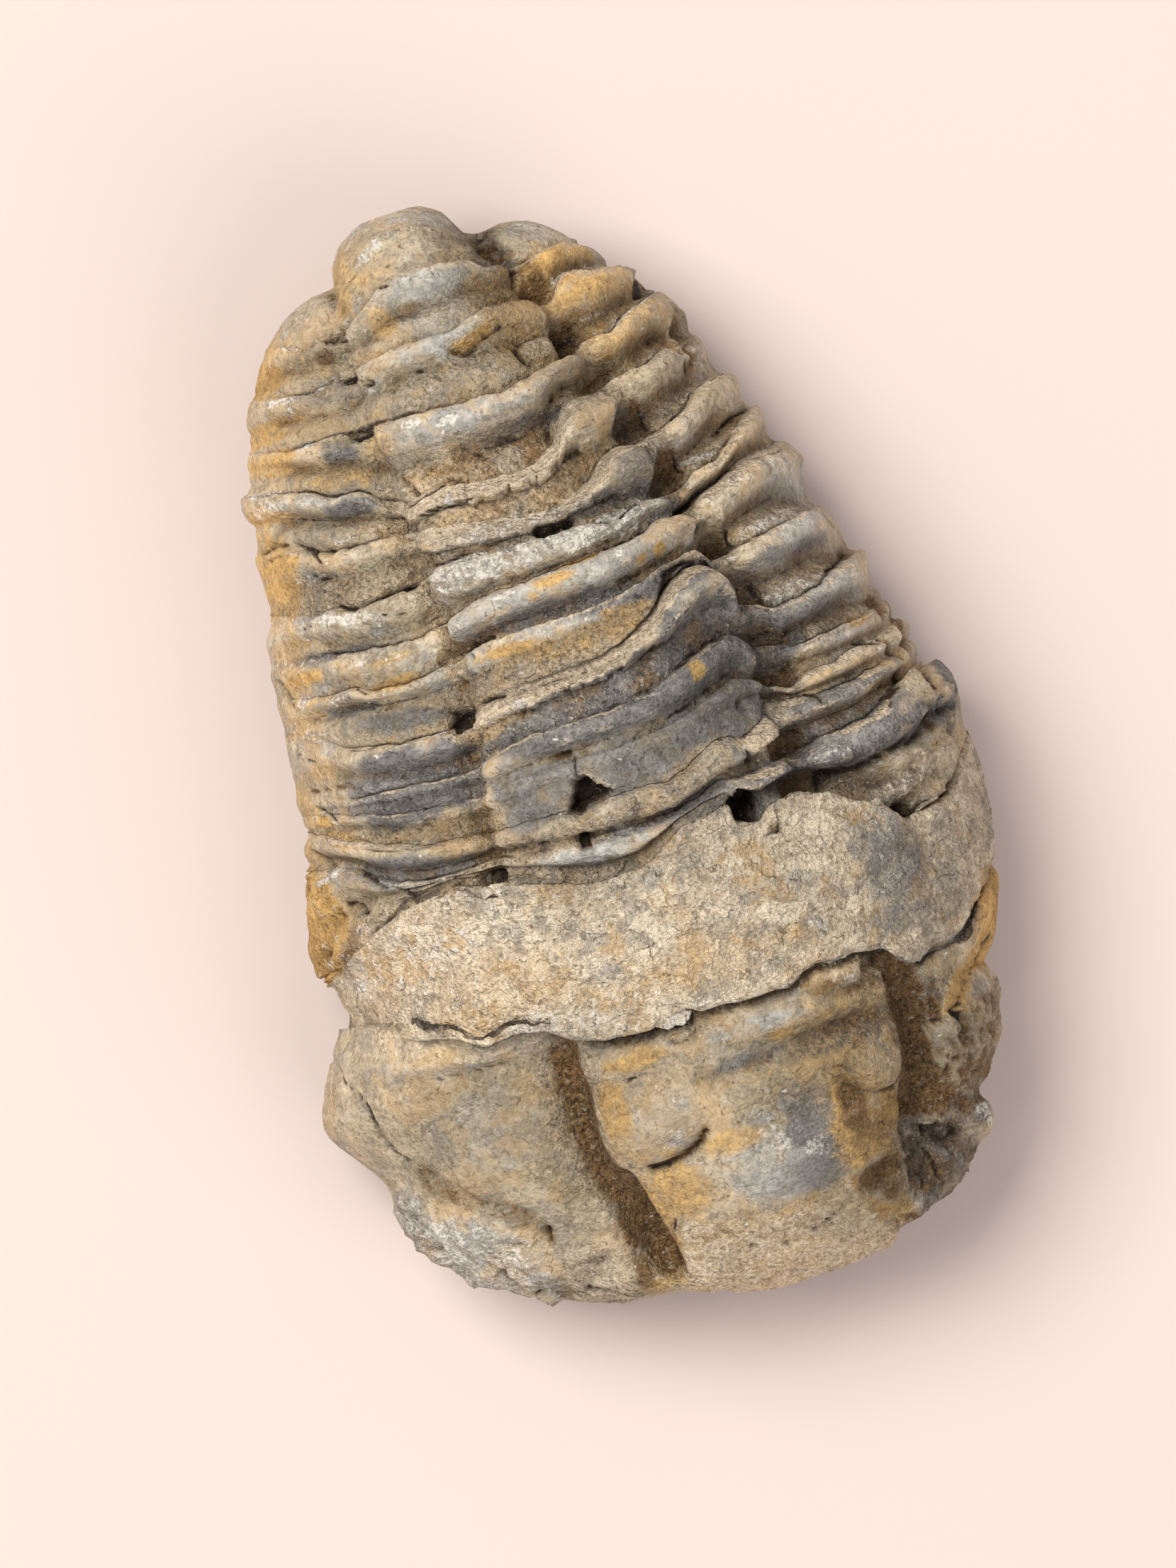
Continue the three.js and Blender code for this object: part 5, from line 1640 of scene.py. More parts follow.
RIGHT_MARKS: tuple[Any, ...] = (
    Groove(((1, 37.2), (2.4, 37.3), (4.6, 37.4), (6, 37.2)), 0.14, -0.15, 0.9, FACE),
    Chip(((3.2, 35.4), (3.9, 35.3), (4.4, 35.7), (4.9, 35.4), (6, 35.1), (5.8, 34.8), (4.3, 34.9), (3.2, 34.6)),
         0.2, 0.25, CHALK, 0.7),
    Groove(((5.7, 34.7), (6.3, 34.5), (6.6, 34.8)), 0.13, 0.4, 1.0),
    Groove(((4, 30.2), (5.4, 30.3), (6.3, 30.4), (7, 31), (8.5, 31.4), (10, 32.2)), 0.2, -0.2, 0.9, CHALK),
    Groove(((4.6, 31.9), (6.5, 31.8), (7.5, 31.9)), 0.14, -0.1, 0.6, FACE),
    Lump(4.9, 29.3, 0.9, 0.7, 0.4),
    Groove(((9.3, 29.3), (9.1, 28.6), (9.8, 27.8)), 0.2, 0.3, 0.5, UMBER),
    Groove(((10.1, 27.3), (10.2, 26.6), (10.5, 26.2)), 0.22, 0.8, 1.0),
    Groove(((10.6, 29.8), (10.8, 28.6), (10.6, 27.6), (10.8, 26.5)), 0.18, 0.5, 0.8, UMBER),
    Groove(((10.2, 29.8), (10.3, 28.4), (10.9, 27.2)), 0.18, -0.4, 0.5, FACE),
    Groove(((11.2, 30), (11.4, 28.6), (11.2, 27)), 0.2, -0.3, 0.3, SAND),
    Groove(((4.4, 27.1), (5.6, 26.8), (7, 27.2), (9, 27.8)), 0.2, -0.15, 0.7, FACE),
    Lump(5.5, 26, 0.9, 0.9, 0.5, 30),
    Groove(((9.3, 24.5), (9.6, 24.1), (9.4, 23.7)), 0.13, 0.4, 0.9),
    Groove(((6.5, 24.6), (6.7, 23.8), (6.9, 23.2)), 0.18, 0.5, 0.9),
    Groove(((5.6, 22.8), (8.4, 23.2), (9.6, 23.9), (10.4, 24.6), (11.8, 25.1), (13, 25.1)), 0.18, -0.15, 0.9,
           FACE),
    Groove(((11.4, 21.2), (12.4, 21.7), (13.2, 22.3), (13.9, 22.4)), 0.2, 0.7, 1.0),
    Groove(((8, 20.1), (9.2, 20), (10.4, 20)), 0.25, -0.1, 0.9, CHALK),
    Groove(((7.7, 20.9), (7.9, 20.2), (8.2, 19.5)), 0.2, 0.6, 1.0),
    Groove(((8.2, 19.3), (9.8, 19.6), (11.2, 20.4), (12.6, 21.2), (14, 22)), 0.15, -0.2, 0.7, FACE),
    Groove(((7.1, 17), (8.6, 17.7), (10, 18.1), (11.6, 18.6)), 0.17, 0.5, 1.0),
    Lump(11.5, 17.4, 3.4, 0.9, 0.3, 12),
    Groove(((12.8, 18.6), (14.2, 18.5), (15.2, 18.7)), 0.12, 0.3, 0.7),
    Groove(((9.9, 14.6), (9.8, 13.8), (9.9, 13.3)), 0.2, 0.6, 1.0),
    Groove(((10.6, 13.2), (11.4, 13.3), (12.1, 13.5)), 0.12, 0.35, 0.9),
    Lump(9.4, 12.3, 0.5, 0.4, 0.25),
    Chip(((15.9, 14.2), (16.3, 13.9), (16.9, 13), (16.8, 12.4), (16.2, 13)), -0.6, 0.3, UMBER, 0.9),
    Groove(((10.2, 10.4), (10.4, 9.6), (10.6, 8.7)), 0.22, 0.6, 1.0),
    Groove(((14.8, 9.4), (15.6, 9.7), (16.4, 10)), 0.16, -0.25, 0.9, CHALK),
    Groove(((15.4, 9.3), (16.6, 10), (17.6, 10.5)), 0.14, 0.5, 1.0),
    Groove(((11.1, 8.4), (12.6, 8.5), (13.8, 8.7), (14.6, 9)), 0.15, -0.15, 0.9, CHALK),
    Chip(((16.9, 10.9), (17.7, 10.9), (17.2, 10.1), (16.9, 10.2)), -0.6, 0.3, UMBER, 0.9),
    Chip(((18, 7.4), (18.6, 7.2), (18.7, 5.6), (18, 5), (17.8, 6.4)), -0.4, 0.3, UMBER, 0.7),
    Groove(((16, 4.2), (16.6, 3.8), (17, 3.6)), 0.2, 0.5, 0.9),
    Lump(16.7, 3, 0.8, 0.7, 0.4),
    Lump(18.2, 3.4, 0.5, 0.7, 0.4),
    Groove(((17.4, 3.8), (18, 2.9), (18.6, 2.1)), 0.2, 0.6, 0.8, UMBER),
    Chip(((18.9, 4.6), (19.5, 4.6), (19.7, 3.4), (19.2, 2.4), (18.9, 3.2)), -0.4, 0.3, UMBER, 0.7),
    Chip(((19, 2), (19.6, 2), (19.8, 1.1), (19.2, 1)), 0.2, 0.3, FACE, 0.6),
    Groove(((11.4, 1.7), (12, 1.4), (12, 1)), 0.18, 0.5, 1.0),
    Groove(((10.6, 2.7), (11.6, 3.4), (13.4, 3.9)), 0.16, -0.15, 0.5, FACE),
    Groove(((9.5, 1.9), (11, 1.7)), 0.2, -0.2, 0.4, FACE),
    Chip(((6.2, 0), (7, 0.7), (8.6, 1), (9.1, 0.6), (8, -0.9), (6.5, -1.3)), 0.1, 0.25, FACE, 0.9),
    Groove(((6, -0.6), (6.3, -1.5)), 0.22, 0.7, 1.0),
    Groove(((16.2, -0.7), (17.2, 0.1), (18.2, 1.1)), 0.2, 0.7, 1.0),
    Groove(((11.6, -1.3), (13.4, -1.4), (15.4, -1.2), (16.8, -0.2), (18, 0.8)), 0.15, -0.2, 0.9, FACE),
    Chip(((9.6, -2.4), (11.4, -1.8), (12.6, -1.9), (12.8, -3.2), (10.4, -3.8)), 0.35, 0.3, CHALK, 0.45),
    Groove(((6, -3.8), (7, -2.9), (8, -2.2), (9, -2.2)), 0.2, -0.3, 0.6, FACE),
    Groove(((11.9, -4.6), (13.6, -4.4), (15.8, -4.1)), 0.2, -0.25, 0.6, CHALK),
    Groove(((18.2, 0.9), (18.9, 0.4), (19.1, -0.6), (18.6, -2.2), (18, -3.4)), 0.2, -0.3, 0.5, FACE),
    Groove(((18.8, -1.6), (18.6, -2.3), (18.3, -3)), 0.14, 0.4, 0.9),
    Chip(((19.5, 0.9), (20, 0.9), (20.4, 0), (20.3, -0.9), (19.8, -0.8)), -0.7, 0.4, CAVITY_SHADE, 0.9),
    Chip(((20.5, 1), (21.1, 0.8), (21.6, -0.7), (21.2, -1.6), (20.6, -0.9)), 0.3, 0.4, CHAR, 0.9),
    Chip(((20, -4), (20.3, -3), (20.3, -1.6), (21, -1.9), (20.9, -3.2)), -2.0, 0.3, CAVITY_SHADE),
)
PLATE_MARKS: tuple[Any, ...] = (
    Groove(((10.6, -4), (13, -4.2), (15, -3.8), (17.6, -3.3), (20, -2)), 0.45, 1.3, 1.0),
    Chip(((13.7, -6.6), (15, -5.9), (17, -5.6), (17.6, -4.4), (18.3, -4.8), (20, -4.1), (20.3, -5.2), (19.8, -6.6),
          (18.8, -7.7), (17.2, -8.1), (16.3, -7.4)), 0.9, 0.35),
    Chip(((14.3, -7.1), (16.2, -7.2), (16.5, -7.7), (15.8, -8.6)), -2.2, 0.3, CAVITY_SHADE),
    Groove(((16.9, -8.4), (18.4, -8.1), (19.6, -7.2), (20, -6.2), (20.6, -5.7)), 0.16, 0.5, 0.9, UMBER),
    Groove(((16, -8.8), (16.2, -11), (15.8, -14), (16.4, -17)), 0.7, 0.4, 0.1),
    Lump(15.4, -9.5, 0.5, 0.35, -0.5),
    Lump(7.1, -5.1, 0.4, 0.4, -0.25),
    Groove(((-22.6, -13), (-23.4, -12.5), (-24.2, -12)), 0.13, 0.3, 0.8),
    Groove(((-14.2, -12.1), (-14.1, -11.2)), 0.1, 0.25, 0.7),
    Groove(((-12, -7.7), (-11.9, -7.2)), 0.12, 0.3, 0.9),
    Groove(((-13, -5), (-12.6, -4.9)), 0.12, 0.3, 0.9),
    Groove(((-10.4, -14.5), (-10, -14.2)), 0.09, 0.2, 0.8),
    Chip(((-15.9, -4.9), (-15.2, -4.9), (-15, -5.3), (-15.4, -5.9), (-16.2, -5.6)), 0.2, 0.2, CHALK, 0.4),
    Chip(((-9.2, -4.4), (-6.2, -4.2), (-3.5, -5.4), (-4, -5.8), (-8, -5.6)), -0.5, 0.4, SLATE, 0.6),
    Chip(((-5.4, -17.1), (-5, -16.7), (-3.1, -17), (-3.3, -18.1), (-4.4, -18.4), (-5.3, -17.9)), 1.1, 0.25,
         SPECKLE),
    Groove(((-3.2, -17.3), (-3.3, -18.2), (-3.5, -18.4)), 0.12, 0.5, 1.0),
    Chip(((6.3, -17.2), (7.4, -16.9), (9, -17.2), (8.8, -18.1), (7.4, -18.4)), 0.6, 0.3, FACE, 0.4),
    Chip(((11.2, -17.2), (11.6, -18.3), (12.3, -18.8), (13.6, -18.8), (14.2, -18.2), (13.8, -16.8), (12, -16.6)),
         0.5, 0.4, CHALK, 0.3),
    Chip(((8.8, -17.4), (10.2, -17), (11.3, -17.4), (11.3, -18), (9.4, -18)), -0.6, 0.3, CAVITY_SHADE, 0.6),
)
HEAD_MARKS: tuple[Any, ...] = (
    Lump(-8.6, -23.1, 3.4, 2.7, 1.0, power=3),
    Lump(-8.8, -18.7, 3, 0.9, 0.35),
    Lump(-9, -20.1, 2.4, 0.35, -0.3),
    Groove(((-9.3, -20.1), (-8.8, -20), (-8.3, -20.05)), 0.12, 0.25, 0.9),
    Lump(1, -19.2, 6.5, 0.85, 0.5, -2),
    Lump(4, -21.2, 6, 0.8, -0.85, 5),
    Lump(4.5, -22.7, 5.5, 0.85, 0.35, 3),
    Lump(0, -28.5, 6.5, 4, 0.5),
    Lump(7.9, -24.6, 1.8, 1.5, 0.9, power=3),
    Groove(((-9.3, -26.5), (-8, -26.5), (-6.8, -26.3), (-5.6, -25.8), (-4.8, -25.1)), 0.3, 0.75, 1.0, UMBER),
    Groove(((-9.3, -26.65), (-8, -26.7), (-6.6, -26.5), (-5.3, -25.8)), 0.12, 0.3, 0.9),
    Groove(((6.2, -25.2), (6.4, -25.8), (7.4, -26.1), (8.6, -26), (9.4, -25.6)), 0.2, 0.35, 0.6, UMBER),
    Lump(5.1, -25.4, 1.1, 1.2, -0.3),
    Groove(((-3.2, -19), (-3.4, -20.4), (-4.5, -22.2), (-5.3, -23.6), (-6, -25)), 0.09, 0.15, 0.5),
    Groove(((0.6, -20), (1.1, -20.7), (1.8, -20.9)), 0.08, 0.15, 0.6),
    Groove(((-11.1, -26.4), (-10.7, -28.4), (-10.4, -30), (-10, -31.8), (-9.6, -33.8)), 0.42, 0.9, 1.0),
    Groove(((-8.7, -30.4), (-9.1, -31.2), (-9.3, -32)), 0.12, 0.3, 1.0),
    Lump(-10.8, -31, 0.7, 2.6, -0.5, 3),
    Groove(((-8.4, -28.2), (-8.6, -29.5)), 0.07, 0.1, 0.5),
    Groove(((-3.2, -34.4), (-1.8, -34.4), (-0.4, -34.2), (1, -33.9), (2.8, -33)), 0.12, 0.25, 0.7),
    Groove(((-4.6, -33.9), (-3.9, -33.6)), 0.1, 0.3, 0.9),
    Groove(((-7.6, -32.3), (-7, -32)), 0.08, 0.2, 0.8),
    Groove(((-29.2, -12.4), (-28.1, -12.6), (-28, -14.2), (-27, -16.2), (-26.8, -18.2), (-26, -20.2), (-24.6, -21.3)),
           0.14, 0.35, 0.9),
    Groove(((-24.6, -21.3), (-23, -23.4), (-21.2, -25), (-19, -26.2), (-17.8, -27.4), (-17.4, -28.6)), 0.3, 0.35,
           0.35),
    Groove(((-17.4, -28.5), (-17.5, -29.3)), 0.22, 0.5, 0.9, UMBER),
    Lump(-20, -14.9, 5.5, 0.6, 0.5, -7),
    Lump(-18.5, -16.3, 6.5, 0.5, -0.65, -6),
    Lump(-22.5, -17.4, 3.5, 0.8, 0.2, -4),
    Lump(-19.5, -22.5, 4.5, 4.5, 0.6),
    Lump(-24.3, -24.6, 0.8, 1.6, 0.6, -30),
    Lump(-22.8, -26.8, 1.8, 0.9, 0.7, -35),
    Lump(-19.3, -29.6, 1.0, 0.6, 0.5),
    Lump(-18, -30.8, 2.2, 1.4, 0.5, -10),
    Lump(-22.5, -29.9, 1.4, 0.7, 0.4),
    Chip(((-21.3, -29.8), (-20.9, -30), (-20.2, -31.6), (-20.7, -31.4), (-21.4, -30.6)), -1.0, 0.3, CAVITY_SHADE, 0.8),
    Groove(((-20.6, -30.2), (-19.8, -31.6), (-18.6, -33.2)), 0.18, -0.35, 0.5, FACE),
    Groove(((-20, -32), (-18.6, -32.1), (-17.6, -32)), 0.12, 0.4, 0.9),
    Groove(((-16.2, -33.2), (-15, -33.8)), 0.25, 0.5, 0.9),
    Lump(-13.2, -31.5, 0.5, 1.8, 0.4, 8),
    Lump(-12.5, -34.2, 1.2, 0.5, 0.3, -15),
    Groove(((-26.4, -26.2), (-25.9, -26.9)), 0.3, 0.5, 0.8),
    Groove(((-25, -24.6), (-25.6, -26.4), (-25.2, -27.8)), 0.25, -0.4, 0.5, FACE),
    Lump(12, -24.5, 1.2, 5.5, -0.5, -4),
    Groove(((12.2, -23.1), (13.4, -22.6), (14.6, -22.2), (16, -20.8), (17, -19.8), (18.6, -18.2)), 0.12, 0.35, 0.9),
    Chip(((14, -22.5), (15, -22.5), (14.6, -23.2), (14.2, -23.6)), -0.7, 0.3, CAVITY_SHADE),
    Lump(13.3, -23.3, 0.9, 0.8, 0.4, 25),
    Lump(15.8, -24.5, 1.2, 2.4, 0.5, -20),
    Lump(9.3, -27.5, 0.5, 2.3, -0.5, -8),
    Chip(((9.2, -29.6), (10.6, -29.7), (12, -30), (12.4, -31), (11, -31.8), (10, -31.2)), -0.9, 0.5, CAVITY_SHADE, 0.6),
    Groove(((8.5, -30), (9.8, -29.4), (11, -29.7), (12.2, -28.6), (13.2, -27.6)), 0.14, -0.3, 0.4, FACE),
    Groove(((8.2, -30.2), (8.6, -31.8), (8.4, -33.4)), 0.2, -0.35, 0.3, SAND),
    Groove(((10, -31.2), (11, -32), (11.6, -33.2)), 0.2, -0.35, 0.3, FACE),
    Groove(((9, -30.6), (9.8, -32), (10, -34)), 0.2, 0.5, 0.8),
    Lump(13.4, -30.2, 0.8, 1.6, 1.3, -15, 4),
    Lump(5.7, -31.9, 1.9, 0.8, -0.7, 18),
    Groove(((3.8, -30.8), (5.6, -30), (7.6, -29.4)), 0.3, -0.25, 0.4, OCHRE),
    Groove(((3.7, -31), (3.8, -32.4), (4.4, -33.4)), 0.25, -0.25, 0.5, OCHRE),
    Groove(((4.6, -33.4), (5.2, -33.8), (6, -33.7)), 0.12, -0.2, 0.7, FACE),
    Lump(7.5, -34.4, 1.2, 0.4, 0.3, 35),
    Lump(5.5, -35.8, 1.4, 0.5, -0.35, 30),
)

PATCHES: dict[Coat, tuple[tuple[float, ...], ...]] = {
    # Painted light: patches made paler.
    PAINTED_LIGHT: (
        (14, 0, 5, 0.8, 0.7, 8), (8, -0.6, 2.4, 1, 0.7), (-11.6, 14, 1, 4, 0.6), (-12, 4, 1, 3, 0.4),
        (-12.5, -17.5, 1.5, 1.6, 0.9), (0, -16.8, 12, 1, 0.5), (-20, 4.6, 2.4, 1.6, 0.5), (15.5, -6.8, 4, 1.6, 0.5),
        (-3, -2.4, 8, 1, 0.4), (-18, -9, 9, 6, 0.8, -20), (-5, -12, 10, 4.5, 0.65), (9, -9, 8, 4, 0.2),
        (0, -16, 12, 1.4, 0.4), (-6, 23, 6, 3, 0.7), (-4, 18, 9, 3, 0.15), (-5, 6.6, 8, 1.2, 1.0),
        (-5, 12.4, 6, 0.7, 0.5), (-4, 9, 8, 1, 0.3), (-22.5, 15, 2.2, 13, 0.4), (-20.5, 27, 2, 4, 0.4),
        (17, 3.6, 2.2, 3, 0.5), (17, -6, 3, 2, 0.6), (-23, -30, 4, 5, 0.35), (-4, -36, 10, 2, 0.4),
        (13, 22, 1.8, 7, 0.5, 20), (12.4, 14.2, 3, 0.9, 0.5, 8), (12.4, 9.4, 3, 0.8, 0.4, 8), (3.5, 22, 1.6, 2, 0.4),
        (-25.5, -5, 2, 4, 0.3), (18, -17, 1.4, 3, 0.5, -20), (2.5, 34.5, 1.6, 3, 0.35),
    ),
    # Painted shade: patches made darker, most of them right of the middle, away from the light.
    PAINTED_SHADE: (
        (-1.2, 36, 2.8, 7, 0.5, 10), (1, 30, 3, 5, 0.4), (-3, 26, 6, 1.2, 0.45, 4), (-4, 33, 6, 6, 0.15),
        (-14.6, 16, 2.4, 14, 0.15), (-14.4, 31, 2, 5, 0.2), (5.5, 19, 3, 5, 0.3), (7, 4.6, 6.5, 3.4, 0.85, 10),
        (7.6, 25.4, 1.4, 2, 0.4), (2, 2.8, 6, 2.4, 0.4), (6.5, -21.6, 5.5, 4, 0.55), (7.4, -28, 3.4, 6, 0.5),
        (4, -33.4, 4, 2.4, 0.55), (-19, -20, 6, 4, 0.4), (-8, -22, 4, 5, 0.25), (12.6, -23, 3, 4.5, 0.65),
        (15.4, -3.4, 5, 1.1, 0.9, 8), (2.8, 24.8, 1.2, 2.2, 0.5), (8.4, 27, 1.6, 1, 0.4), (1, -21, 9, 3, 0.35),
        (2.5, -27, 5, 6, 0.25), (-18, -16.5, 6, 1.5, 0.3, -10), (9.4, 25.5, 2, 3, 0.3), (12, 5.6, 4, 0.8, 0.4),
        (10, 12, 3, 0.8, 0.3), (15.5, -13, 2.5, 5, 0.2), (-14.6, -24, 2, 7, 0.25),
    ),
    OLIVE: (
        (-1.5, 36, 3, 6, 0.8), (7, 19, 3, 5, 0.7), (9, -20, 4, 3, 0.9), (4, -22, 6.5, 5, 0.85), (5, -31, 5, 4, 0.8),
        (1.5, 33, 3.5, 7, 0.7), (8, 31, 4, 5, 0.6), (-14, 29, 1.8, 7, 0.6), (-14.5, 11, 2.2, 6, 0.5),
        (-14.5, -24, 2.5, 7, 0.7), (9, 28, 4, 9, 0.7, 12), (12, 17, 5, 8, 0.75), (15, 6, 5, 7, 0.6),
        (14, -1, 5, 3, 0.5), (-19, -21, 7, 6, 0.6), (-21, -29, 5, 3, 0.5), (3, -34, 9, 3, 0.5),
        (-14, 36, 3, 1.5, 0.3), (3, 25, 2, 2, 0.5), (5, 21, 2, 1.6, 0.4), (-2, 24.5, 4, 0.8, 0.6),
        (13, -20, 4, 2.5, 0.8), (-17, 1, 6, 3, 0.5), (-16, 20.5, 4, 2, 0.4), (8, -33.5, 2, 2, 0.7),
        (-22, -4, 2, 3, 0.5),
    ),
    # Charcoal-grey shell; the thin strips at y 26, 27.8, 24, 14.7, 12.7 and 10.6 are painted shade on the falls of
    # rings and ribs.
    CHAR: (
        (5.6, 2.2, 3.6, 2.2, 1.0), (7, 8.6, 2.6, 1.8, 0.9), (1.5, 12.2, 4, 0.8, 0.9), (4.5, 18.6, 2.4, 1, 0.7),
        (0, 37, 1.6, 3.6, 0.5, 10), (6, 6, 4.5, 4.5, 0.95), (6, 12.6, 3, 1.6, 0.6), (5.5, 20.5, 2.4, 2.6, 0.45),
        (6.5, -21.4, 4.5, 1.2, 0.6, 4), (3, -25.5, 2.2, 2.4, 0.5), (3, -30, 3, 2.2, 0.45),
        (17, -2.4, 4.4, 1, 0.95, 6), (-2, 5.4, 9.5, 2.6, 0.75, 6), (0, 1, 9, 2.2, 0.75, 4),
        (-16.5, 3.8, 5, 3, 1.0, -8), (-16, 8.8, 4, 0.8, 0.5, -8), (-19, -1.2, 4, 1.4, 0.6, -10),
        (0, -2.6, 8, 1, 0.55), (13, -1.2, 5, 2.2, 0.6, 6), (8, 3, 3, 5, 0.9), (10, 7, 2.5, 3, 0.7),
        (4, 4.5, 5, 3.2, 0.85, 15), (-0.5, 36, 1.4, 3.5, 0.45), (17, -12, 1.4, 4, 0.12, 8),
        (16, -2.8, 5, 0.8, 0.8, 4), (11.5, -25, 2, 5, 0.5), (7, 8.6, 3.4, 1.8, 0.8, 20), (-3, 6.8, 6, 1.1, 0.75),
        (9.5, 5, 1.8, 3.5, 0.85), (10, 9.5, 1.3, 2.2, 0.6), (13, 7.2, 4, 0.8, 0.5, 4), (12.5, 11.6, 4, 0.6, 0.5, 3),
        (14, 1.3, 4, 0.6, 0.6, 5), (13, -2.8, 4, 1.1, 0.75, 4), (8, -2.5, 2.5, 1.4, 0.8),
        (-17, -1.2, 4.5, 1.3, 0.55, -8), (-3, 12.8, 7, 0.7, 0.8), (5, 12.6, 2.5, 0.7, 0.9),
        (-14.5, 24, 2.2, 0.6, 0.7, -6), (-14.7, 27.8, 1.4, 0.6, 0.6), (-5.5, 8, 5, 0.4, 0.5),
        (1, 18.8, 3, 0.7, 0.6, 10), (5.5, 17.2, 2.2, 0.9, 0.6), (-14.5, 35.2, 2, 0.6, 0.35),
        (-14.5, 32.2, 2.4, 0.8, 0.4), (0, 26, 5, 0.5, 0.6, 5), (5.5, 24, 1.5, 1.2, 0.6), (13.6, -11, 2.6, 4, 0.45),
        (7, -10.5, 1.5, 1.3, 0.3), (13, -15, 2.5, 1.2, 0.4), (-21, -12.5, 1, 0.9, 0.4),
        (-20.5, -10.3, 1.3, 0.4, 0.45), (-8, -12.2, 1.5, 1, 0.3), (-3, -7, 1.2, 0.8, 0.3),
        (2.5, -27, 1.8, 3.5, 0.55, 15), (4, -24, 3.5, 1, 0.4), (0, -21.3, 3.5, 0.6, 0.5),
        (13, -28, 2, 2.4, 0.75, -35), (12, -20.5, 1.6, 2, 0.7), (16, -23.5, 1.2, 2.5, 0.6, -15),
        (10.5, -32.6, 2, 1.4, 0.6), (-19.5, 10.6, 3, 0.4, 0.55, -4), (-19.5, 14.7, 3.4, 0.4, 0.6, -6),
    ),
    SLATE: (
        (-3, 12, 12, 7, 0.75), (-3, 2, 13, 7, 0.85), (-4, -5, 15, 2.2, 0.9), (9, -6, 8, 2.5, 0.7),
        (-17, 14, 4, 8, 0.45), (-5, 31, 5, 9, 0.5), (-6, -10, 9, 3, 0.45), (4, 14, 4, 6, 0.5), (14.5, 11, 4, 8, 0.75),
        (-21, -20, 4, 3, 0.5), (-5.5, 37.2, 4, 0.9, 0.8), (-4, 41.3, 4, 1, 0.6, -10), (-6.5, 33.2, 4, 0.8, 0.9),
        (-5, 27.4, 5, 1, 0.9), (-20, 17.8, 1.8, 0.7, 0.9, -8), (-21, 12.4, 1.7, 0.5, 0.9),
        (-6.3, 14.3, 2.2, 0.7, 0.9), (-22.3, 8.9, 1.5, 0.6, 0.9, -25), (-15.5, 6.2, 3, 0.7, 0.8),
        (-19, -1, 4, 1.2, 0.8, -12), (0, -29, 4.5, 2.6, 0.9), (-7, -23.6, 2.6, 2, 0.8), (1.5, -19, 5, 0.7, 0.8),
        (-18, 25.6, 3, 0.6, 0.7, -12), (-5, -7, 3, 0.9, 0.7), (-18.6, -31.6, 1.8, 1, 0.6), (8, 18.3, 1.5, 0.5, 0.5),
        (3, 38.6, 2.2, 0.8, 0.6, -20), (-15, 33.2, 1.6, 0.4, 0.6), (-9, -22, 2, 2, 0.3), (8.5, -23.5, 1.6, 1.8, 0.6),
        (-9.3, -17.2, 3, 0.7, 0.5), (-12.5, 19.7, 1, 1, 0.5),
    ),
    OCHRE: (
        (13, -23, 1.5, 1.5, 0.8), (10.2, -29, 1, 2.4, 0.8), (5.5, -34.4, 2.4, 1, 0.7), (-9.4, -33, 2, 1.6, 0.7),
        (3.6, 23.6, 0.8, 1.6, 0.4), (-20, -21, 9, 8, 0.15), (-7, -21, 5, 6, 0.2), (6.5, -22, 5, 7, 0.45),
        (0, 33, 2.5, 5, 0.5, 20), (6, 31, 4, 4, 0.45), (-21.5, 17, 2, 14, 0.15), (-9, 39, 2.6, 3, 0.3),
        (-16, 34, 4, 3, 0.35), (-2, -34.5, 9, 3, 0.7), (-8.5, -30, 3, 5, 0.6), (5.5, -28, 2.2, 5, 0.7),
        (2.5, 35.5, 3, 2.2, 0.7), (-19, 30, 2.2, 5, 0.3), (-21.5, 21, 2, 4, 0.6), (-22.5, 12, 1.4, 4, 0.45),
        (-24, -8, 3, 3, 0.4), (-16, -11, 6, 3, 0.4), (-1, -14, 8, 2, 0.35), (-10.7, 39, 1, 2.8, 0.55, -14),
        (-8.5, 38.9, 2.4, 0.5, 0.45), (-18.3, 34.7, 1.9, 1, 0.85, 20), (-17.2, 36.2, 1.2, 0.7, 0.5),
        (-18.5, 33.9, 2, 0.35, 0.9, 8), (-18.6, 31.4, 2.4, 0.45, 0.75), (-19, 30.6, 2, 0.5, 0.75),
        (-19, 29, 2.2, 0.7, 0.7), (-19.5, 28.3, 2.2, 0.35, 0.6, -12), (-20.8, 25.4, 1.8, 0.6, 0.75, -10),
        (-21.2, 26, 1, 0.6, 0.6), (-21, 21.8, 1.7, 0.8, 0.85), (-21.3, 20.3, 1.5, 0.9, 0.85),
        (-22, 16, 1.6, 0.9, 0.5), (-21.8, 13.7, 1.7, 0.6, 0.85), (-21.6, 12, 1.6, 0.35, 0.5),
        (-23.4, 10.2, 1, 0.5, 0.5), (-22.8, 7.2, 1.8, 0.7, 0.5), (-24.4, 4.8, 0.7, 2.5, 0.5, 8),
        (-22.6, 2.2, 2.2, 0.5, 0.6, -30), (-16.5, 1.2, 3.5, 0.7, 0.5), (-15.6, 11.4, 1.8, 0.5, 0.75),
        (-15, 26.3, 2.4, 0.8, 0.5), (-13.3, 25.9, 0.8, 0.8, 0.6), (-15.6, 13.1, 2.2, 0.4, 0.5),
        (-20, 15.5, 2, 0.4, 0.3), (3.2, 36.3, 1.7, 0.8, 0.95), (5.3, 36, 1.6, 0.7, 0.6), (-0.4, 35.7, 1.3, 0.8, 0.6),
        (5, 33.2, 2.6, 0.8, 0.7), (2.6, 33, 1, 1, 0.4), (5.2, 31.1, 1.3, 0.7, 0.65), (7.2, 29.1, 2.6, 0.7, 0.5),
        (9.8, 28.6, 0.8, 1, 0.35), (-8.8, 35.6, 1.1, 1.2, 0.6), (-10.6, 33.8, 1.4, 0.5, 0.4),
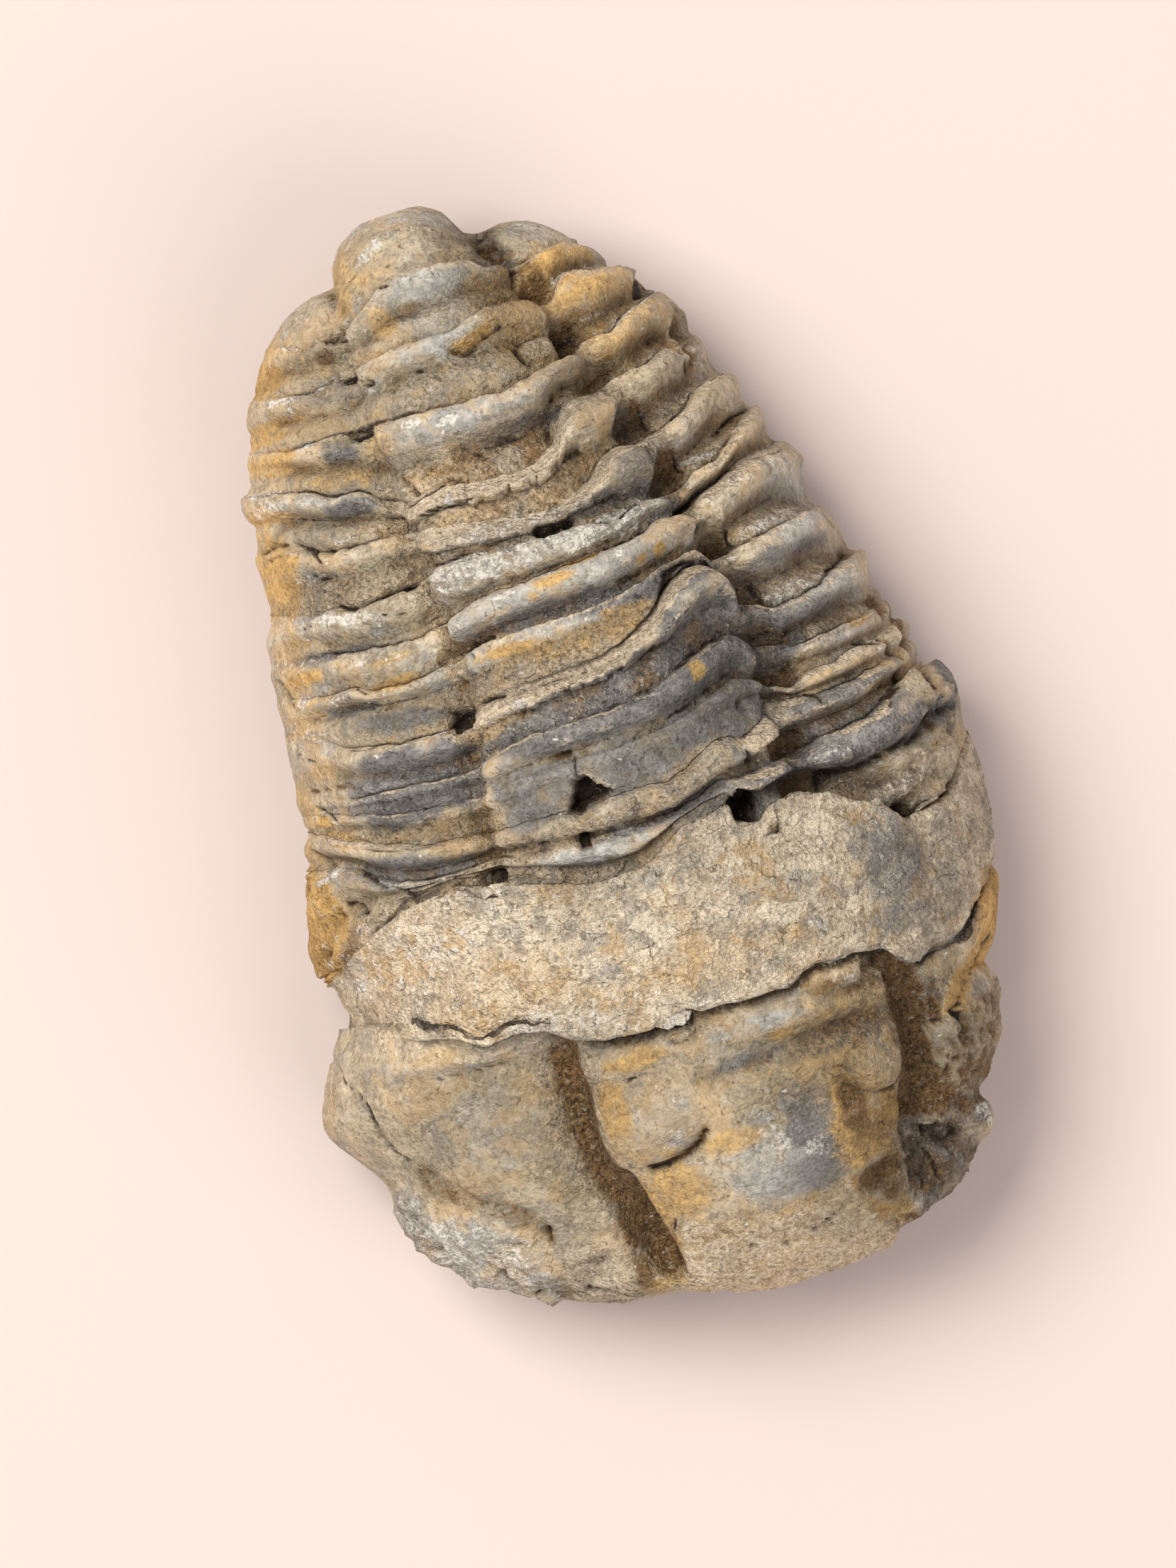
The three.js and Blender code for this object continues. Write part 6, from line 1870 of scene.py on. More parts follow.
        (-11.2, 29.3, 1.6, 1, 0.35), (-11.5, 27.5, 1.4, 1, 0.45), (-7.5, 11.2, 2.6, 0.5, 0.75), (-3, 10.4, 6, 1, 0.5),
        (1, 11.2, 2, 0.7, 0.5), (-2.8, 14.7, 1.5, 0.5, 0.7), (-4.6, 14, 0.5, 0.4, 0.6), (-1, 15.5, 1.8, 0.25, 0.9),
        (4.5, 14.5, 0.6, 0.35, 0.9), (3.2, 14.2, 0.5, 0.25, 0.7), (-8, 20.8, 2.6, 0.8, 0.35),
        (-9.5, 24.6, 2, 0.6, 0.4), (16, 5.6, 0.8, 0.5, 0.7), (14.5, 3, 1.5, 0.6, 0.3), (19.4, 1.4, 0.4, 0.5, 0.6),
        (7.6, 0, 1.4, 0.7, 0.35), (-6.5, -32, 3, 0.9, 0.95, -10), (-8.5, -28.4, 2.2, 1.8, 0.65),
        (-3.5, -26.3, 2.6, 0.8, 0.6), (-8, -18.8, 2.6, 0.8, 0.7), (-10.3, -21.5, 1.2, 2.6, 0.65),
        (2.4, -20.2, 1.4, 0.4, 0.75), (5.2, -25.8, 1.2, 1.6, 0.85), (8, -27.4, 0.9, 1.7, 0.9),
        (3.9, -32, 0.5, 1.6, 0.9), (19, -17.2, 0.7, 1.6, 1, -25), (17.3, -19.7, 0.9, 0.9, 0.8, -30),
        (15.5, -21.2, 1, 0.8, 0.6), (19.8, -14.6, 0.4, 1.5, 0.7, -15), (7.5, -32.6, 1, 0.6, 0.5),
        (-10.5, -34.6, 2.2, 0.6, 0.7), (1, -12.6, 3.5, 1.2, 0.3), (-2.5, -9.5, 2, 1, 0.3), (6, -14, 1.2, 0.8, 0.35),
        (-23, -11.5, 1.6, 1, 0.3), (-23.5, 3.7, 0.5, 0.4, 0.9), (-25, 1.5, 0.6, 1.6, 0.5), (-18, -6.3, 2, 0.8, 0.2),
    ),
    # Dark brown matrix; the thin strip at y 25.8 is painted shade on a ring's fall.
    UMBER: (
        (4.8, 20.2, 1.2, 1.3, 0.4), (-0.2, 36, 2, 5.5, 0.4, 12), (-3, 25.8, 5, 0.8, 0.4, 4), (8, -18.3, 4, 1, 0.5),
        (7.5, -27, 3.4, 6, 0.35), (12.5, -27, 2.4, 6, 0.6, -12), (11.5, -24, 2, 6.5, 0.9, -4),
        (5.6, -26.5, 1.2, 2.5, 0.6), (9, -31.5, 3.5, 1.6, 0.8, 20), (18.4, -17.6, 1, 1.8, 0.7, -25),
        (-25.6, -4.4, 1.6, 2.6, 0.75), (6, -32, 2, 0.8, 0.75, 15), (8.4, -35.6, 1.6, 0.6, 0.9),
        (-12.2, -21, 0.6, 5, 0.6), (-11.7, -29, 0.7, 3.6, 0.75, -8), (-12, -33, 0.8, 1.8, 0.6),
        (2.4, 35.6, 0.8, 1.4, 0.7), (3.5, 31.2, 0.5, 1.2, 0.8), (-0.6, 38.8, 0.7, 1.2, 0.6),
        (7.5, 29, 2.8, 0.4, 0.5, 5), (8.5, 13.4, 1.2, 0.8, 0.8), (7.3, 20.6, 0.6, 1.6, 0.75),
        (6.2, 24.6, 0.6, 1, 0.6), (-24.9, 12, 0.5, 2.6, 0.5), (7.4, -20.9, 2.6, 0.5, 0.6),
        (-21, -17, 4.5, 0.4, 0.3, -5), (10.8, 28, 0.4, 2.4, 0.6), (-13.4, 34.9, 0.8, 0.5, 0.6),
        (-9.8, 34.9, 1, 0.5, 0.35), (19.2, 4.6, 0.4, 2.2, 0.6), (18.9, -2, 0.5, 1.8, 0.7),
    ),
    CHALK: (
        (-19, -8.5, 8, 5, 0.45, -20), (-8, -14.5, 9, 2.6, 0.35), (12.6, 14.1, 3, 0.7, 0.7, 10),
        (12.6, 9.4, 3, 0.6, 0.55, 8), (-4, 19.2, 7, 0.7, 0.55), (-4, 17, 8, 1.1, 0.5), (15, -7, 4, 2, 0.4),
        (-20.5, 26, 1.6, 1, 0.5, -10), (-8, -5.2, 13, 1.8, 0.35), (9, -5.6, 6, 1.6, 0.3), (-24.5, -7.5, 2, 2.4, 0.6),
        (-11.8, 18, 1.2, 4, 0.4), (-12, -15, 6, 1.4, 0.5, -10), (-23, 12, 1.4, 14, 0.3), (13, 25, 1.2, 6, 0.3, 20),
        (-17, -33, 5, 2, 0.4, -20), (0, -36.4, 8, 1.4, 0.45), (-6, 22.4, 5, 0.5, 0.4), (-6, 19.6, 5, 0.6, 0.5),
        (-20, -10, 7, 4, 0.3, -20), (-8, -16, 8, 1.6, 0.45), (-25.4, -9, 2, 3, 0.4), (-13, -13.5, 5, 2, 0.4),
        (8, -6, 4, 1.6, 0.25), (-3, 17.2, 8, 1, 0.6), (-3, -9, 10, 3, 0.25), (-8, 40.2, 1.4, 0.35, 0.8, 12),
        (-9.9, 37.9, 0.3, 0.6, 0.7), (-8.5, 37.6, 1, 0.35, 0.4), (-5.5, 36.9, 3, 0.4, 0.3),
        (-9.4, 31.9, 0.5, 0.5, 0.5), (-11.3, 31.5, 0.5, 0.4, 0.9), (-8.7, 28.1, 1, 0.35, 0.9),
        (-6.6, 27.5, 0.9, 0.35, 0.9), (-16.6, 29.2, 0.8, 0.35, 0.9), (-17, 32.6, 1.6, 0.35, 0.6),
        (-16.7, 31.9, 0.2, 0.2, 0.9), (-16.3, 22.1, 1, 0.2, 0.8), (-18, 22.4, 0.3, 0.2, 0.7),
        (-19.5, 20.3, 1.3, 0.5, 0.6), (-18.2, 19.3, 0.8, 0.3, 0.6), (-17.5, 16.7, 2.4, 0.45, 0.85, -14),
        (-20, 17.2, 1.2, 0.25, 0.6), (-15.8, 15.6, 0.9, 0.5, 0.5), (-17.5, 13.4, 0.8, 0.3, 0.7),
        (-15.2, 13.2, 0.9, 0.3, 0.5), (-22.3, 12, 0.5, 0.6, 0.7), (-20, 11.4, 1.2, 0.4, 0.5),
        (-22, 9.7, 1.2, 0.2, 0.7, -15), (-6.4, 14.8, 1, 0.3, 0.95), (-8.3, 14.8, 0.4, 0.7, 0.6),
        (-10.7, 12.8, 0.4, 0.4, 0.9), (-10.5, 14, 1.6, 0.8, 0.35), (1.8, 15.1, 0.35, 0.6, 0.9),
        (-7.8, 7.3, 0.8, 0.45, 0.8), (0.6, 5.1, 1.2, 0.15, 0.7), (9.3, 12.4, 0.5, 0.3, 0.8),
        (12.5, 17.6, 3, 0.7, 0.45, 8), (14, 19.2, 1.5, 0.35, 0.6, 10), (9.5, 20, 1.6, 0.3, 0.7),
        (12.4, 14.2, 2.4, 0.5, 0.45), (12.4, 9.9, 1.8, 0.7, 0.45), (12.4, 5, 0.6, 0.5, 0.7), (17, 3, 0.6, 0.5, 0.6),
        (12.8, 3.4, 1.4, 0.35, 0.45), (13.5, 0, 2, 0.5, 0.3), (-12.8, -7.5, 3, 1.5, 0.4), (-5, -6.8, 3.4, 0.9, 0.45),
        (3.6, -8.4, 1.8, 1, 0.45), (7, -4.9, 0.7, 0.5, 0.6), (5.8, -13, 1.4, 0.6, 0.35), (12.8, -17.3, 1.2, 1, 0.45),
        (17.5, -6.2, 2, 1, 0.5), (0, -27.2, 0.8, 0.9, 0.6), (2.3, -28.3, 1.2, 0.7, 0.75), (-1, -26.3, 1.6, 0.5, 0.4),
        (-7, -24.6, 1.2, 0.7, 0.5), (-24.6, -25, 0.5, 1.4, 0.5), (13.5, -30, 0.6, 1, 0.7),
        (-16.6, -24.5, 1.2, 0.6, 0.4), (-19.2, -25.7, 0.6, 0.4, 0.6), (8, -17.9, 0.6, 0.4, 0.7),
        (-14.6, -18.8, 1, 0.6, 0.35), (-23.8, 0, 0.5, 0.4, 0.8), (-19.8, 1.1, 0.5, 0.4, 0.6),
        (-20.4, 26.9, 1.6, 0.2, 0.7, -14),
    ),
}


@dataclass(frozen=True)
class Trilobite:
    """The whole stone."""

    grid: Grid = field(default_factory=Grid)
    thorax: Thorax = Thorax()
    plate: Plate = Plate()
    head: Head = Head()
    tail: Tail = Tail()
    underside: Underside = Underside()
    weathering: Weathering = Weathering()

    def carve(self) -> Surface:
        """Shapes every part of the surface.

        Returns:
            The finished surface, still in survey millimetres.
        """
        s = Surface(self.grid)
        for part in (self.thorax, self.plate, self.head, self.tail, self.underside):
            part.shape(s)
        self.weathering.patch(s)
        self.weathering.shape(s)
        for coat, places in PATCHES.items():
            for place in places:
                Patch(coat, *place).apply(s)
        for mark in (*FIELDS, *TAIL_MARKS, *LEFT_MARKS, *AXIS_MARKS, *RIGHT_MARKS, *PLATE_MARKS, *HEAD_MARKS):
            mark.apply(s)
        self.weathering.settle(s)
        return s

    def mesh(self, s: Surface, low: Array, high: Array) -> bpy.types.Mesh:
        """Turns the surface into a closed mesh that fills a box.

        Args:
            s: The finished surface.
            low: The box's lowest corner, in metres.
            high: The box's highest corner, in metres.

        Returns:
            The mesh, with one attribute for each coat.
        """
        normal = self.grid.outward()
        places = np.stack((s.x, s.y, self.grid.z), axis=-1) + normal * s.out[..., None]
        places[..., 2] = np.maximum(places[..., 2], 0.0)
        rows, count = s.shape
        inner = places[1:-1].reshape(-1, 3)
        points = np.concatenate((places[0].mean(axis=0)[None], inner, places[-1].mean(axis=0)[None]))
        outline = self.grid.survey.box()
        points[:, :2] += (low[:2] + high[:2]) / 2 / MM - (outline[0] + outline[1]) / 2
        points = np.clip(points * MM, low, high)
        index = 1 + np.arange((rows - 2) * count).reshape(rows - 2, count)
        a, b = index[:-1], np.roll(index, -1, axis=1)[:-1]
        d, e = index[1:], np.roll(index, -1, axis=1)[1:]
        quads = np.stack((a, d, e, b), axis=-1).reshape(-1, 4)
        last = len(points) - 1
        caps = [(0, int(p), int(q)) for p, q in zip(index[0], np.roll(index[0], -1))]
        caps += [(last, int(q), int(p)) for p, q in zip(index[-1], np.roll(index[-1], -1))]
        mesh = bpy.data.meshes.new(NODE)
        mesh.from_pydata(points.tolist(), [], [*quads.tolist(), *caps])
        for coat, values in s.coats.items():
            inner_values = values[1:-1].reshape(-1)
            flat_values = np.concatenate(([values[0].mean()], inner_values, [values[-1].mean()]))
            attribute = mesh.attributes.new(coat.value, "FLOAT", "POINT")
            attribute.data.foreach_set("value", flat_values.astype(np.float32))
        mesh.update()
        mesh.polygons.foreach_set("use_smooth", np.ones(len(mesh.polygons), bool))
        return mesh


# === The finish of the stone ===

Colour = tuple[float, float, float]


class Value:
    """A number that changes over the surface, written as arithmetic."""

    def __init__(self, tree: "Tree", socket: bpy.types.NodeSocket) -> None:
        """Wraps an output socket."""
        self.tree = tree
        self.socket = socket

    def _math(self, operation: str, *values: Any) -> "Value":
        """One Math node on values."""
        return Value(self.tree, self.tree.node("ShaderNodeMath", {"operation": operation}, dict(enumerate(values))))

    def __add__(self, other: Any) -> "Value":
        """Sum."""
        return self._math("ADD", self, other)

    def __radd__(self, other: Any) -> "Value":
        """Sum with a number first."""
        return self._math("ADD", other, self)

    def __sub__(self, other: Any) -> "Value":
        """Difference."""
        return self._math("SUBTRACT", self, other)

    def __rsub__(self, other: Any) -> "Value":
        """Difference from a number."""
        return self._math("SUBTRACT", other, self)

    def __mul__(self, other: Any) -> "Value":
        """Product."""
        return self._math("MULTIPLY", self, other)

    def __rmul__(self, other: Any) -> "Value":
        """Product with a number first."""
        return self._math("MULTIPLY", other, self)

    def clamp(self) -> "Value":
        """Kept between 0 and 1."""
        return self._math("MINIMUM", self._math("MAXIMUM", self, 0.0), 1.0)

    def step(self, start: float, end: float) -> "Value":
        """A smooth step from 0 at start to 1 at end, whichever is larger.

        Args:
            start: Where it is 0.
            end: Where it is 1.

        Returns:
            The step.
        """
        low, high, to_low, to_high = (start, end, 0.0, 1.0) if start < end else (end, start, 1.0, 0.0)
        return Value(self.tree, self.tree.node(
            "ShaderNodeMapRange", {"interpolation_type": "SMOOTHSTEP"},
            {"Value": self, "From Min": low, "From Max": high, "To Min": to_low, "To Max": to_high}))


@dataclass
class Tree:
    """Adds nodes to a shader or geometry tree."""

    nodes: bpy.types.Nodes
    links: bpy.types.NodeLinks

    def node(self, kind: str, settings: dict[str, Any] | None = None, inputs: dict[Any, Any] | None = None,
             output: int | str = 0) -> bpy.types.NodeSocket:
        """Adds one node.

        Args:
            kind: The node's type.
            settings: Its properties, set first.
            inputs: Its sockets by name or number, each with a value, a socket or a Value.
            output: Which output to hand back.

        Returns:
            The chosen output socket.
        """
        made = self.nodes.new(kind)
        for name, value in (settings or {}).items():
            setattr(made, name, value)
        for name, value in (inputs or {}).items():
            socket = made.inputs[name]
            source = value.socket if isinstance(value, Value) else value
            if isinstance(source, bpy.types.NodeSocket):
                self.links.new(source, socket)
            else:
                socket.default_value = source
        return made.outputs[output] if made.outputs else made.inputs[0]

    def blend(self, factor: Any, below: Any, above: Any) -> bpy.types.NodeSocket:
        """Mixes two colours.

        Args:
            factor: Share of the upper colour.
            below: The lower colour, or a link to it.
            above: The upper colour, or a link to it.

        Returns:
            The blend.
        """
        def colour(value: Any) -> Any:
            """A plain colour with its alpha, or the link as it is."""
            return (*value, 1.0) if isinstance(value, tuple) else value
        return self.node("ShaderNodeMix", {"data_type": "RGBA"},
                         {0: factor, 6: colour(below), 7: colour(above)}, 2)

    def noise(self, where: Any, scale: float, detail: float = 3.0, roughness: float = 0.55,
              distortion: float = 0.0) -> Value:
        """Noise of about 0 to 1, with its scale in lumps per millimetre."""
        return Value(self, self.node("ShaderNodeTexNoise", {"noise_dimensions": "3D"},
                                     {"Vector": where, "Scale": scale, "Detail": detail, "Roughness": roughness,
                                      "Distortion": distortion}))

    def cells(self, where: Any, scale: float, output: str = "Distance") -> bpy.types.NodeSocket:
        """Voronoi cells, for grains and pits."""
        return self.node("ShaderNodeTexVoronoi", {"feature": "F1"}, {"Vector": where, "Scale": scale}, output)

    def attribute(self, name: str) -> Value:
        """A value stored on the mesh."""
        return Value(self, self.node("ShaderNodeAttribute", {"attribute_name": name}, None, "Fac"))


class Fabric:
    """The noises that the whole finish shares, from waves of some millimetres down to single grains."""

    def __init__(self, t: Tree) -> None:
        """Adds the noises to a tree, with their scales in lumps per millimetre.

        Args:
            t: The material's tree.
        """
        self.where = t.node("ShaderNodeMapping", None, {
            "Vector": t.node("ShaderNodeTexCoord", None, None, "Object"), "Scale": (1 / MM, 1 / MM, 1 / MM)})
        self.broad = t.noise(self.where, 0.3, 3, 0.55)
        self.middle = t.noise(self.where, 0.9, 4, 0.62)
        self.small = t.noise(self.where, 2.3, 3, 0.65, 0.6)
        self.fine = t.noise(self.where, 6.5, 2, 0.6, 0.6)
        sway = t.node("ShaderNodeTexNoise", None, {"Vector": self.where, "Scale": 1.9, "Detail": 3.0}, "Color")
        self.warped = t.node("ShaderNodeVectorMath", {"operation": "MULTIPLY_ADD"},
                             {0: sway, 1: (0.9, 0.9, 0.9), 2: self.where})
        self.chips = Value(t, t.cells(self.warped, 1.15))
        self.flakes = Value(t, t.cells(self.warped, 2.7))
        self.grain = (self.small * 0.55 + self.fine * 0.42 + self.flakes * 0.16 - 0.04).step(0.39, 0.63)
        self.patches = (self.middle * 0.6 + self.broad * 0.4).step(0.4, 0.6)
        self.tone = (self.grain * 0.58 + self.patches * 0.42).clamp()
        self.ragged = (self.middle - 0.5) * 0.9 + (self.small - 0.5) * 0.8 + (self.fine - 0.5) * 0.5
        self.plate = t.attribute(SPECKLE.value)


@dataclass(frozen=True)
class Layer:
    """How one coat shows over the rock.

    Attributes:
        coat: The coat.
        dark: Its colour in the hollows of the grain.
        light: Its colour on the grain.
        start: Amount at which it begins to show.
        end: Amount at which it covers all.
        grainy: Whether its tones follow the grain alone, and not the broader patches too.
        ragged: How far noise frays its border.
    """

    coat: Coat
    dark: Colour
    light: Colour
    start: float
    end: float
    grainy: bool = True
    ragged: float = 0.85

    def over(self, t: Tree, f: Fabric, below: Any) -> bpy.types.NodeSocket:
        """Lays the coat over what is below it.

        Args:
            t: The material's tree.
            f: The noises.
            below: What lies below.

        Returns:
            The colour with the coat on it.
        """
        amount = t.attribute(self.coat.value)
        laid = (amount + f.ragged * self.ragged).step(self.start, self.end) * amount.step(0.02, 0.2)
        return t.blend(laid, below, t.blend(f.grain if self.grainy else f.tone, self.dark, self.light))


@dataclass(frozen=True)
class StoneFinish:
    """Weathered calcite shell on sandy rock, each coat with a dark and a light tone.

    Attributes:
        name: Name of the material.
        bare: Dark and light tone of the bare shell.
        blotches: Grey, tan and whitish tone of the blotches on the smooth plate.
        dirt: Colour of the dirt between the grains.
        dust: Colour of the dust on them.
        coarseness: How coarse each coat makes the grit.
        bumps: How strongly each coat lets the grain stand out.
        relief: Height of the grain where it stands out in full, in metres.
        shade_and_light_strength: How much darker the painted shade makes a place, and how much paler the painted
            light makes one.
    """

    name: str = "weathered_stone"
    bare: tuple[Colour, Colour] = ((0.25, 0.195, 0.125), (0.66, 0.545, 0.385))
    # The olive, charcoal and umber layers carry painted shade as well as the rock's own colours; the near-black layer
    # for hollows and cracks is painted shade alone.
    olive: Layer = Layer(OLIVE, (0.18, 0.143, 0.08), (0.47, 0.39, 0.255), 0.15, 0.85, False)
    slate: Layer = Layer(SLATE, (0.23, 0.226, 0.208), (0.56, 0.545, 0.505), 0.25, 0.85, False)
    sand: Layer = Layer(SAND, (0.20, 0.148, 0.085), (0.68, 0.53, 0.35), 0.2, 0.75)
    speckle: Layer = Layer(SPECKLE, (0.42, 0.325, 0.22), (0.90, 0.77, 0.585), 0.3, 0.6, False)
    char: Layer = Layer(CHAR, (0.068, 0.065, 0.062), (0.33, 0.312, 0.295), 0.1, 0.6, False)
    ochre: Layer = Layer(OCHRE, (0.29, 0.155, 0.042), (0.72, 0.475, 0.185), 0.1, 0.85, False)
    umber: Layer = Layer(UMBER, (0.075, 0.037, 0.011), (0.29, 0.165, 0.062), 0.15, 0.7)
    face: Layer = Layer(FACE, (0.40, 0.31, 0.21), (0.72, 0.60, 0.455), 0.25, 0.7)
    chalk: Layer = Layer(CHALK, (0.48, 0.44, 0.385), (0.84, 0.80, 0.72), 0.42, 0.9, ragged=1.5)
    cavity: Layer = Layer(CAVITY_SHADE, (0.012, 0.007, 0.004), (0.06, 0.036, 0.018), 0.3, 0.85)
    blotches: tuple[Colour, Colour, Colour] = (
        (0.24, 0.225, 0.205), (0.60, 0.40, 0.19), (0.88, 0.76, 0.57))
    dirt: Colour = (0.10, 0.077, 0.05)
    dust: Colour = (0.80, 0.74, 0.63)
    coarseness: tuple[tuple[Coat, float], ...] = ((SAND, 0.5), (SPECKLE, 0.6), (UMBER, 0.4))
    bumps: tuple[tuple[Coat, float], ...] = (
        (SAND, 0.6), (SPECKLE, 0.7), (FACE, 0.5), (UMBER, 0.6), (CHALK, 0.3),
        (OLIVE, 0.25), (CHAR, 0.3))
    relief: float = 0.8 * MM
    shade_and_light_strength: float = 0.55

    def material(self) -> bpy.types.Material:
        """Builds the node material.

        Returns:
            The material, ready for the stone and its crumbs.
        """
        made = bpy.data.materials.new(self.name)
        made.use_nodes = True
        made.node_tree.nodes.clear()
        t = Tree(made.node_tree.nodes, made.node_tree.links)
        f = Fabric(t)
        colour = t.blend(f.tone, *self.bare)
        for layer in (self.olive, self.slate, self.sand, self.speckle):
            colour = layer.over(t, f, colour)
        colour = self._soil(t, f, self._blotches(t, f, colour))
        for layer in (self.char, self.ochre, self.umber, self.face, self.chalk, self.cavity):
            colour = layer.over(t, f, colour)
        colour = self._flecks(t, f, self._grit(t, f, colour))
        edges = Value(t, t.node("ShaderNodeTexVoronoi", {"feature": "DISTANCE_TO_EDGE"},
                                {"Vector": f.warped, "Scale": 0.42}, "Distance"))
        crack = edges.step(0.03, 0.0) * f.middle.step(0.52, 0.6)
        colour = t.blend(crack * 0.55, colour, self.umber.dark)
        # Painted shade darkens the colour and painted light pales it.
        painted_brightness = (1.04 + t.attribute(PAINTED_LIGHT.value) * self.shade_and_light_strength
                  - t.attribute(PAINTED_SHADE.value) * self.shade_and_light_strength)
        colour = t.node("ShaderNodeVectorMath", {"operation": "SCALE"}, {0: colour, "Scale": painted_brightness}, "Vector")
        height = (f.fine * 0.35 + f.small * 0.95 + f.middle * 0.75 + f.chips * 0.5 + f.flakes * 0.28
                  - crack * 0.3)
        strength = 0.34 + self._sum(t, self.bumps)
        bump = t.node("ShaderNodeBump", None,
                      {"Strength": strength.clamp(), "Distance": self.relief, "Height": height}, "Normal")
        dull = 0.92 - t.attribute(SLATE.value) * 0.25 - f.plate * 0.1 + (f.fine - 0.5) * 0.3
        shader = t.node("ShaderNodeBsdfPrincipled", None, {
            "Base Color": colour, "Roughness": dull.clamp(), "Normal": bump, "Specular IOR Level": 0.4}, "BSDF")
        t.node("ShaderNodeOutputMaterial", None, {"Surface": shader})
        return made

    @staticmethod
    def _sum(t: Tree, shares: Sequence[tuple[Coat, float]]) -> Value:
        """A sum of coats, each times its share.

        Args:
            t: The material's tree.
            shares: The coats, each with its share.

        Returns:
            The sum.
        """
        first, *others = (t.attribute(coat.value) * share for coat, share in shares)
        for other in others:
            first = first + other
        return first

    def _soil(self, t: Tree, f: Fabric, colour: Any) -> bpy.types.NodeSocket:
        """Dirt and dust in spots of under a millimetre.

        Args:
            t: The material's tree.
            f: The noises.
            colour: What lies below.

        Returns:
            The colour with them.
        """
        dirt = t.noise(f.where, 1.5, 4, 0.75, 0.5).step(0.54, 0.64) * (f.patches * 0.25 + 0.25)
        dust = t.noise(f.where, 1.9, 4, 0.75, 0.9).step(0.58, 0.64) * (0.45 - f.patches * 0.25)
        return t.blend(dust, t.blend(dirt, colour, self.dirt), self.dust)

    def _grit(self, t: Tree, f: Fabric, colour: Any) -> bpy.types.NodeSocket:
        """Light and dark grit, coarser in the sandy parts.

        Args:
            t: The material's tree.
            f: The noises.
            colour: What lies below.

        Returns:
            The colour with it.
        """
        grit = t.noise(f.where, 2.7, 3, 0.7, 0.4)
        coarse = (self._sum(t, self.coarseness) + 0.3).clamp()
        colour = t.blend(grit.step(0.56, 0.66) * coarse * 0.4, colour, self.dust)
        return t.blend(grit.step(0.44, 0.34) * coarse * 0.5, colour, self.dirt)

    def _blotches(self, t: Tree, f: Fabric, colour: Any) -> bpy.types.NodeSocket:
        """Grey, tan and whitish blotches of 1 to 3 mm on the smooth plate, fainter off it.

        Args:
            t: The material's tree.
            f: The noises.
            colour: What lies below.

        Returns:
            The colour with them.
        """
        grey, tan, whitish = self.blotches
        cold = t.noise(f.warped, 0.3, 4, 0.62, 0.8)
        warm = t.noise(f.warped, 0.25, 4, 0.62, 0.5)
        pale = t.noise(f.warped, 0.38, 4, 0.66, 0.4)
        colour = t.blend(cold.step(0.51, 0.57) * (f.plate * 0.08 + 0.42), colour, grey)
        colour = t.blend(warm.step(0.52, 0.58) * (f.plate * 0.2 + 0.42), colour, tan)
        return t.blend(pale.step(0.53, 0.58) * (f.plate * 0.6 + 0.22), colour, whitish)

    def _flecks(self, t: Tree, f: Fabric, colour: Any) -> bpy.types.NodeSocket:
        """Scattered white grains and dark pits, a few tenths of a millimetre wide.

        Args:
            t: The material's tree.
            f: The noises.
            colour: What lies below.

        Returns:
            The colour with them.
        """
        def spots(scale: float, edge: tuple[float, float], rare: tuple[float, float]) -> Value:
            """Round spots in some of the cells of one scale.

            Args:
                scale: Cells per millimetre.
                edge: Distances at which a spot ends and is full.
                rare: Chances at which a cell starts to have one and has one in full.

            Returns:
                1 on the spots, 0 off them.
            """
            chance = Value(t, t.node("ShaderNodeSeparateColor", None, {0: t.cells(f.warped, scale, "Color")}))
            return Value(t, t.cells(f.warped, scale)).step(*edge) * chance.step(*rare)
        white = spots(1.3, (0.22, 0.08), (0.9, 0.94))
        dark = spots(2.1, (0.3, 0.06), (0.78, 0.86))
        colour = t.blend(dark * (0.75 - f.plate * 0.35), colour, self.umber.dark)
        return t.blend(white * 0.8, colour, self.chalk.light)


# === Crumbs of rock that still cling to the grooves ===


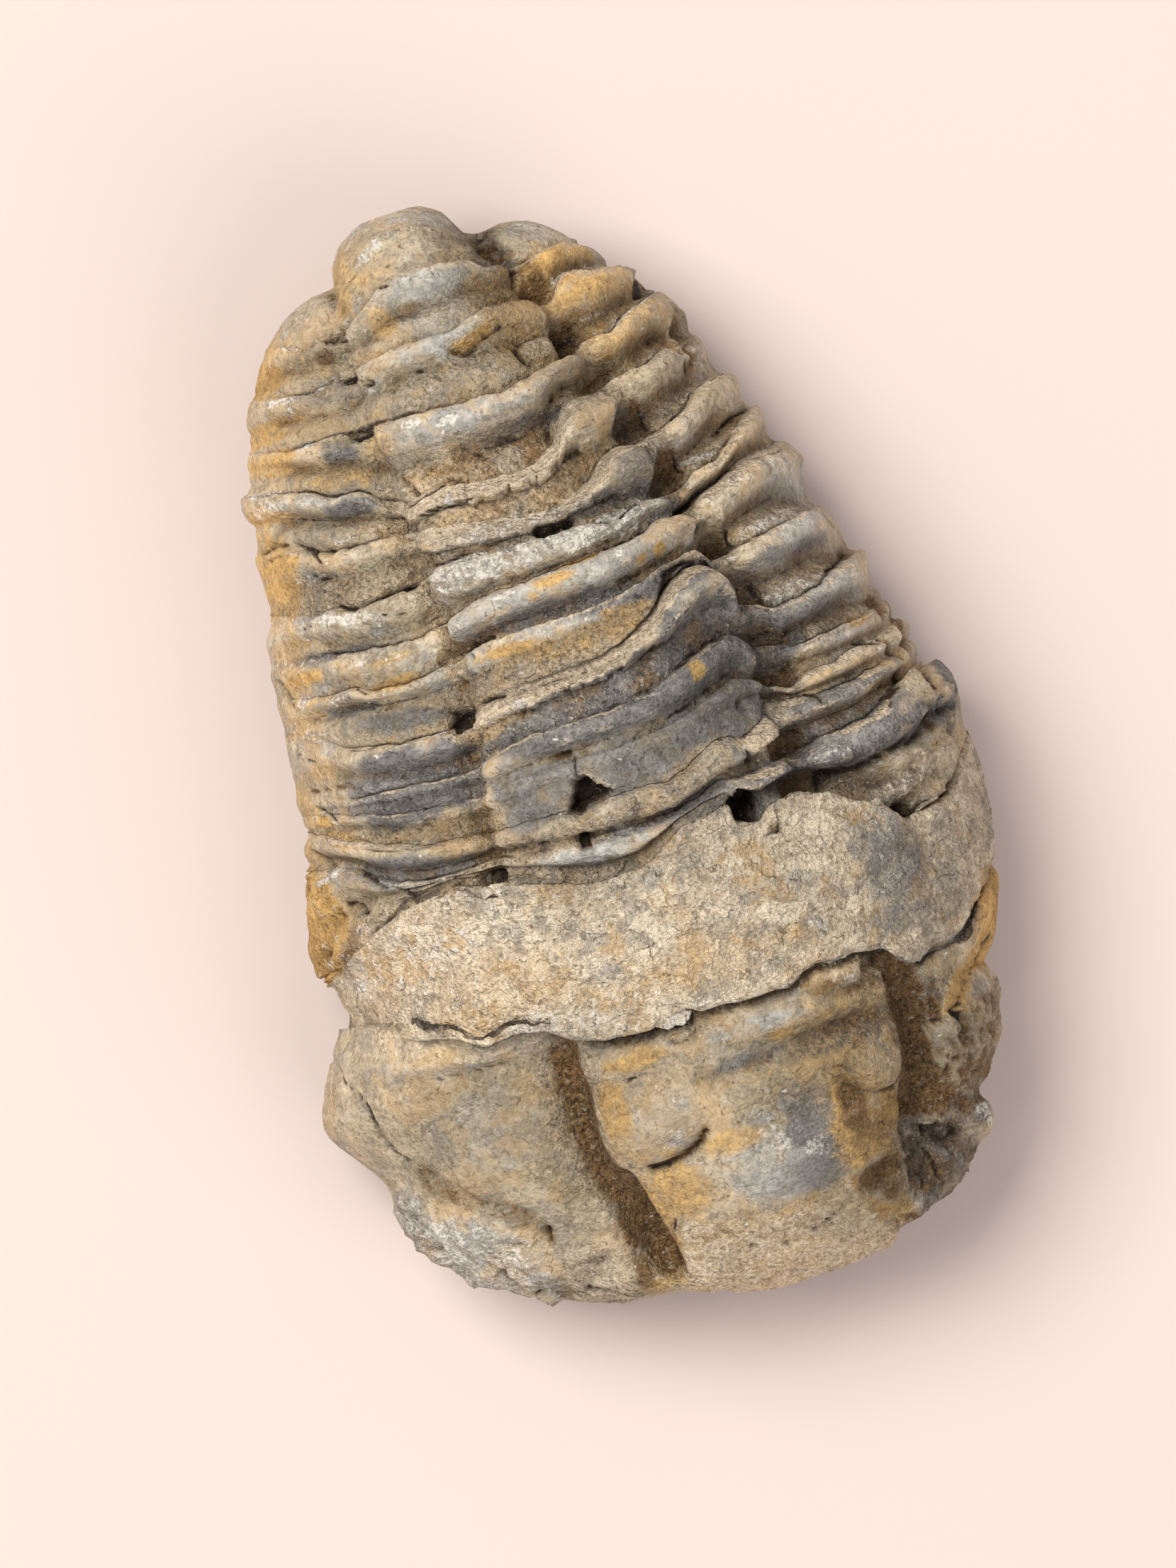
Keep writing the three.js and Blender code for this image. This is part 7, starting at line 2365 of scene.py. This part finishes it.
@dataclass(frozen=True)
class Crumbs:
    """Loose-looking grains of matrix seated in the sandy grooves.

    Attributes:
        name: Name of the piece.
        per_square_metre: How thickly they lie where the groove is full.
        smallest: Radius of the smallest grain, in metres.
        largest: Radius of the largest grain, in metres.
        seed: Seed of their scatter.
    """

    name: str = "matrix_crumbs"
    per_square_metre: float = 500000.0
    smallest: float = 0.06 * MM
    largest: float = 0.17 * MM
    seed: int = 7

    def build(self, stone: bpy.types.Object, finish: bpy.types.Material) -> bpy.types.Object:
        """Scatters the grains over the stone.

        Args:
            stone: The finished stone.
            finish: The stone's own finish.

        Returns:
            The grains as one plain mesh.
        """
        carrier = bpy.data.objects.new(self.name + "_carrier", stone.data.copy())
        bpy.context.scene.collection.objects.link(carrier)
        tree = self._tree(finish)
        modifier = carrier.modifiers.new("crumbs", "NODES")
        modifier.node_group = tree
        sizes = {"Density": self.per_square_metre, "Smallest": self.smallest, "Largest": self.largest,
                 "Seed": self.seed}
        for item in tree.interface.items_tree:
            if item.item_type == "SOCKET" and item.name in sizes:
                modifier[item.identifier] = sizes[item.name]
        view = bpy.context.evaluated_depsgraph_get()
        mesh = bpy.data.meshes.new_from_object(carrier.evaluated_get(view))
        carrier.modifiers.remove(modifier)
        bpy.data.objects.remove(carrier)
        mesh.name = self.name
        crumbs = bpy.data.objects.new(self.name, mesh)
        bpy.context.scene.collection.objects.link(crumbs)
        return crumbs

    def _tree(self, finish: bpy.types.Material) -> bpy.types.NodeTree:
        """The scatter, with its sizes as named inputs.

        Args:
            finish: The grains' material.

        Returns:
            The node tree.
        """
        tree = bpy.data.node_groups.new("crumb_scatter", "GeometryNodeTree")
        face = tree.interface
        face.new_socket("Geometry", in_out="INPUT", socket_type="NodeSocketGeometry")
        for name in ("Density", "Smallest", "Largest"):
            face.new_socket(name, in_out="INPUT", socket_type="NodeSocketFloat")
        face.new_socket("Seed", in_out="INPUT", socket_type="NodeSocketInt")
        face.new_socket("Geometry", in_out="OUTPUT", socket_type="NodeSocketGeometry")
        t = Tree(tree.nodes, tree.links)
        start = tree.nodes.new("NodeGroupInput").outputs
        groove, hollow = (Value(t, t.node("GeometryNodeInputNamedAttribute", {"data_type": "FLOAT"},
                                          {"Name": coat.value})) for coat in (SAND, CAVITY_SHADE))
        up = Value(t, t.node("ShaderNodeSeparateXYZ", None, {0: t.node("GeometryNodeInputNormal")}, 2))
        density = (groove * groove * 0.7 + hollow * 0.3) * up.step(0.3, 0.5) * start["Density"]
        points = t.node("GeometryNodeDistributePointsOnFaces", None,
                        {"Mesh": start["Geometry"], "Density": density, "Seed": start["Seed"]}, "Points")
        grain = t.node("GeometryNodeMeshIcoSphere", None, {"Radius": 1.0, "Subdivisions": 1})
        lump = t.node("GeometryNodeSetPosition", None, {
            "Geometry": grain,
            "Offset": t.node("ShaderNodeVectorMath", {"operation": "SCALE"}, {
                0: t.node("ShaderNodeTexNoise", None, {"Scale": 1.3}, "Color"), "Scale": 0.5})})
        size = t.node("FunctionNodeRandomValue", {"data_type": "FLOAT"},
                      {2: start["Smallest"], 3: start["Largest"], "Seed": start["Seed"]}, 1)
        turn = t.node("FunctionNodeRandomValue", {"data_type": "FLOAT_VECTOR"},
                      {0: (0, 0, 0), 1: (math.tau, math.tau, math.tau), "Seed": start["Seed"]}, 0)
        placed = t.node("GeometryNodeInstanceOnPoints", None,
                        {"Points": points, "Instance": lump, "Rotation": turn, "Scale": size})
        real = t.node("GeometryNodeRealizeInstances", None, {"Geometry": placed})
        dressed = t.node("GeometryNodeSetMaterial", None, {"Geometry": real, "Material": finish})
        end = tree.nodes.new("NodeGroupOutput")
        tree.links.new(dressed, end.inputs[0])
        return tree


# === Floor, light and camera ===


@dataclass(frozen=True)
class Lamp:
    """A square area light that looks at the stone.

    Attributes:
        name: Name of the light.
        place: Where it hangs, as a direction from the stone.
        size: Length of its side, in metres.
        power: Its power, in watts.
        colour: Its colour.
        away: Its distance, in metres.
    """

    name: str
    place: tuple[float, float, float]
    size: float
    power: float
    colour: Colour
    away: float = 1.2

    def hang(self) -> None:
        """Adds the light to the scene."""
        lamp = bpy.data.lights.new(self.name, "AREA")
        lamp.size, lamp.energy, lamp.color = self.size, self.power, self.colour
        light = bpy.data.objects.new(self.name, lamp)
        light.location = Vector(self.place).normalized() * self.away
        light.rotation_mode = "QUATERNION"
        light.rotation_quaternion = (-Vector(self.place)).to_track_quat("-Z", "Y")
        bpy.context.scene.collection.objects.link(light)


@dataclass(frozen=True)
class Studio:
    """A pale floor under soft warm light, looked down on from above.

    Attributes:
        floor_colour: Colour of the floor.
        aim: Point of the stone at the middle of the view, in metres.
        turn: How far the camera is rolled, in degrees.
        height: How high the camera is over the aim.
        covers: Height of the view at the aim.
        floor_reach: Half the length of the floor's side, in metres.
        lamps: The key light and the fill light.
        sky: Colour of the light from all round.
        sky_strength: Its strength.
    """

    floor_colour: Colour = (0.775, 0.66, 0.63)
    aim: tuple[float, float, float] = (-0.8 * MM, -2.25 * MM, 14 * MM)
    turn: float = 18.0
    height: float = 1.1
    covers: float = 110.6 * MM
    floor_reach: float = 2.0
    lamps: tuple[Lamp, ...] = (
        Lamp("key", (-0.5, 0.54, 1.25), 0.7, 14.0, (1.0, 0.96, 0.90)),
        Lamp("fill", (0.5, -0.8, 0.9), 0.9, 5.4, (1.0, 0.97, 0.94)),
    )
    sky: Colour = (1.0, 0.96, 0.93)
    sky_strength: float = 0.34

    def build(self) -> None:
        """Makes the floor, the lights and the camera."""
        self._floor()
        for lamp in self.lamps:
            lamp.hang()
        world = bpy.data.worlds.new("studio")
        world.use_nodes = True
        background = world.node_tree.nodes["Background"]
        background.inputs[0].default_value = (*self.sky, 1.0)
        background.inputs[1].default_value = self.sky_strength
        bpy.context.scene.world = world
        bpy.context.scene.view_settings.view_transform = "Standard"
        self._camera()

    def _floor(self) -> None:
        """A wide plain floor at the height the stone rests on."""
        mesh = bpy.data.meshes.new("floor")
        corners = ((-1, -1), (1, -1), (1, 1), (-1, 1))
        mesh.from_pydata([(x * self.floor_reach, y * self.floor_reach, 0) for x, y in corners], [], [(0, 1, 2, 3)])
        floor = bpy.data.objects.new("floor", mesh)
        bpy.context.scene.collection.objects.link(floor)
        finish = bpy.data.materials.new("pale_floor")
        finish.use_nodes = True
        shader = finish.node_tree.nodes["Principled BSDF"]
        shader.inputs["Base Color"].default_value = (*self.floor_colour, 1.0)
        shader.inputs["Roughness"].default_value = 0.9
        mesh.materials.append(finish)

    def _camera(self) -> None:
        """Straight above, rolled so that the tail points up and to the left."""
        lens = bpy.data.cameras.new("camera")
        lens.sensor_fit = "VERTICAL"
        lens.sensor_width = lens.sensor_height = 36.0
        lens.lens = lens.sensor_height * self.height / self.covers
        lens.clip_start, lens.clip_end = 0.01, 10.0
        camera = bpy.data.objects.new("camera", lens)
        camera.location = Vector(self.aim) + Vector((0.0, 0.0, self.height))
        camera.rotation_euler = (0.0, 0.0, -math.radians(self.turn))
        bpy.context.scene.collection.objects.link(camera)
        bpy.context.scene.camera = camera


def main() -> None:
    """Builds the stone, its crumbs and the studio."""
    logging.basicConfig(level=logging.INFO, format="%(name)s: %(message)s")
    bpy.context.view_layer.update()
    Studio().build()
    low, high = (np.array(corner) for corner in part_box(NODE))
    body = Trilobite()
    mesh = body.mesh(body.carve(), low, high)
    stone = bpy.data.objects.new("fossil", mesh)
    bpy.context.scene.collection.objects.link(stone)
    finish = StoneFinish().material()
    mesh.materials.append(finish)
    log.info("fossil: %d faces", len(mesh.polygons))
    crumbs = Crumbs().build(stone, finish)
    log.info("matrix_crumbs: %d faces", len(crumbs.data.polygons))
    for piece in (stone, crumbs):
        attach(piece, "root")
    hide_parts(NODE)


if __name__ == "__main__":
    main()
